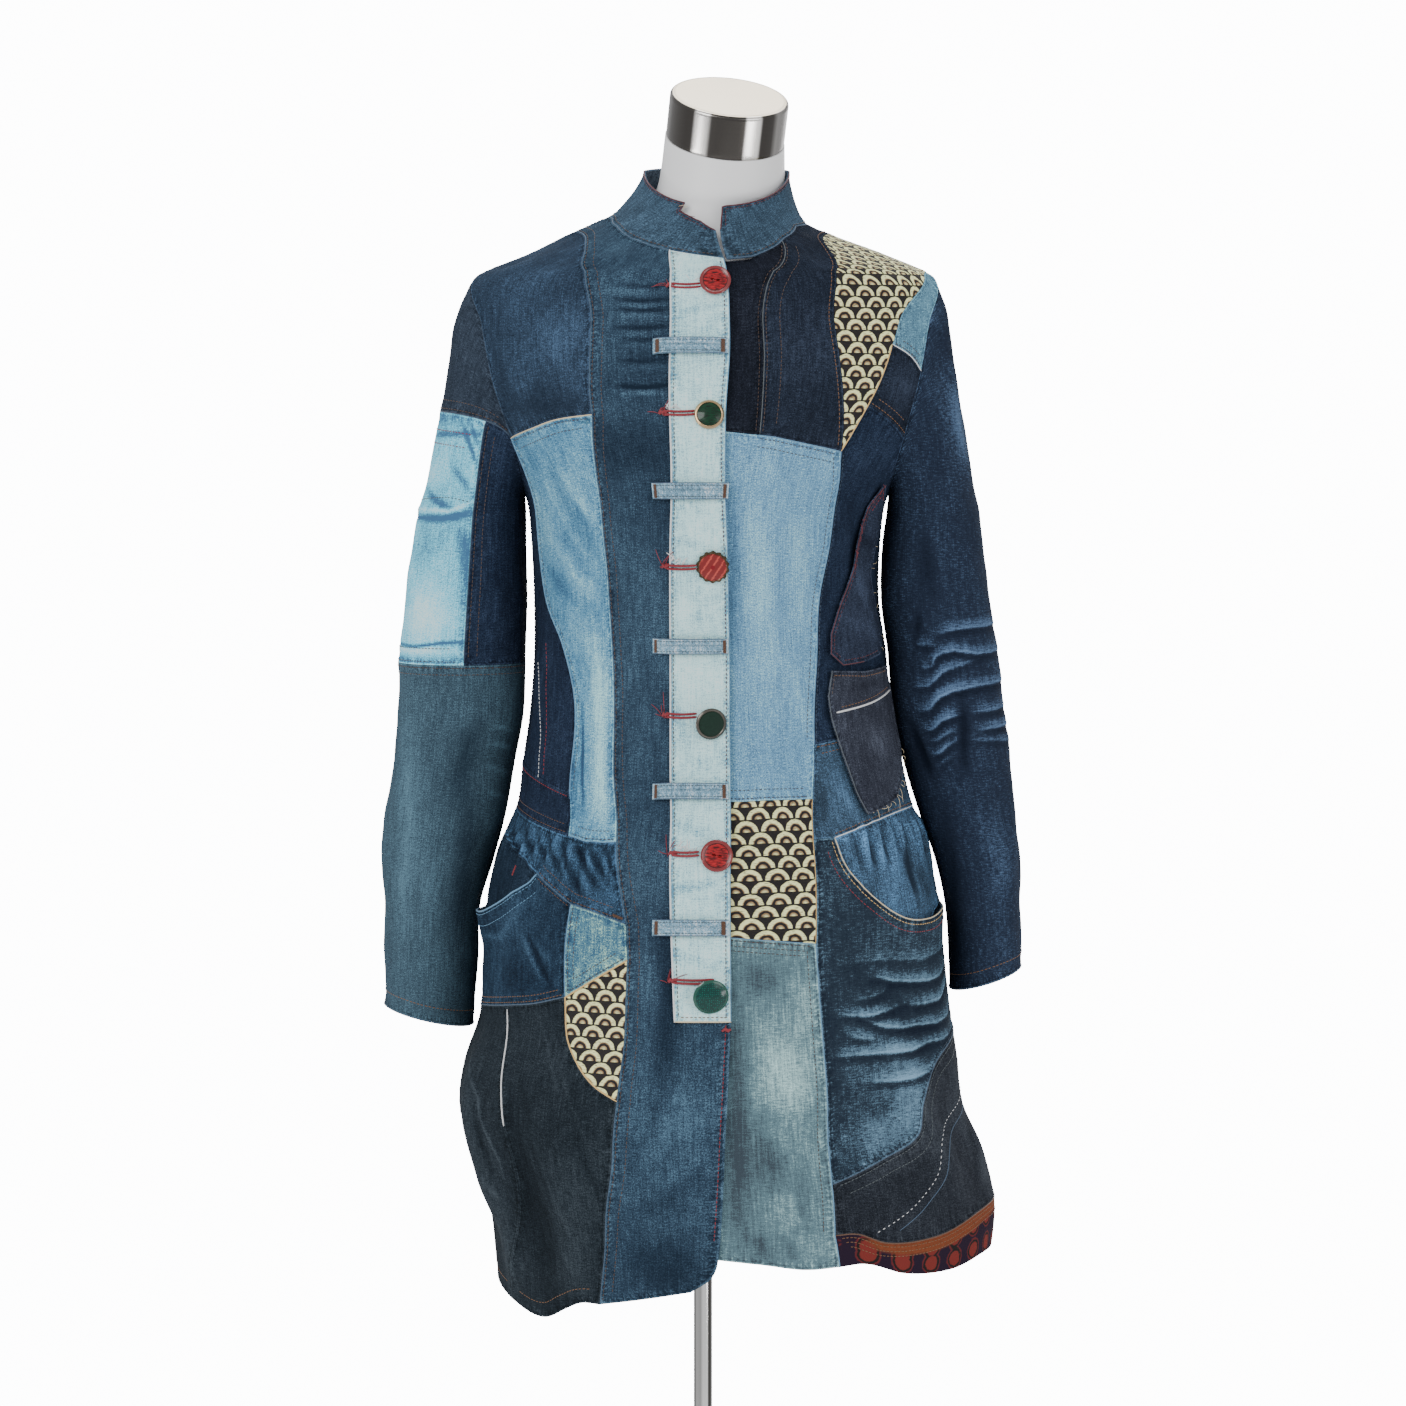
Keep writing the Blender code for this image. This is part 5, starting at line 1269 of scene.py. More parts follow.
# Right front of the coat. Its pieces are cut from old jeans of many washes: a long centre strip that
# runs down to the hem, a dark shoulder, a bleached panel and a dark side, joined by lapped seams.
indigo = denim("shoulder_indigo", (26, 40, 60), (51, 70, 93), (108, 134, 160))
washed = denim("centre_washed", (26, 42, 62), (58, 82, 106), (124, 150, 166), wear=0.8, puckers=0.6)
bleached = denim("bleached", (62, 104, 138), (124, 164, 182), (196, 222, 224))
side_navy = denim("side_navy", (16, 24, 42), (34, 48, 74), (88, 108, 138))

# Every crease and fade is given as its path of (turn, height), how far it stands up, its half-width,
# and how much paler it is than the cloth round it. Paleness holds real fades, whiskers and dye lines,
# and also painted light and shade: many folds and shadows are darker, some ridges paler.
CENTRE_WHISKERS = (
    # pulled fold at the chest, darkened with painted shade, and pale cloth under it:
    #     # height, turn of the outer end, strength
    (1421, -19.5, 0.5), (1409, -19, 0.8), (1401, -19.5, 0.8), (1386, -19, 0.8), (1376, -16.5, 0.5),
    (1359, -18, 0.6), (1338, -19, 1.3),
)
CENTRE_CREASES = [
    (((-16, 1314), (-17, 1262)), 0, 34, -0.36),
    (((-18.5, 1218), (-17.5, 1076)), 0, 26, 0.10),
    # a sunk fold beside the strip, darker with painted shadow
    (((-8, 908), (-6.5, 849), (-8.5, 756)), -1.4, 8, -0.38),
    (((-11.5, 901), (-12, 822), (-13, 748)), 0.8, 8, 0.14),
    (((-4, 789), (-5, 709)), 0, 28, 0.16),
    (((-17.5, 614), (-1.5, 637)), 0, 26, -0.34),
    (((-10, 685), (1.5, 722)), 0.5, 7, 0.12),
    (((-13, 708), (-3.5, 746)), 0.5, 6, 0.12),
    (((-16, 663), (-1.5, 685)), -0.5, 8, -0.12),
]
for height, turn, strength in CENTRE_WHISKERS:
    dark_line = ((turn, height), (-12, height - 1.5), (-6, height + 0.5))
    CENTRE_CREASES.append((dark_line, -1.2 * strength, 1.8, -0.62 * strength))
    CENTRE_CREASES.append((((turn, height - 6), (-6, height - 6)), 0.5 * strength, 2.6, 0.26 * strength))
SHOULDER_CREASES = (
    (((-42, 1400), (-31.5, 1355)), 0, 36, 0.18),
    (((-57.5, 1323), (-28, 1322)), 0, 10, -0.2),
    (((-55.5, 1391), (-56, 1312)), 0, 10, -0.2),
    (((-44, 1422), (-33, 1438)), 0.5, 8, 0.08),
)
BLEACHED_CREASES = (
    (((-45.5, 1280), (-44, 1249), (-35.5, 1230)), 0.8, 6, 0.2),
    (((-56.5, 1258), (-46.5, 1214), (-33, 1180)), 0.8, 7, 0.22),
    (((-60.5, 1217), (-43.5, 1179), (-32, 1158)), 0.7, 6, 0.18),
    (((-46, 1258), (-37.5, 1214)), -0.8, 5, -0.22),
    (((-65.5, 1191), (-42, 1154)), -0.8, 8, -0.26),
    (((-57.5, 1290), (-60, 1255)), 0, 8, -0.15),
    (((-37, 1135), (-31.5, 1041)), 0, 12, 0.35),
    (((-33, 1059), (-29.5, 975)), 0, 12, 0.4),
    (((-41.5, 1075), (-37, 985)), -0.6, 1.7, -0.6),
    (((-30.5, 1080), (-26, 976)), -0.4, 2, -0.3),
    (((-46, 1058), (-39.5, 977)), 0, 4, -0.2),
)


def lay_cord(path, up, radius, colour, sides=6):
    """A round cord of thread or folded cloth: rings round each point of a path, square to it, with
    its radius drawn in at both ends."""
    run = np.gradient(path, axis=0)
    side = np.cross(run, up)
    side /= np.linalg.norm(side, axis=1, keepdims=True)
    over = np.cross(side, run)
    over /= np.linalg.norm(over, axis=1, keepdims=True)
    turn = np.arange(sides) * 2 * math.pi / sides
    size = radius * np.where(np.arange(len(path)) % (len(path) - 1) == 0, 0.5, 1.0)[:, None, None]
    round_it = side[:, None] * np.cos(turn)[None, :, None] + over[:, None] * np.sin(turn)[None, :, None]
    rings = path[:, None] + size * round_it
    cords.setdefault(colour, []).append(loft(rings))


def edge_cord(cut, line, colour, radius=0.6, offset=0.0, above=0.0):
    """A cord along a flat line of a piece, such as a folded edge or a piping."""
    points, normal = cut.outer(line + into_piece(cut, line) * offset, above)
    lay_cord(points, normal, radius, colour)


def edge_rows(rows):
    """Folded edges and pipings: piece, seam points passed, colour, radius, distance in, and height."""
    for name, names, *how in rows:
        edge_cord(CUTS[name], seam_path(names), *how)


def free_row(name, places, colour, step=STITCH_STEP, length=STITCH_LENGTH):
    """A row of stitches across a piece of the body, through places given by turn and height."""
    sew(CUTS[name], smooth_line([to_flat(*place) for place in places]), colour, 0.0, step, length)


cut_body("front_right_centre", "edge1 strip1 rs1 rs2 rc1 rc2 rc3 rc4 rc5 rc6 edge4 edge3 edge2",
         creases=CENTRE_CREASES, cell=3.2).hang(washed)
cut_body("front_right_shoulder", "rs2 br1 ratop ra rc1", creases=SHOULDER_CREASES).hang(indigo)
cut_body("front_right_light", "rc1 ra rl1 rl2 rc2", creases=BLEACHED_CREASES).hang(bleached)
cut_body("front_right_side", "ra rapit rw1 rl1").hang(side_navy)
cut_body("waist_right_side", "rl1 rw1 rw2 rl2").hang(side_navy)
seam_rows((
    ("front_right_centre", "rs1 rs2 rc1 rc2 rc3 rc4 rc5 rc6", (2.4, 9.5), "brown"),
    ("front_right_centre", "edge2 edge3", (3,), "red"),
    ("front_right_light", "rc1 ra", (3, 10), "brown"),
    ("front_right_light", "ra rl1", (5,), "grey"),
    ("front_right_light", "rl2 rc2", (2.4, 9), "brown"),
    ("waist_right_side", "rw2 rl2", (2.4, 8), "rust"),
    ("waist_right_side", "rw1 rl1", (2,), "red"),
))
edge_rows((
    ("front_right_centre", "rs2 rc1 rc2 rc3", "fold", 0.35, 0.3, 0.0),
    ("front_right_centre", "rc4 rc5 rc6", "fold", 0.35, 0.3, 0.0),
    ("front_right_light", "rc1 ra", "cream", 0.55, 0.2, 0.2),
    ("front_right_light", "ra rl1", "pale", 0.47, 0.2, 0.1),
    ("front_right_light", "rl2 rc2", "pale", 0.47, 0.3, 0.1),
))
free_row("front_right_side", ((-67, 1126), (-62.5, 1077), (-58.5, 1011)), "red")
free_row("front_right_side", ((-75.5, 1109), (-66, 1059), (-61.5, 1010)), "white")
finish_sewing("right_front")


# Left front of the coat. It buttons under the right front: a dark neck strip and chest, a woven
# black and cream wedge, a pale shoulder patch, a bleached panel, and a dark side.
chest_navy = denim("chest_navy", (17, 23, 36), (34, 42, 60), (80, 94, 120))
neck_black = denim("neck_black", (12, 16, 24), (28, 33, 46), (70, 78, 96))
patch_light = denim("patch_light", (74, 106, 126), (124, 156, 172), (184, 202, 208))
panel_light = denim("panel_light", (88, 122, 148), (140, 170, 187), (196, 216, 222), blotch=0.45)
waist_mid = denim("waist_mid", (34, 48, 66), (68, 92, 114), (134, 160, 180))


def brocade_weave():
    """Staggered rows of overlapping scales, cream and gold rings on black, woven with a ribbed thread.
    Each scale's distance from its middle picks its ring; an upper row shows outside the lower one."""
    finish = Finish("brocade_weave", roughness=0.55, specular_ior_level=0.25)
    cloth = finish.attribute("cloth", "Vector")
    pitch = 0.0195
    x, y = (finish.axis(cloth, part) / pitch for part in (0, 1))
    y = y * 2
    row = maths("FLOOR", y)
    reach = []
    for k in (0, 1):
        shift = maths("MODULO", row + (1000 - k), 2) * 0.5
        across = maths("FRACT", x + shift) - 0.5
        up = (y - row + k) * 0.5
        reach.append(maths("SQRT", across * across + up * up) * 2)
    over = maths("LESS_THAN", reach[0], 1.0)
    ring = reach[0] * over + reach[1] * (1 - over)
    uneven = finish.noise(finish.stretch(cloth, 0.004, 0.004), detail=2)
    black, cream, gold = screen(24, 20, 22), screen(236, 222, 186), screen(170, 146, 108)
    band = finish.ramp(ring + (uneven - 0.5) * 0.16, (0.0, cream), (0.28, gold), (0.34, black), (0.48, black),
                       (0.54, gold), (0.62, cream), (0.86, cream), (0.92, black), (1.0, black))
    rib = finish.noise(finish.stretch(cloth, 0.0035, 0.0007), detail=2)
    # Darker brown between the ribs of the weave: painted shade.
    shaded = finish.mix(finish.between(rib, 0.50, 0.72) * 0.8, band, screen(62, 48, 38))
    finish.give("Base Color", shaded)
    finish.emboss(finish.between(ring, 0.95, 0.7) * 0.7 + rib * 0.5, 0.0007, 0.8)
    return finish


brocade = brocade_weave()
# How far the left front lies in under the right front, and the turns between which it dips
TUCK = 4.6
TUCK_TURNS = (17, 9)


def tucked(flat):
    """How far the left front dips in under the right front: not at all before the first turn, and
    fully from the last one on."""
    first, last = TUCK_TURNS
    return -TUCK * ease((first - flat[:, 0] / GIRTH_PER_DEGREE) / (first - last))


PANEL_CREASES = (
    (((15.5, 1255), (18.5, 1092)), 0, 17, 0.2),
    (((28.5, 1240), (30, 1139)), 0, 9, 0.16),
    (((7.5, 1255), (8.5, 1114)), -0.6, 8, -0.25),
    (((24, 1114), (29.5, 1060)), 0.5, 7, 0.12),
    (((11.5, 1249), (13.5, 1187)), 0.4, 6, 0.12),
    (((22, 1225), (23, 1120)), -0.4, 6, -0.1),
)
WAIST_CREASES = (
    (((38, 1016), (44, 977)), 0.4, 6, 0.24),
    (((33, 1018), (31.5, 975)), 0, 6, -0.2),
    (((48, 979), (90, 989)), 0.4, 5, 0.18),
    (((40, 1030), (70, 1020)), -0.4, 5, -0.15),
)
CHEST_CREASES = ((((20, 1412), (22, 1336)), 0, 26, 0.12),)
ARMHOLE_CREASES = ((((47, 1343), (60.5, 1331)), 0, 16, 0.2),)
SIDE_CREASES = ((((50, 1293), (80, 1280)), 0, 14, 0.16),)
cut_body("front_left_neck", "ln1 under1 under2 ln2", lift=tucked).hang(neck_black)
cut_body("front_left_chest", "ls2 ls1 ln1 ln2 lt1", creases=CHEST_CREASES).hang(chest_navy)
cut_body("shoulder_left_brocade", "ls3 bl1 ls2 lt1 lt2 lt3").hang(brocade)
cut_body("shoulder_left_light", "latop ls3 lt3 la1").hang(patch_light)
cut_body("front_left_armhole", "lt3 lt2 la2 la1", creases=ARMHOLE_CREASES).hang(chest_navy)
cut_body("front_left_panel", "lt1 ln2 under2 under3 lc2 lc1", lift=tucked,
         creases=PANEL_CREASES).hang(panel_light)
cut_body("front_left_side", "lt2 lt1 lc1 lw1 lapit la2", creases=SIDE_CREASES).hang(side_navy)
cut_body("front_left_waist", "lc1 lc2 lc3 lp1 lw2 lw1", creases=WAIST_CREASES).hang(waist_mid)
seam_rows((
    ("front_left_chest", "ls2 lt1", (4,), "orange"),
    ("front_left_chest", "ln1 ln2", (2.4, 12), "brown"),
    ("front_left_neck", "ln1 ln2", (2.4,), "brown"),
    ("shoulder_left_light", "lt3 la1", (2.4, 8), "brown"),
    ("front_left_armhole", "lt2 la2", (2.4, 8), "orange"),
    ("front_left_panel", "ln2 lt1", (3, 9.5), "brown"),
    ("front_left_panel", "lt1 lc1", (7,), "brown"),
    ("front_left_panel", "under3 lc2", (2.4, 9), "brown"),
    ("front_left_waist", "lc1 lw1", (2.4, 8), "orange"),
    ("front_left_waist", "lp1 lw2", (3,), "orange"),
    ("front_left_side", "lc1 lt1", (2.5,), "blue"),
))
edge_rows((
    ("front_left_chest", "ln1 ln2", "grey", 0.39, 0.4, 0.1),
    ("shoulder_left_light", "lt3 la1", "white", 0.47, 0.2, 0.2),
    ("front_left_panel", "ln2 lt1 lc1", "pale", 0.47, 0.2, 0.1),
    ("front_left_waist", "lp1 lw2", "white", 0.47, 0.2, 0.1),
    ("shoulder_left_brocade", "lt1 lt2 lt3", "gold", 0.55, 0.2, 0.1),
))
finish_sewing("left_front")


# Skirt of the coat. Below the waist seam the cloth is gathered into the yokes. Pockets with open
# mouths, woven patches and a printed hem band are pieced in, and the hem runs unevenly.
MOUTHS = {
    # piece: inner end, outer end, how far the edge stands out, how far down the lift reaches
    "skirt_right_pocket": ("rf1", "rp1", 9.0, 24.0),
    "skirt_left_side": ("lp1", "lw3", 6.0, 24.0),
}
FACINGS = {
    "skirt_right_facing": "skirt_right_pocket",
    "skirt_left_gather": "skirt_left_side",
}
FACING_DEPTH = 14.0
gather_mid = denim("gather_mid", (18, 30, 48), (54, 82, 108), (122, 154, 178))
gather_light = denim("gather_light", (36, 52, 72), (84, 112, 136), (156, 182, 200))
pocket_mid = denim("pocket_mid", (16, 28, 44), (38, 62, 88), (100, 130, 152))
facing_dark = denim("facing_dark", (12, 22, 36), (30, 48, 70), (80, 104, 128))
aqua = denim("aqua_bleached", (52, 94, 128), (106, 146, 164), (196, 210, 200), blotch=1.3)
skirt_aqua = denim("skirt_aqua", (74, 90, 102), (128, 150, 158), (196, 206, 206), blotch=0.6, grain=0.8)
charcoal = denim("charcoal", (16, 23, 30), (37, 48, 58), (86, 98, 108), cross=0.8)
dark_left = denim("charcoal_left", (18, 22, 30), (43, 49, 60), (94, 102, 112), cross=0.8)
whiskered = denim("whiskered", (20, 32, 50), (47, 63, 80), (158, 177, 188), grain=0.9, slub=0.4,
                  blotch=0.6)

GATHER_FOLDS = (
    # top and foot of each fold under the slanted waist seam, darkened with painted shade,
    #     # and how far it is to the pale one
    ((-77, 970), (-57, 945), 6),
    ((-65, 973), (-50, 942), 5),
    ((-55.5, 969), (-45, 942), 3),
    ((-49.5, 968), (-39, 936), 3),
    ((-42, 964), (-30, 917), 3),
    ((-36.5, 963), (-26.5, 928), 2.6),
    ((-31.5, 963), (-24, 932), 2.6),
    ((-26, 962), (-21, 933), 2),
)
gather_creases = []
for top, foot, over in GATHER_FOLDS:
    gather_creases.append(((top, foot), -0.9, 2.2, -0.45))
    gather_creases.append((((top[0] + over, top[1]), (foot[0] + over, foot[1])), 0.7, 2.2, 0.2))
POCKET_CREASES = (
    (((-52, 886), (-42, 848)), 1.0, 3.2, 0.38),
    (((-50.5, 888), (-44, 868)), -0.9, 2.4, -0.4),
    (((-47.5, 875), (-38.5, 842)), -0.9, 3, -0.4),
    (((-46.5, 879), (-39, 864)), 0.7, 3, 0.2),
    (((-63.5, 853), (-41.5, 843)), 0, 14, -0.15),
    (((-69, 937), (-58, 926)), 0.4, 5, 0.2),
    (((-90, 873), (-62, 880), (-48.5, 915)), 0.6, 3, 0.28),
)
LOWER_FRONT_CREASES = (
    (((-44, 822), (-30, 745)), 0.2, 1.8, 0.14),
    (((-38, 810), (-22, 707)), 0.2, 1.6, 0.14),
    (((-48, 773), (-37.5, 646)), 0.3, 2, 0.14),
    (((-41, 725), (-29.5, 614)), 0.2, 1.8, 0.12),
    (((-29, 742), (-21.5, 669)), -0.3, 3, -0.15),
    (((-58.5, 657), (-55.5, 617)), -0.9, 5, -0.25),
)
LOWER_SIDE_CREASES = (
    (((-76, 781), (-62, 746), (-55, 698), (-54, 679)), 0.6, 1.4, 0.4),
    (((-62, 732), (-58.5, 682)), -0.9, 4, -0.35),
    (((-77.5, 695), (-66.5, 638)), -0.8, 5, -0.3),
    (((-63, 679), (-56.5, 662)), 0.6, 3, 0.22),
)
LEFT_CENTRE_CREASES = (
    # painted shadow of the right front along the left edge, in a sunk fold
    (((6.5, 842), (6, 749), (5.5, 630)), -1, 6, -0.36),
    (((14.5, 808), (17.5, 744)), 0.5, 18, 0.3),
    (((10.5, 685), (16, 649)), 0.5, 16, 0.22),
    (((8, 868), (15.5, 846)), 0, 13, -0.25),
    (((19, 864), (23.5, 814)), 0, 10, 0.16),
    (((11.5, 732), (13, 688)), -0.7, 7, -0.2),
    (((17.5, 707), (18, 645)), -0.7, 5, -0.22),
    (((8, 650), (10, 626)), -0.6, 5, -0.22),
    (((14, 646), (15.5, 625)), -0.5, 4, -0.2),
)
DARK_CREASES = (
    (((31, 690), (51, 720)), 0, 10, 0.14),
    (((77, 724), (70, 665)), -0.8, 6, -0.22),
)
HIP_WHISKERS = (
    # path of a bleached whisker across the left hip, and its strength
    (((30, 867), (44, 868), (61.5, 863), (72, 866), (90, 871)), 0.4),
    (((40.5, 854), (43.5, 853), (48, 849), (56.5, 846), (64.5, 844), (73.5, 845), (90, 852)), 1.0),
    (((46, 845), (44.5, 841), (40, 838), (34.5, 837)), 0.55),
    (((29, 826), (36.5, 824), (40.5, 824), (45.5, 826), (52.5, 830)), 1.0),
    (((52, 829), (59, 826), (70, 826), (80, 833), (90, 842)), 1.0),
    (((36, 823), (39.5, 817), (43, 813), (50, 810), (57, 810), (66, 808), (76, 810), (90, 816)), 1.1),
    (((31.5, 810), (35.5, 806), (39.5, 804)), 0.5),
    (((27.5, 793), (35.5, 793), (44, 792), (52, 791), (60.5, 794), (69, 793), (90, 799)), 1.1),
    (((35.5, 771), (42.5, 769), (49.5, 769), (58.5, 771), (66, 778)), 0.9),
)
WHISKER_PARTS = (
    # how far up from the whisker, rise, half-width, paleness: bright edge, faded cloth, dark fold;
    #     # the fold is unworn cloth, darkened further with painted shade
    (0.0, 0.7, 1.3, 0.50),
    (3.6, 0.4, 3.0, 0.26),
    (-4.2, -0.7, 3.0, -0.32),
)


def whiskers(lines):
    """Bleached whiskers: faded cloth above each bright edge, and a fold below it darkened with painted shade.
    """
    return [([(place, height + up) for place, height in path], rise * strength, half_width, shade * strength)
            for path, strength in lines for up, rise, half_width, shade in WHISKER_PARTS]


hip_creases = [(((37.5, 746), (40, 711)), 0, 30, 0.22), (((27.5, 863), (27, 746)), 0, 7, -0.12)]
hip_creases += whiskers(HIP_WHISKERS)
# Folds of the left gathers: where they sink, darker with painted shade; pale ridges between them.
LEFT_GATHER_FOLDS = (
    (((64, 969), (61.5, 943), (63.5, 911)), -2, 4.5, -0.9),
    (((54, 965), (52, 935)), 0.6, 5, 0.2),
    (((65, 938), (73.5, 908)), 0, 8, -0.3),
    *((((turn, 964), (turn, 942)), -0.7, 2, -0.4) for turn in (40.5, 46, 52.5, 79.5)),
    *((((turn, 964), (turn + 0.5, 942)), 0.5, 2, 0.28) for turn in (43, 48.5, 57, 72)),
)


def facing_line(line, depth):
    """The lower edge of the cloth behind a pocket's mouth, which runs on below the mouth."""
    share = np.linspace(0, 1, len(line))
    drop = depth * ease((share - 0.22) / 0.2) * ease((0.78 - share) / 0.2)
    side = left_of(line)
    return line - side * np.sign(side[:, 1:]) * drop[:, None]


def mouth_lift_of(name):
    """Lift of a pocket's upper edge, which stands away from the cloth behind it."""
    first, last, rise, reach = MOUTHS[name]
    line = seam_line(first, last)

    def lift(flat):
        """Most at the middle of the mouth, less towards its ends and away from it."""
        distance, share = near_path(flat, line)
        ends = ease((share - 0.05) / 0.16) * ease((0.95 - share) / 0.16)
        return rise * ends * np.exp(-(distance / reach) ** 2)
    return lift


def let_down(name):
    """Border of the cloth behind a pocket's mouth, which runs on below the mouth."""
    first, last = MOUTHS[FACINGS[name]][:2]
    mouth = seam_line(first, last)
    loop = CUTS[name].loop
    for old, new in zip(mouth, facing_line(mouth, FACING_DEPTH)):
        loop[np.argmin(np.linalg.norm(loop - old, axis=1))] = new


cut_body("skirt_right_gather", "rc2 rl2 rw2 rw3 rf1 rf2 rc3",
         creases=gather_creases).hang(gather_mid, "gathered")
cut_body("skirt_right_facing", "rf1 rw3 rp1")
let_down("skirt_right_facing")
CUTS["skirt_right_facing"].hang(facing_dark)
cut_body("skirt_right_pocket", "rf2 rf1 rp1 rp2 rk1 ri1", lift=mouth_lift_of("skirt_right_pocket"),
         creases=POCKET_CREASES).hang(pocket_mid)
cut_body("skirt_right_light", "rc3 rf2 ri1 rc4").hang(aqua)
cut_body("skirt_right_brocade", "rc4 ri1 rc5").hang(brocade)
cut_body("skirt_right_lower_front", "rc5 ri1 rk1 rk2 rc6", creases=LOWER_FRONT_CREASES).hang(charcoal)
cut_body("skirt_right_lower_side", "rk1 rp2 rh1 rk2", creases=LOWER_SIDE_CREASES).hang(charcoal)
cut_body("skirt_left_brocade", "lc2 under3 under4 lc4 lc3", lift=tucked).hang(brocade)
cut_body("skirt_left_centre", "lc4 under4 under5 lc7 lc6 lc5", lift=tucked,
         creases=LEFT_CENTRE_CREASES).hang(skirt_aqua)
cut_body("skirt_left_gather", "lw2 lp1 lw3", creases=LEFT_GATHER_FOLDS)
let_down("skirt_left_gather")
CUTS["skirt_left_gather"].hang(gather_light, "gathered")
cut_body("skirt_left_side", "lp1 lc3 lc4 lc5 lw4 lw3", lift=mouth_lift_of("skirt_left_side"),
         creases=hip_creases, cell=3.0).hang(whiskered)
cut_body("skirt_left_dark", "lw4 lc5 lc6 lw5", creases=DARK_CREASES).hang(dark_left)


def ringed_print():
    """Dark purple cloth with a row of plain red rings, and a rust-coloured band along its top, which
    the cloth's own pale value marks. A ring's colours go by the distance from its middle."""
    finish = Finish("ringed_print", roughness=0.85, specular_ior_level=0.1)
    cloth = finish.attribute("cloth", "Vector")
    pitch = 0.0255
    x = finish.axis(cloth, 0) / pitch - 0.12
    across = maths("FRACT", x) - 0.5
    up = (finish.attribute("edge") - 8.6) / (pitch * 1000)
    ring = maths("SQRT", across * across + up * up) * 2
    worn = finish.noise(finish.stretch(cloth, 0.0025, 0.0025), detail=3)
    red, dark, ground = screen(142, 54, 48), screen(38, 34, 34), screen(42, 28, 48)
    thin_ring = screen(120, 44, 48)
    rings = finish.ramp(ring + (worn - 0.5) * 0.2, (0.0, red), (0.44, red), (0.50, dark), (0.60, dark),
                        (0.63, thin_ring), (0.69, thin_ring), (0.74, ground))
    rust = finish.mix(worn, screen(112, 58, 36), screen(162, 92, 56))
    finish.give("Base Color", finish.mix(finish.between(finish.attribute("pale"), 0.45, 0.6), rings, rust))
    finish.emboss(worn, 0.0006, 0.6)
    return finish


band_top = [from_flat(point) for point in seam_path("lc6 lw5")[::4]]
cut_body("skirt_left_band", "lw5 lc6 lc7 lw6", creases=((band_top, 0, 15.0, 1.0),)).hang(ringed_print())


def free_cord(name, places, colour, radius):
    """A cord across a piece of the body, through places given by turn and height."""
    edge_cord(CUTS[name], smooth_line([to_flat(*place) for place in places]), colour, radius)


def bartack(cut, place, colour, length=9.0, width=2.2, angle=0.0, step=0.75):
    """A block of close stitches laid across a short line, at a place given by turn and height."""
    centre = to_flat(*place) if cut.unflatten is from_flat else np.array(place, float)
    way = np.array((math.cos(math.radians(angle)), math.sin(math.radians(angle))))
    across = np.array((-way[1], way[0]))
    at = np.arange(-length / 2, length / 2, step)[:, None]
    start, up = cut.outer(centre + at * way - across * width / 2, 0.25)
    end = cut.outer(centre + at * way + across * width / 2, 0.25)[0]
    sewn.setdefault(colour, []).append(stitch_places(start, end, up, THREADS[colour][1]))


seam_rows((
    ("skirt_right_gather", "rf1 rf2 rc3", (2.4, 9), "rust"),
    ("skirt_right_pocket", "rf2 rf1", (2.4,), "rust"),
    ("skirt_right_pocket", "rf1 rp1", (3, 12), "pale"),
    ("skirt_right_pocket", "ri1 rk1 rp2", (2.4, 7), "orange"),
    ("skirt_right_light", "rf2 ri1", (3, 8), "brown"),
    ("skirt_right_light", "ri1 rc4", (2.4, 9), "brown"),
    ("skirt_right_lower_front", "rc6 rk2", (12,), "orange"),
    ("skirt_right_lower_side", "rk2 rh1", (12,), "orange"),
    ("skirt_left_centre", "lc4 lc5 lc6", (7,), "brown"),
    ("skirt_left_centre", "under4 lc4", (2.4, 6.5, 10.5), "brown"),
    ("skirt_left_side", "lp1 lw3", (4,), "gold"),
    ("skirt_left_side", "lp1 lw3", (10,), "red"),
    ("skirt_left_side", "lc5 lw4", (2.4,), "blue"),
    ("skirt_left_dark", "lc5 lw4", (3, 12), "grey"),
    ("skirt_left_band", "lc6 lw5", (3, 7, 11), "orange"),
))
edge_rows((
    ("skirt_right_gather", "rf1 rf2 rc3", "fold", 0.39, 0.3, 0.1),
    ("skirt_right_pocket", "rf1 rp1", "pale", 0.7, 0.3, 0.0),
    ("skirt_right_pocket", "ri1 rk1 rp2", "fold", 0.43, 0.3, 0.1),
    ("skirt_right_light", "rf2 ri1", "pale", 0.47, 0.3, 0.1),
    ("skirt_right_brocade", "rc4 ri1 rc5", "gold", 0.7, 0.4, 0.2),
    ("skirt_left_brocade", "lc2 lc3 lc4", "gold", 0.35, 0.3, 0.1),
    ("skirt_left_centre", "under4 lc4", "pale", 0.39, 0.3, 0.1),
    ("skirt_left_centre", "lc4 lc5 lc6 lc7", "pale", 0.47, 0.2, 0.1),
    ("skirt_left_side", "lp1 lw3", "cream", 0.55, 0.3, 0.0),
    ("skirt_left_side", "lc5 lw4", "fold", 0.39, 0.3, 0.1),
    ("skirt_left_band", "lc6 lw5", "rust", 0.55, 0.0, 0.1),
))
free_row("skirt_left_dark",
         ((86, 759), (73.5, 739), (57.5, 713), (53.5, 689), (46, 670), (37, 653), (32, 645)),
         "white", 5.0, 2.4)
free_cord("skirt_left_dark", ((86, 752), (76, 732), (61, 708), (56, 685), (48, 665), (38.5, 646)),
          "fold", 0.35)
free_cord("skirt_right_lower_side", ((-57.6, 822), (-55.8, 796), (-53.4, 769), (-50.6, 728)), "white", 0.75)
free_row("skirt_right_gather", ((-79.5, 937), (-63, 930)), "red")
bartack(CUTS["skirt_right_gather"], (-61.5, 936), "red", 9, 2.4, 70)
bartack(CUTS["skirt_right_gather"], (-20, 906), "rust", 9, 2.2, -20)
finish_sewing("skirt")


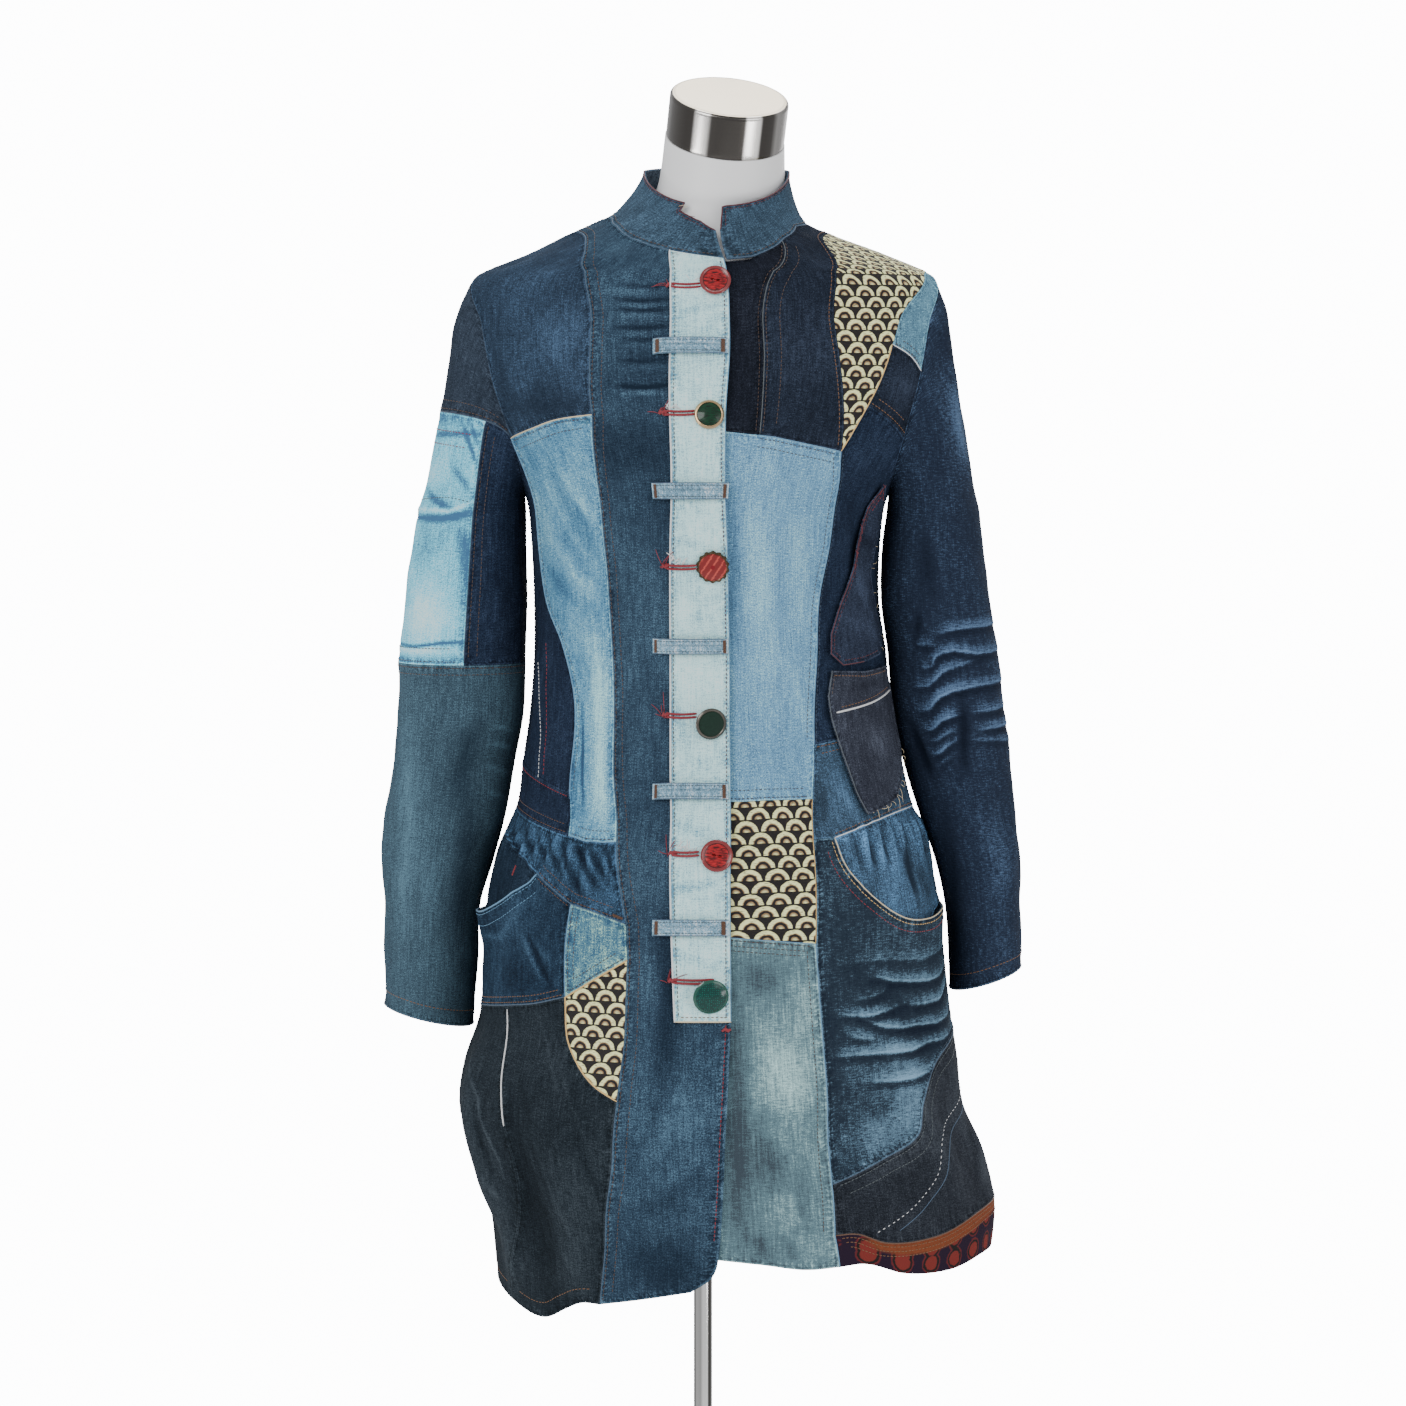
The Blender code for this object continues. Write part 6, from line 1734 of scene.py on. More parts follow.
# Stand collar. Two halves of two-ply washed denim join at the back of the neck. The right half is
# cut down to a notch in front, and all edges are turned in and topstitched in dark red.
COLLAR_RISE = 48.0
COLLAR_TOP_CENTRE = (11.5, -3.0)
COLLAR_TOP_HALF = (60.5, 58.0)
COLLAR_TOP_HEIGHT = 1520
COLLAR_FRONT_DIP = 33
COLLAR_BACK_RISE = 8
COLLAR_CURVE = 0.4
COLLAR_FLAT = 1.25
COLLAR_PIECES = {
    # side, then front edge and notch as (turn, rise) up to where the level top edge starts
    "collar_right": (-1, (
        (4.7, 0), (3.2, 12), (1.5, 25), (-5.6, 32), (-15.5, 36), (-22, 38), (-23.5, 48),
    )),
    "collar_left": (1, ((5.2, 0), (4.1, 12), (2.8, 26), (3.0, 47), (6, 48))),
}


def collar_point(turn, rise):
    """Outer surface of the collar, from the neckline up to the oval of its top edge."""
    height = np.interp((turn + 180) % 360 - 180, NECKLINE[:, 0], NECKLINE[:, 1])
    base = ring_point(turn, height)
    half_width, half_depth = COLLAR_TOP_HALF
    x, y = oval(turn, half_width, half_width, half_depth, half_depth)
    cosine = np.cos(np.radians(turn))
    z = COLLAR_TOP_HEIGHT - np.where(cosine > 0, COLLAR_FRONT_DIP, COLLAR_BACK_RISE) * cosine
    top = np.stack((COLLAR_TOP_CENTRE[0] + x, COLLAR_TOP_CENTRE[1] + y, z), axis=-1)
    share = rise / COLLAR_RISE
    inward = share + COLLAR_CURVE * share * (1 - share)
    return base + (top - base) * np.stack((inward, inward, share), axis=-1)


def collar_places(flat):
    """Turn and rise of places of the collar that are laid out flat."""
    return flat[..., 0] / COLLAR_FLAT, flat[..., 1]


def collar_loop(side, front_edge):
    """Border of half of the collar, laid flat: neckline seam, back seam, top edge and front edge,
    with a point at each small step of each."""
    start, end = front_edge[0][0], side * 180
    seam = [(turn, 0) for turn in np.linspace(start, end, 120)]
    top = [(turn, COLLAR_RISE) for turn in np.linspace(end, front_edge[-1][0], 90)]
    front = []
    for one, two in zip(front_edge[::-1], front_edge[-2::-1]):
        span = math.dist(np.multiply(one, (COLLAR_FLAT, 1)), np.multiply(two, (COLLAR_FLAT, 1)))
        steps = max(2, int(span / 2.5))
        front += [tuple(np.array(one) + (np.array(two) - one) * k / steps) for k in range(1, steps)] + [two]
    back_seam = [(end, rise) for rise in np.linspace(0, COLLAR_RISE, 16)[1:-1]]
    loop = np.array(seam + back_seam + top + front[:-1], float) * (COLLAR_FLAT, 1)
    return loop if side > 0 else loop[::-1]


collar_blue = denim("collar_washed", (34, 50, 68), (71, 96, 118), (128, 152, 170))
for name, (side, front_edge) in COLLAR_PIECES.items():
    CUTS[name] = Cut(name, collar_loop(side, front_edge), collar_point, collar_places, calm=0.6,
                     ridge=0.5, cell=2.6)
    CUTS[name].hang(collar_blue)
    back_turn = side * 178
    top = np.array([(turn, COLLAR_RISE) for turn in np.linspace(back_turn, front_edge[-1][0], 80)])
    runs = zip(front_edge[::-1], front_edge[-2:1:-1])
    notch = np.concatenate([np.linspace(one, two, 8) for one, two in runs])
    seam = np.array([(turn, 0) for turn in np.linspace(front_edge[0][0], back_turn, 80)])
    edge = np.concatenate((top, notch[1:])) * (COLLAR_FLAT, 1)
    steps = np.linalg.norm(np.diff(edge, axis=0), axis=1)
    edge = edge[np.concatenate(((True,), steps > 0.05))]
    sew(CUTS[name], edge, "wine", 3.0)
    edge_cord(CUTS[name], edge, "wine", 0.6, 0.4, 0.2)
    sew(CUTS[name], seam * (COLLAR_FLAT, 1), "brown", 3.0)
    edge_cord(CUTS[name], seam * (COLLAR_FLAT, 1), "fold", 0.42, 0.3, 0.2)
finish_sewing("collar")


# Sleeves. The right one is pieced from a dark cap, a bleached pocket panel, two dark inner pieces
# and a lower tube; the left one is a single tube. Both are set into the armholes and hemmed.

# Sleeve rings by level
SLEEVES = np.array([
    # level, right centre, right half-width, left centre, left half-width, centre's depth, half-depth
    (780, 237.0, 38.0, 241.0, 28.0, 10, 46),
    (811, 235.5, 38.0, 241.5, 28.5, 10, 46),
    (849, 234.0, 40.0, 242.5, 30.5, 10, 48),
    (897, 232.5, 40.5, 240.5, 32.0, 10, 50),
    (935, 226.5, 46.0, 235.5, 35.5, 9, 52),
    (974, 220.5, 50.5, 226.75, 40.25, 8, 53),
    (1021, 213.0, 51.5, 217.5, 45.5, 7, 54),
    (1062, 208.0, 54.0, 211.0, 48.0, 6, 55),
    (1115, 205.5, 53.5, 205.0, 47.0, 5, 56),
    (1158, 202.5, 52.0, 198.75, 46.25, 4, 57),
    (1208, 198.5, 47.5, 195.25, 41.75, 2, 58),
    (1235, 196.0, 45.0, 195.5, 38.5, 1, 59),
    (1268, 190.5, 39.0, 193.0, 35.0, 0, 60),
    (1301, 189.0, 30.0, 190.0, 28.0, 0, 60),
], float)
SLEEVE_JOIN = 1235
SLEEVE_CELL = 3.3
SLEEVE_FLAT = 0.9
CAP_ROUND = {-1: 20.0, 1: 13.0}
CAP_START = 1.5
CAP_FALL = 0.07
SLEEVE_FOLDS = {
    # side: both ends as (angle, level), height of the ridge or depth of the trough, half-width
    -1: (
        ((150, 1090), (60, 1060), -3, 15),
        ((165, 1030), (80, 1005), -3, 14),
        ((-20, 1000), (30, 900), 2.5, 16),
        ((-150, 1080), (-70, 1050), -3, 15),
        ((30, 1190), (90, 1160), -2.5, 12),
    ),
    1: (
        ((165, 1130), (70, 1100), -3, 15),
        ((160, 1060), (60, 1035), -3, 14),
        ((20, 1000), (60, 890), 2.5, 16),
        ((-160, 1100), (-70, 1070), -3, 15),
        ((40, 1075), (110, 1050), 2.5, 12),
    ),
}
CAP_SEAM_LEVEL = 1295.5
CAP_SEAM_SAG = 6.7
CAP_SEAM_END = 120
ELBOW_SEAM_LEVEL = 1105
RIGHT_CUFF = (802, 9)
LEFT_CUFF = (834, 10)


def sleeve_ring(side, angle, level):
    """The sleeve's oval at a level: angle 0 on its outer side, 90 in front, 180 next to the body."""
    columns = (1, 2, 5, 6) if side < 0 else (3, 4, 5, 6)
    out, half_width, centre, half_depth = read(SLEEVES, level, *columns)
    angle = np.radians(angle)
    x = side * (out + half_width * np.cos(angle))
    y = centre - half_depth * np.sin(angle)
    return np.stack((x, y, level + 0 * x), axis=-1)


def sleeve_base(side):
    """Surface of a sleeve: a smooth curve from each point of the armhole down to the first ring."""
    def point(angle, level):
        """A cubic curve above the first ring, and the rings' own ovals below it."""
        turn, height = armhole_place(side, angle)
        fall = height - SLEEVE_JOIN
        share = ((height - level) / fall)[..., None]
        start = coat_point(turn, height)
        round_over = CAP_START + CAP_ROUND[side] * np.cos(np.radians(angle) / 2) ** 2
        shoulder = start + np.stack((side * round_over, 0 * fall, -CAP_FALL * fall), axis=-1)
        elbow_side = sleeve_ring(side, angle, SLEEVE_JOIN + fall / 3)
        foot = sleeve_ring(side, angle, SLEEVE_JOIN + 0 * fall)
        cap = (start * (1 - share)**3 + 3 * shoulder * share * (1 - share)**2
               + 3 * elbow_side * share**2 * (1 - share) + foot * share**3)
        return np.where((level >= SLEEVE_JOIN)[..., None], cap, sleeve_ring(side, angle, level))
    return point


def sleeve_surface(side):
    """The sleeve with its folds, which are lower towards both their ends."""
    base = sleeve_base(side)

    def point(angle, level):
        """The smooth sleeve, moved out by the sum of its ridges and troughs."""
        angle = angle + 0 * level
        level = level + 0 * angle
        flat = np.stack((SLEEVE_FLAT * angle, level), axis=-1)
        total = np.zeros(angle.shape)
        for start, end, rise, half_width in SLEEVE_FOLDS[side]:
            ends = np.array((start, end), float) * (SLEEVE_FLAT, 1)
            distance, share = near_line(flat, ends[0], ends[1])
            along = np.sin(math.pi * (0.1 + 0.8 * share))
            total += rise * along * np.exp(-(distance / half_width) ** 2)
        return base(angle, level) - side * normals(base, angle, level) * total[..., None]
    return point


def sleeve_places(flat):
    """Angle and level of places of a sleeve that are laid out flat."""
    return flat[..., 0] / SLEEVE_FLAT, flat[..., 1]


def armhole_level(angle):
    """Height of the armhole seam at an angle."""
    return ARMHOLE_HEIGHT + ARMHOLE_HALF_HEIGHT * np.cos(np.radians(angle))


def cap_seam_level(angle):
    """Seam under the right sleeve's cap, which ends on the armhole on each side."""
    across = np.cos(np.radians(angle)) - math.cos(math.radians(CAP_SEAM_END))
    seam = CAP_SEAM_LEVEL + CAP_SEAM_SAG * across
    return np.where(np.abs(angle) <= CAP_SEAM_END, seam, armhole_level(angle))


def elbow_seam_level(angle):
    """The right sleeve's level seam below the elbow."""
    return ELBOW_SEAM_LEVEL + 0 * angle


def right_cuff_level(angle):
    """The right cuff, by its middle level and slant: it hangs lower on its inner side."""
    return RIGHT_CUFF[0] + RIGHT_CUFF[1] * np.cos(np.radians(angle))


def left_cuff_level(angle):
    """The left cuff, by its own level and slant."""
    return LEFT_CUFF[0] + LEFT_CUFF[1] * np.cos(np.radians(angle))


SLEEVE_PIECES = {
    # piece: side, the two angles it lies between, its top and bottom edges
    "sleeve_right_cap": (-1, -120, 120, armhole_level, cap_seam_level),
    "sleeve_right_pocket_panel": (-1, -72, 96, cap_seam_level, elbow_seam_level),
    "sleeve_right_inner_front": (-1, 96, 180, cap_seam_level, elbow_seam_level),
    "sleeve_right_inner_back": (-1, -180, -72, cap_seam_level, elbow_seam_level),
    "sleeve_right_lower": (-1, -180, 180, elbow_seam_level, right_cuff_level),
    "sleeve_left": (1, -180, 180, armhole_level, left_cuff_level),
}
ELBOW_WHISKERS = (
    # path of a bleached whisker round the left elbow, by angle and level, and its strength
    (((98, 1131), (85, 1135), (67, 1137), (17, 1139), (-30, 1141)), 0.8),
    (((126, 1122), (102, 1122)), 0.55),
    (((119, 1103), (108, 1104), (104, 1112), (95, 1116), (83, 1118), (58, 1115), (14, 1117),
      (-30, 1120)), 0.9),
    (((130, 1087), (113, 1088), (106, 1093), (97, 1100), (80, 1105), (55, 1111)), 0.8),
    (((127, 1066), (114, 1068), (109, 1073), (102, 1079), (88, 1084), (62, 1088), (16, 1091),
      (-35, 1093)), 1.0),
    (((72, 1066), (51, 1067), (14, 1069), (-30, 1072)), 0.7),
    (((125, 1050), (114, 1051), (103, 1059), (90, 1063), (82, 1065)), 0.9),
    (((68, 1051), (45, 1052), (0, 1054), (-40, 1056)), 0.8),
    (((119, 1041), (112, 1042), (97, 1049), (88, 1053)), 0.5),
    (((121, 1030), (111, 1031), (100, 1038), (88, 1044)), 0.8),
    (((80, 1043), (56, 1042), (8, 1039), (-30, 1038)), 0.45),
    (((116, 1019), (107, 1025), (94, 1031)), 0.35),
)
SLEEVE_CREASES = {
    # piece: creases as on the body, whose paths are given by angle and level
    "sleeve_left": [
        *whiskers(ELBOW_WHISKERS),
        # dark folds round the elbow, darker with painted shade
        (((80, 1078), (82, 1049), (88, 1015)), -1.0, 4.5, -0.42),
        (((111, 1150), (126, 1122)), -0.8, 3.5, -0.32),
        (((143, 1053), (126, 1010)), -2.2, 5, -0.62),
        (((45, 1328), (30, 1264)), 0, 14, 0.26),
        (((72, 1423), (45, 1376)), 0, 12, 0.15),
        (((104, 1216), (99, 1168)), 0, 8, -0.25),
        (((61, 988), (68, 878)), 0, 12, 0.10),
        (((116, 988), (156, 846)), 0, 9, -0.22),
    # darker towards the body below the elbow: painted shade
    ],
    "sleeve_right_lower": [
        (((35, 1074), (58, 970), (55, 849)), 0, 13, 0.27),
        # darker towards the body, and down a slanted sunk fold: painted shade
        (((104, 1041), (138, 848)), 0, 12, -0.34),
        (((117, 1069), (94, 992)), -1.2, 10, -0.27),
        (((126, 1053), (156, 1048)), 0.7, 2, 0.34),
        (((127, 1039), (162, 1031)), 0.7, 2, 0.34),
        (((129, 1019), (166, 1009)), 0.6, 2, 0.28),
        (((130, 998), (163, 989)), 0.6, 2, 0.24),
        (((77, 960), (98, 878)), 0.6, 9, 0.12),
    ],
    "sleeve_right_pocket_panel": [
        (((-20, 1236), (53, 1235), (68, 1234), (82, 1238), (99, 1243)), 1.4, 1.8, 0.45),
        # a dark line of painted shadow under the welt; dark folds near it and a band under the cap seam are
        # painted shade
        (((-20, 1229), (61, 1228), (83, 1231), (97, 1233)), -1.5, 2.6, -1.0),
        (((20, 1252), (50, 1242), (72, 1237)), -1.0, 2.4, -0.7),
        (((8, 1290), (99, 1288)), -0.4, 1.9, -0.6),
        (((-60, 1300), (96, 1300)), 0, 6, -0.34),
        (((67, 1297), (83, 1280), (94, 1266)), -0.9, 1.9, -0.7),
        (((57, 1271), (94, 1247)), -0.9, 2.4, -0.42),
        (((78, 1297), (92, 1280)), -0.6, 1.8, -0.5),
        (((10, 1262), (60, 1262)), 0.7, 8, 0.16),
        (((78, 1226), (94, 1196), (103, 1172)), -0.6, 6, -0.4),
        (((30, 1146), (81, 1142)), 0, 24, 0.45),
        (((-40, 1123), (45, 1120), (77, 1124), (105, 1125)), -0.5, 1.4, -0.9),
        (((-40, 1117), (101, 1118)), 0.4, 2.6, 0.3),
        (((-40, 1108), (101, 1109)), 0, 2.6, -0.5),
        (((90, 1240), (94, 1110)), 0, 5, -0.3),
        (((-50, 1205), (80, 1206)), 0, 16, -0.14),
    ],
}
sleeve_finishes = {
    "sleeve_right_cap": denim("cap_grey", (26, 36, 50), (55, 68, 86), (106, 122, 140)),
    "sleeve_right_pocket_panel": denim("pocket_panel", (90, 134, 164), (154, 194, 210), (208, 234, 234)),
    "sleeve_right_inner_front": side_navy,
    "sleeve_right_inner_back": side_navy,
    "sleeve_right_lower": denim("sleeve_mid", (36, 56, 74), (78, 105, 122), (132, 158, 170), blotch=0.5),
    "sleeve_left": denim("sleeve_navy", (16, 25, 42), (40, 53, 77), (140, 160, 180), slub=0.4,
                         grain=0.75, blotch=0.4),
}


def sleeve_cut(name):
    """Border of a sleeve piece laid flat, its angles counted the other way round on the left."""
    side, first, last, top, bottom = SLEEVE_PIECES[name]
    angles = np.linspace(first, last, int((last - first) * SLEEVE_FLAT / SAMPLE) + 1)
    upper = np.stack((angles, top(angles)), axis=-1)
    lower = np.stack((angles, bottom(angles)), axis=-1)
    parts = [lower]
    for start, end in ((lower[-1], upper[-1]), (upper[0], lower[0])):
        steps = int(abs(end[1] - start[1]) / SAMPLE)
        parts.append(np.linspace(start, end, steps + 1)[1:-1] if steps > 1 else np.empty((0, 2)))
    upper = upper[::-1] if name != "sleeve_right_cap" else upper[-2:0:-1]
    loop = np.concatenate((parts[0], parts[1], upper, parts[2])) * (SLEEVE_FLAT, 1)
    surface = sleeve_surface(side)
    loop = loop * (-side, 1)

    def mirrored(angle, level):
        """The sleeve's surface, with the angle's sign as on the right."""
        return surface(-side * angle, level)
    creases = [([(-side * SLEEVE_FLAT * angle, level) for angle, level in path], *rest)
               for path, *rest in SLEEVE_CREASES.get(name, ())]
    return Cut(name, loop if side < 0 else loop[::-1], mirrored, sleeve_places, creases=creases,
               cell=SLEEVE_CELL)


for name in SLEEVE_PIECES:
    CUTS[name] = sleeve_cut(name)
    CUTS[name].hang(sleeve_finishes[name])


def sleeve_row(name, level, offset, colour):
    """A row of stitches round a sleeve beside one of its seams."""
    side, low, high = SLEEVE_PIECES[name][:3]
    angles = np.linspace(low, high, 120)[1:-1]
    line = np.stack((-side * SLEEVE_FLAT * angles, level(angles)), axis=-1)
    sew(CUTS[name], line, colour, offset)


def sleeve_line(name, places):
    """Flat line on a sleeve through places given by angle and level."""
    side = SLEEVE_PIECES[name][0]
    return smooth_line([(-side * SLEEVE_FLAT * angle, level) for angle, level in places])


for name, level, offset, colour in (
    ("sleeve_right_cap", cap_seam_level, 2.4, "brown"),
    ("sleeve_right_cap", cap_seam_level, 8, "brown"),
    ("sleeve_right_pocket_panel", cap_seam_level, 12, "red"),
    ("sleeve_right_pocket_panel", cap_seam_level, 21, "red"),
    ("sleeve_right_pocket_panel", elbow_seam_level, 3, "brown"),
    ("sleeve_right_pocket_panel", elbow_seam_level, 14, "brown"),
    ("sleeve_right_lower", elbow_seam_level, 2.4, "brown"),
    ("sleeve_right_lower", elbow_seam_level, 8, "brown"),
    ("sleeve_right_lower", right_cuff_level, 13, "orange"),
    ("sleeve_left", left_cuff_level, 13, "orange"),
):
    sleeve_row(name, level, offset, colour)
front_seam = sleeve_line("sleeve_right_pocket_panel", ((96, 1296), (96, 1107)))
for offset in (3.0, 10.0):
    sew(CUTS["sleeve_right_inner_front"], front_seam, "brown", offset)
edge_cord(CUTS["sleeve_right_pocket_panel"], front_seam, "blue", 0.5, 0.3, 0.1)
cap_angles = np.linspace(-118, 118, 120)
cap_seam = np.stack((SLEEVE_FLAT * cap_angles, cap_seam_level(cap_angles)), axis=-1)
edge_cord(CUTS["sleeve_right_cap"], cap_seam, "blue", 0.5, 0.0, 0.0)
welt = sleeve_line("sleeve_right_pocket_panel", ((-60, 1243), (0, 1243), (67, 1245), (94, 1241)))
sew(CUTS["sleeve_right_pocket_panel"], welt, "brown")
for name, level in (("sleeve_right_lower", right_cuff_level), ("sleeve_left", left_cuff_level)):
    around = np.linspace(-179, 179, 150)
    edge_cord(CUTS[name], np.stack((SLEEVE_FLAT * around, level(around)), axis=-1), "fold", 0.6, 0.3, 0.0)
finish_sewing("sleeves")


# Button strip. One layer of very pale grey-blue denim is sewn flat on the right front from the neck
# to below the last button, with a white turned edge on its left and purple-brown stitches.

# Thickness of the single layer that trims are cut from, and the gap to the cloth under them
TRIM_CLOTH = 1.2
REST_GAP = 0.3
pale_grey = denim("strip_pale", (132, 166, 180), (200, 219, 221), (226, 240, 240), grain=1.2)
STRIP_CREASES = (
    (((-12, 1405), (-4, 1398), (4, 1404)), 0.4, 4, -0.2),
    (((-9, 1340), (-3, 1300)), 0, 8, 0.14),
    (((-11, 1215), (2, 1206)), 0.4, 4, -0.16),
    (((-10, 1160), (-2, 1148)), 0, 9, 0.14),
    (((-9, 1093), (-3, 1032)), 0, 8, -0.14),
    (((-10, 985), (4, 968)), 0.4, 4, -0.18),
    (((-10, 925), (3, 934)), 0.5, 3.5, -0.26),
    (((-9, 882), (4, 864)), 0.5, 4, -0.2),
    (((-8, 835), (2, 818)), 0, 8, 0.14),
)


def strip_loop():
    """Border of the button strip: left edge, bottom, front edge and neckline."""
    corners = ("strip1", "strip2", "edge2", "edge1", "strip1")
    lines = [seam_line(*pair) for pair in zip(corners, corners[1:])]
    return np.concatenate([line[:-1] for line in lines])


def strip_creases():
    """Creases of the strip: its own ones, and the bluer cloth along its two long edges."""
    creases = laid(STRIP_CREASES)
    for names in (("strip1", "strip2"), ("edge1", "edge2")):
        line = seam_line(*names)[::12]
        creases.append((line, 0, 4.0, -0.28))
    return creases


raised = REST_GAP + TRIM_CLOTH
CUTS["placket_strip"] = Cut("placket_strip", strip_loop(), coat_point, from_flat,
                            lift=lambda flat: raised + nothing(flat), thickness=TRIM_CLOTH, ridge=0.2,
                            calm=0.15, cell=3.0, creases=strip_creases())
CUTS["placket_strip"].hang(pale_grey)
seam_rows((
    ("placket_strip", "strip1 strip2", (3.2,), "brown"),
    ("placket_strip", "strip2 edge2", (4,), "orange"),
    ("placket_strip", "edge1 edge2", (3,), "wine"),
))
edge_rows((
    ("placket_strip", "strip1 strip2", "white", 0.74, 0.5, 0.2),
    ("placket_strip", "strip2 edge2", "cream", 0.62, 0.4, 0.0),
    ("placket_strip", "edge1 edge2", "pale", 0.39, 0.3, 0.0),
))


# Belt loops. Five narrow folded loops of pale denim bridge the strip. Their ends are turned under
# and held with close rust-brown bartacks, and a grey row runs along each long edge.
LOOP_HEIGHTS = (1369, 1252, 1125, 1006, 898)
LOOP_ENDS = (-41, 20.5)
LOOP_WIDTH = 13
LOOP_ARCH = 2.6
LOOP_STEP_UP = (4.5, 3.5)


def turn_at(x, height):
    """Turn of the front point that lies x to the wearer's left of the middle: the oval's rule for
    its width, solved for the turn."""
    half_width = read(SECTIONS, height, 2 if x > 0 else 1)[0]
    return math.copysign(math.degrees(math.asin((abs(x) / half_width) ** (RING_POWER / 2))), x)


def strip_turn(height):
    """Turn of the button strip's left edge."""
    turn, heights = from_flat(seam_line("strip1", "strip2"))
    return np.interp(height, heights[::-1], turn[::-1])


loop_blue = denim("loop_pale", (116, 138, 152), (160, 180, 190), (212, 222, 224), wear=0.5)
for k, middle in enumerate(LOOP_HEIGHTS):
    name = f"placket_loop_{k + 1}"
    first, last = (turn_at(x, middle) for x in LOOP_ENDS)
    rows = (middle - LOOP_WIDTH / 2, middle + LOOP_WIDTH / 2)
    turns = np.linspace(first, last, 28)
    ends = [np.linspace(rows[0], rows[1], 6)[1:-1], np.linspace(rows[1], rows[0], 6)[1:-1]]
    loop = np.concatenate((to_flat(turns, rows[0] + 0 * turns), to_flat(last + 0 * ends[0], ends[0]),
                           to_flat(turns[::-1], rows[1] + 0 * turns), to_flat(first + 0 * ends[1], ends[1])))

    def arched(flat, first=first, last=last, middle=middle):
        """A step up onto the strip, and a low arch from end to end."""
        turn = flat[:, 0] / GIRTH_PER_DEGREE
        share = np.clip((turn - first) / (last - first), 0, 1)
        before, reach = LOOP_STEP_UP
        step_up = raised * ease((turn - strip_turn(middle) + before) / reach)
        return 2 * REST_GAP + TRIM_CLOTH + step_up + LOOP_ARCH * np.sin(math.pi * share) ** 0.7

    CUTS[name] = Cut(name, loop, coat_point, from_flat, lift=arched, thickness=TRIM_CLOTH, ridge=0.15,
                     calm=0.1, gap=0.0, cell=2.4)
    CUTS[name].hang(loop_blue)
    for edge in rows:
        line = to_flat(turns, edge + 0 * turns)
        sew(CUTS[name], line, "grey", 2.2, 2.6, 2.0)
        edge_cord(CUTS[name], line, "fold", 0.4, 0.3, -0.1)
    for x_turn in (first, last):
        inward = 1 if x_turn < 0 else -1
        bartack(CUTS[name], (x_turn + inward * 1.0, middle), "rust", 10.5, 3.0, 90, 0.68)
finish_sewing("strip")


# Flap and tab at the left side. A belt loop from an old waistband and a dark facing hang free over
# the side, each a single layer of near-black denim with coloured topstitching and a frayed edge.
HANGING = {
    "side_flap": ((66, 1258), (60, 1240), (58, 1216), (54, 1189), (46, 1157), (41, 1134), (40, 1117),
                  (45, 1107), (56, 1109), (68, 1114), (75, 1136), (73, 1157), (69, 1182), (70, 1207),
                  (72, 1225), (71, 1246)),
    "side_tab": ((40, 1103), (38, 1082), (38.5, 1065), (41, 1034), (44, 1002), (47, 983), (55, 987),
                 (64, 994), (73, 1012), (80, 1036), (81, 1063), (78, 1083), (73, 1104), (56, 1101)),
}
HANGING_CREASES = {
    "side_flap": ((((55, 1185), (66, 1158)), 0, 14, 0.26), (((46.5, 1144), (69, 1133)), 0, 9, 0.16),
                  (((56, 1215), (71, 1205)), -0.8, 5, -0.2)),
    "side_tab": ((((50, 1047), (67.5, 1038)), 0, 12, 0.18), (((46, 1088), (70, 1092)), -0.5, 4, -0.15)),
}
HANGING_ROWS = (
    # piece, corners of its border passed, distance in, colour
    ("side_flap", 0, 7, 4.5, "wine"),
    ("side_flap", 7, 9, 4.0, "wine"),
    ("side_flap", 0, 1, 9.0, "red"),
    ("side_flap", 15, 16, 4.0, "red"),
    ("side_tab", 0, 1, 4.0, "brown"),
    ("side_tab", 12, 14, 4.0, "orange"),
)
# How far the outer face of a hanging piece lies off the coat's, with its own thickness
HANGING_LIFT = 1.5 + CLOTH + 0.7
flap_navy = denim("flap_navy", (22, 28, 44), (50, 60, 82), (108, 122, 146))
tab_black = denim("tab_black", (28, 32, 44), (64, 70, 86), (130, 136, 150), cross=0.5)


def border_line(name, start=0, end=None):
    """Flat line along the border of a hanging piece, from one of its corners to another."""
    corners = np.array([to_flat(*corner) for corner in HANGING[name]])
    corners = np.concatenate((corners, corners[:1]))[start:None if end is None else end + 1]
    line = []
    for one, two in zip(corners, corners[1:]):
        steps = max(1, int(round(np.linalg.norm(two - one) / SAMPLE)))
        line.append(one + (two - one) * (np.arange(steps) / steps)[:, None])
    return np.concatenate((*line, corners[-1:]))


def fray(cut, line, colour, every, length, outward=1.0, radius=0.2):
    """Loose threads along a flat line: each starts near it, runs out on one side and curls."""
    passed = lengths_along(line)
    side = outward * left_of(line)
    share = np.linspace(0, 1, 7)[:, None]
    for at in np.arange(rng.uniform(0, every), passed[-1], every):
        at = min(passed[-1], at + rng.uniform(-0.4, 0.4) * every)
        start, way = (at_lengths(at, passed, table) for table in (line, side))
        way = way + rng.normal(0, 0.55, 2)
        bend = rng.normal(0, 0.6, 2)
        path = start - way + (way * share + bend * share**2) * length * rng.uniform(0.5, 1.3)
        points, normal = cut.outer(path, rng.uniform(0.6, 2.6) * np.sin(math.pi * share[:, 0] * 0.7) + 0.3)
        lay_cord(points, normal, radius, colour, 4)


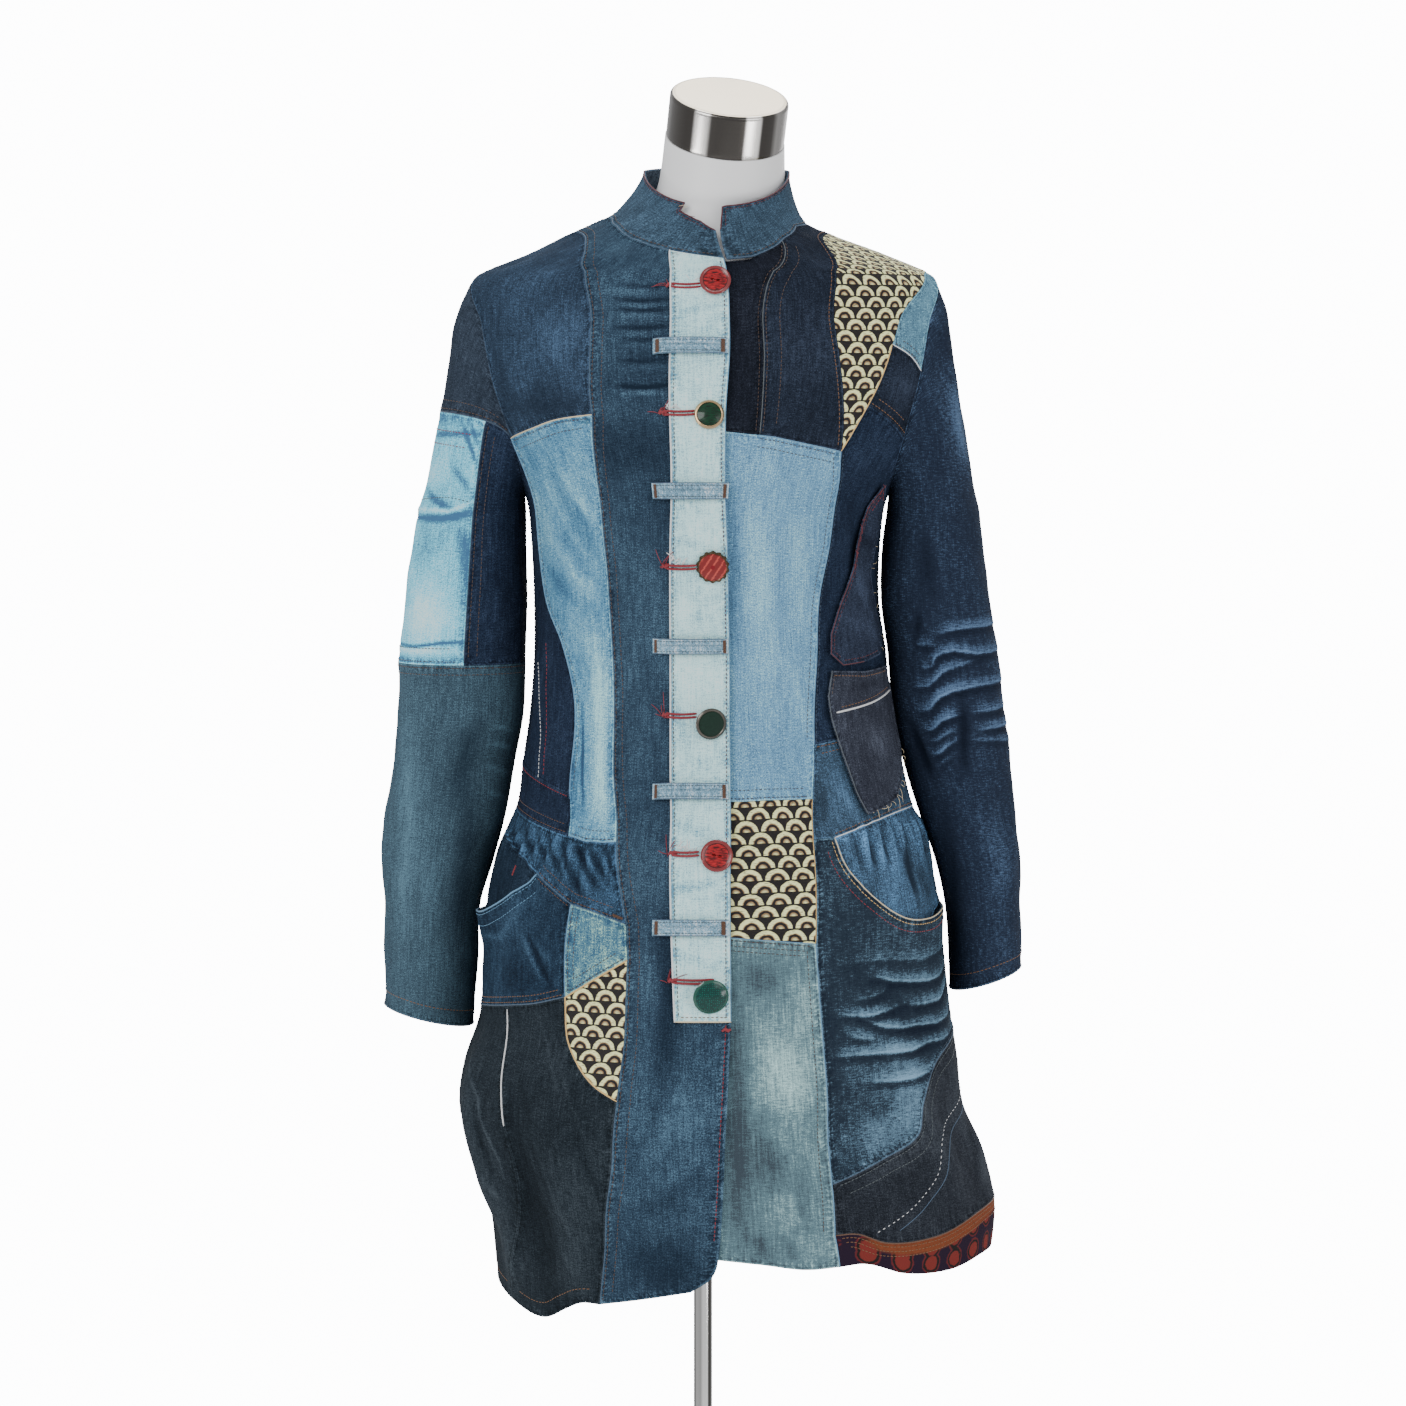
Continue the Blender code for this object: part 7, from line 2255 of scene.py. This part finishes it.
for name, finish in (("side_flap", flap_navy), ("side_tab", tab_black)):
    CUTS[name] = Cut(name, border_line(name)[:-1], coat_point, from_flat, gap=0.0, calm=0.6,
                     lift=lambda flat: HANGING_LIFT + nothing(flat), creases=laid(HANGING_CREASES[name]))
    CUTS[name].hang(finish)
for name, start, end, offset, colour in HANGING_ROWS:
    sew(CUTS[name], border_line(name, start, end), colour, offset)
free_row("side_tab", ((42.5, 1072), (55.5, 1077), (66, 1082), (76, 1087)), "orange")
free_cord("side_tab", ((41, 1068), (55, 1073), (64.5, 1077), (77, 1083)), "white", 0.8)
edge_cord(CUTS["side_flap"], border_line("side_flap", 0, 8), "wine", 0.45, 0.3)
edge_cord(CUTS["side_tab"], border_line("side_tab", 0, 5), "grey", 0.35, 0.3)
fray(CUTS["side_flap"], border_line("side_flap", 9, 15), "cream", 14.0, 3.0, -1.0, 0.15)
fray(CUTS["side_flap"], border_line("side_flap", 0, 7)[:30], "red", 9.0, 5.0, -1.0)
fray(CUTS["side_tab"], border_line("side_tab", 5, 9), "cream", 7.0, 6.0, -1.0)
finish_sewing("side")


# Buttons. Six unlike buttons are sewn down the strip: two red ones with two holes, a red one in a
# scalloped rim, and three green ones, cut like a stone, covered with velvet, and dotted.
BUTTONS = (
    # kind, place across the front, height, radius, lean to the side, lean back
    ("holed", 10, 1423, 13.0, 0, 2),
    ("stone", 5, 1313, 12.2, 0, -2),
    ("scalloped", 8, 1191, 14.0, -3, 0),
    ("velvet", 6, 1061, 13.0, 14, -16),
    ("holed", 11, 955, 13.2, 2, -2),
    ("dotted", 6, 844, 14.6, 10, -22),
)
BUTTON_OUTLINES = {
    # kind: from the middle of the face to the middle of the back, as share of the radius and height
    "holed": (*((share, 2.5) for share in (0.02, 0.12, 0.18, 0.24, 0.30, 0.38)), (0.78, 2.6), (0.82, 2.9),
              (0.87, 3.35), (0.92, 3.4), (0.97, 3.0), (1.0, 2.4), (0.99, 1.2), (0.92, 0), (0.02, 0)),
    "stone": ((0.02, 5.2), (0.30, 5.1), (0.56, 4.5), (0.80, 3.2), (0.82, 3.6), (0.87, 3.9), (0.93, 3.7),
              (1.0, 2.6), (0.98, 1.2), (0.90, 0), (0.02, 0)),
    "scalloped": ((0.02, 3.6), (0.30, 3.5), (0.55, 3.2), (0.72, 2.8), (0.76, 2.7), (0.80, 3.2), (0.86, 3.5),
                  (0.93, 3.2), (0.975, 2.2), (0.96, 1.0), (0.88, 0), (0.02, 0)),
    "velvet": ((0.02, 5.0), (0.30, 4.7), (0.55, 4.1), (0.74, 3.3), (0.80, 3.1), (0.83, 3.6), (0.88, 3.8),
               (0.95, 3.4), (1.0, 2.6), (0.98, 1.2), (0.90, 0), (0.02, 0)),
    "dotted": ((0.02, 5.4), (0.25, 5.25), (0.50, 4.8), (0.72, 3.9), (0.86, 2.9), (0.94, 2.5), (1.0, 1.6),
               (0.97, 0.7), (0.85, 0), (0.02, 0)),
}
BUTTON_SIDES = 72
FACE_SHARE = 0.79
HOLES = ((-0.17, 0.05), (0.17, -0.05))
HOLE_RADIUS = 1.15
SCALLOPS = 14
STONE_SIDES = 9


def button_face(kind, number):
    """The finish of a button's face, by its places across and up, in shares of the radius. Veins,
    stripes or dots mix two colours, and on some a third one starts at a distance from the middle."""
    matt = kind == "velvet"
    finish = Finish(f"button_face_{number}", specular_ior_level=0.3, roughness=0.8 if matt else 0.22,
                    coat_weight=0.0 if matt else 0.15, sheen_weight=0.15 if matt else 0.0)
    face = finish.attribute("face", "Vector")
    x, y = (finish.axis(face, part) for part in (0, 1))
    reach = maths("SQRT", x * x + y * y)
    vein = finish.noise(finish.stretch(face, 0.5, 0.09), detail=3, roughness=0.7, distortion=0.6)
    if kind == "holed":
        colour = finish.mix(finish.between(vein, 0.38, 0.62), screen(70, 14, 16), screen(186, 38, 44))
        colour = finish.mix(finish.between(reach, 0.70, 0.76), colour, screen(64, 16, 18))
    elif kind == "stone":
        colour = finish.mix(finish.between(vein, 0.3, 0.7), screen(2, 18, 9), screen(2, 74, 38))
    elif kind == "scalloped":
        stripes = maths("SINE", (x * 1.3 - y * 0.8) * 11 + vein * 4)
        colour = finish.mix(finish.between(stripes, 0.4, 1.0), screen(150, 42, 42), screen(188, 96, 84))
        colour = finish.mix(finish.between(reach, 0.16, 0.10), colour, screen(150, 16, 30))
    elif kind == "velvet":
        colour = finish.mix(vein, screen(6, 30, 20), screen(16, 58, 40))
    else:
        dots = finish.node("ShaderNodeTexVoronoi", {}, {"Vector": face, "Scale": 9.0, "Randomness": 0.35})
        colour = finish.mix(finish.between(dots, 0.34, 0.22), screen(0, 64, 56), screen(0, 116, 100))
    finish.give("Base Color", colour)
    return finish


gilt = Finish("gilt_rim", metallic=1.0, roughness=0.28, base_color=(0.52, 0.36, 0.20))
dark_metal = Finish("dark_rim", metallic=1.0, roughness=0.30, base_color=(0.13, 0.12, 0.105))
bronze = Finish("bronze_rim", metallic=1.0, roughness=0.32, base_color=(0.10, 0.065, 0.04))
teal_rim = Finish("teal_rim", roughness=0.18, coat_weight=0.5, base_color=screen(0, 92, 72))
red_rim = Finish("red_rim", roughness=0.2, coat_weight=0.6, base_color=screen(150, 34, 36))
RIMS = {"holed": red_rim, "stone": gilt, "scalloped": bronze, "velvet": dark_metal, "dotted": teal_rim}


def button_rings(kind, radius):
    """Rings of a button, with its holes, cut faces or scallops, its back's middle at the origin."""
    share, level = np.array(BUTTON_OUTLINES[kind]).T[..., None]
    turn = np.linspace(0, 2 * math.pi, BUTTON_SIDES, endpoint=False)
    share, level = share + 0 * turn, level + 0 * turn
    front = (np.arange(len(share)) < len(share) // 2)[:, None]
    if kind == "stone":
        part = 2 * math.pi / STONE_SIDES
        cut = math.cos(part / 2) / np.cos(turn % part - part / 2)
        share = np.where((share < FACE_SHARE) & front, share * cut, share)
    if kind == "scalloped":
        wave = 0.5 + 0.5 * np.cos(SCALLOPS * turn)
        share = share * np.where(share > 0.84, 0.92 + 0.10 * wave, 1.0)
        level = level - np.where((share > 0.80) & front, 0.9 * (1 - wave), 0)
    x, y = share * np.sin(turn), share * np.cos(turn)
    if kind == "holed":
        for hole in HOLES:
            gap = np.hypot(x - hole[0], y - hole[1]) * radius
            level = level - np.where(front, 1.8 * ease((HOLE_RADIUS - gap) / 0.35), 0)
    return np.stack((radius * x, radius * y, level), axis=-1), np.stack((x, y, 0 * x), axis=-1)


for number, (kind, x, height, radius, lean_side, lean_back) in enumerate(BUTTONS, 1):
    node = frame["nodes"][f"button_{number}"]
    outward = normals(coat_point, np.array([turn_at(x, height)]), np.array([float(height)]))[0]
    upright = Vector(outward).to_track_quat("Z", "Y").to_matrix()
    spin = np.array(upright @ Euler((math.radians(-lean_back), math.radians(lean_side), 0)).to_matrix())
    solid = np.array([node.matrix_world @ corner.co for corner in node.data.vertices]) / MM @ spin
    low, high = solid.min(axis=0), solid.max(axis=0)
    seat = spin @ ((low[0] + high[0]) / 2, (low[1] + high[1]) / 2, low[2])
    rings, places = button_rings(kind, radius)
    points, faces = loft(rings)
    values = np.concatenate((places.reshape(-1, 3), np.zeros((2, 3))))
    middles = np.array([points[list(face)].mean(axis=0) for face in faces])
    on_rim = (np.hypot(middles[:, 0], middles[:, 1]) > FACE_SHARE * radius) | (middles[:, 2] < 0.4)
    show(f"button_{number}_turned", (points @ spin.T + seat) * MM, [face[::-1] for face in faces],
         button_face(kind, number), [f"button_{number}"], SLOT_OF[f"button_{number}"],
         14 if kind == "stone" else 35, {"face": values}, (RIMS[kind], on_rim))


# Thread loops. Two strands of thick red thread run from a knot across the strip and round each
# button's shank, with loose ends at the knot and at some a scrap of white thread.
THREAD_LOOPS = (
    # place of the knot across the front, height, length, whether it has a white scrap
    (-27, 1420, 25, True),
    (-33, 1315, 27, True),
    (-31, 1191, 26, True),
    (-31, 1068, 26, False),
    (-25, 957, 22, True),
    (-25, 856, 34, False),
)
STRAND_GAP = 1.4
STRAND_RADIUS = 1.0
KNOT_RADIUS = 2.0
KNOT_TURNS = np.array((-1.2, 0.9, -0.4, 1.0, -0.8))
SCRAP_TURNS = np.array((5, 3, 4, 2, 1.0))
# Knot at the foot of the strip: turns and heights
LAST_KNOT = (4 + np.array((-0.8, -0.2, 0.4, 0.9)), 817 + np.array((-1.0, 0.8, -0.6, 0.6)))
carrier = CUTS["front_right_centre"]
for x, height, length, scrap in THREAD_LOOPS:
    across = np.linspace(x, x + length, 14)
    for side in (-1, 1):
        sag = side * STRAND_GAP + 0.8 * np.sin(np.linspace(0, math.pi, 14))
        turns = np.array([turn_at(value, height) for value in across])
        flat = to_flat(turns, height - sag)
        on_strip = ease((turns - strip_turn(height) + 1.2) / 1.2) * (raised + 0.4)
        points, up = carrier.outer(flat, on_strip + STRAND_RADIUS)
        lay_cord(points, up, STRAND_RADIUS, "red")
    knot = to_flat(turn_at(x, height) + np.linspace(-0.8, 1.0, 5), height + KNOT_TURNS)
    points, up = carrier.outer(knot, 1.6)
    lay_cord(points, up, KNOT_RADIUS, "red")
    tail = np.stack((knot[:, 0] - 1.5, knot[:, 1]), axis=-1)
    fray(carrier, tail, "red", 1.3, 7.0, 1.0, 0.3)
    if scrap:
        scrap_line = to_flat(turn_at(x + 10, height) + np.linspace(-2, 2, 5), height + SCRAP_TURNS)
        fray(carrier, scrap_line, "white", 0.8, 5.0, 1.0, 0.4)
points, up = carrier.outer(to_flat(*LAST_KNOT), 1.2)
lay_cord(points, up, 1.5, "red")
collar_cut = CUTS["collar_right"]
for turn, rise, colour in ((-20, 37, "wine"), (-12, 35, "wine"), (-21, 44, "cream")):
    line = np.array(((turn - 1.5, rise), (turn, rise), (turn + 1.5, rise))) * (COLLAR_FLAT, 1)
    fray(collar_cut, line, colour, 1.4, 5.0, -1.0, 0.22)
finish_sewing("closing")


# Room. A plain pale floor, soft light from large lamps and a bright surround, and the camera of the
# photograph: a 90 mm lens three metres in front, a little above the waist and pitched down.
CAMERA_PLACE = (0.0, -2.9927, 1.2793)
CAMERA_AIM = (0.0, 0.0, 1.07)
LENS = 90.0
SURROUND_LIGHT = 0.72
SURROUND_SEEN = 14.0
LAMPS = (
    # name, place, aim, width, height, watts
    ("key_lamp", (-1.7, -2.6, 2.5), (0, 0, 1.0), 1.6, 1.6, 46),
    ("fill_lamp", (2.2, -2.4, 1.6), (0, 0, 1.0), 1.8, 1.8, 20),
    ("top_lamp", (0.2, 0.6, 3.1), (0, 0, 1.0), 1.6, 1.6, 26),
    ("back_lamp", (0.8, 2.8, 2.0), (0, 0, 1.0), 1.8, 1.8, 26),
    ("low_lamp_left", (-1.48, -0.64, 0.56), (0, 0, 1.56), 0.34, 0.34, 3.4),
    ("low_lamp_right", (1.28, -0.96, 0.37), (0, 0, 1.56), 0.34, 0.34, 3.4),
)

FLOOR_RADIUS = 1600.0
FLOOR_TOP = -0.5
FLOOR_DEPTH = 12.0

floor_finish = Finish("floor_paint", roughness=0.8, specular_ior_level=0.2)
floor_speck = floor_finish.noise(floor_finish.place(), 3, 2)
floor_finish.give("Base Color", floor_finish.mix(floor_speck, (0.82, 0.82, 0.82), (0.88, 0.88, 0.88)))
floor_edge = [(FLOOR_RADIUS, FLOOR_TOP - FLOOR_DEPTH), (FLOOR_RADIUS, FLOOR_TOP)]
floor_points, floor_faces = loft(turned(floor_edge, 96) * MM)
floor_mesh = bpy.data.meshes.new("floor")
floor_mesh.from_pydata(floor_points.tolist(), [], floor_faces)
floor_mesh.materials.append(floor_finish.material)
floor = bpy.data.objects.new("floor", floor_mesh)
bpy.context.scene.collection.objects.link(floor)

for name, place, aim, width, height, watts in LAMPS:
    lamp = bpy.data.lights.new(name, "AREA")
    lamp.shape = "RECTANGLE"
    lamp.size, lamp.size_y, lamp.energy = width, height, watts
    holder = bpy.data.objects.new(name, lamp)
    holder.location = place
    holder.rotation_euler = (Vector(aim) - Vector(place)).to_track_quat("-Z", "Y").to_euler()
    bpy.context.scene.collection.objects.link(holder)

surround = bpy.data.worlds.new("bright_surround")
surround.use_nodes = True
backdrop = surround.node_tree.nodes["Background"]
backdrop.inputs["Color"].default_value = (0.97, 0.98, 1.0, 1)
seen_directly = add_node(surround.node_tree, "ShaderNodeLightPath")
strength = seen_directly * (SURROUND_SEEN - SURROUND_LIGHT) + SURROUND_LIGHT
surround.node_tree.links.new(strength.socket, backdrop.inputs["Strength"])
bpy.context.scene.world = surround

camera_data = bpy.data.cameras.new("photo_camera")
camera_data.lens = LENS
camera_data.sensor_width = 36.0
camera = bpy.data.objects.new("photo_camera", camera_data)
camera.location = CAMERA_PLACE
camera.rotation_euler = (Vector(CAMERA_AIM) - Vector(CAMERA_PLACE)).to_track_quat("-Z", "Y").to_euler()
bpy.context.scene.collection.objects.link(camera)
bpy.context.scene.camera = camera
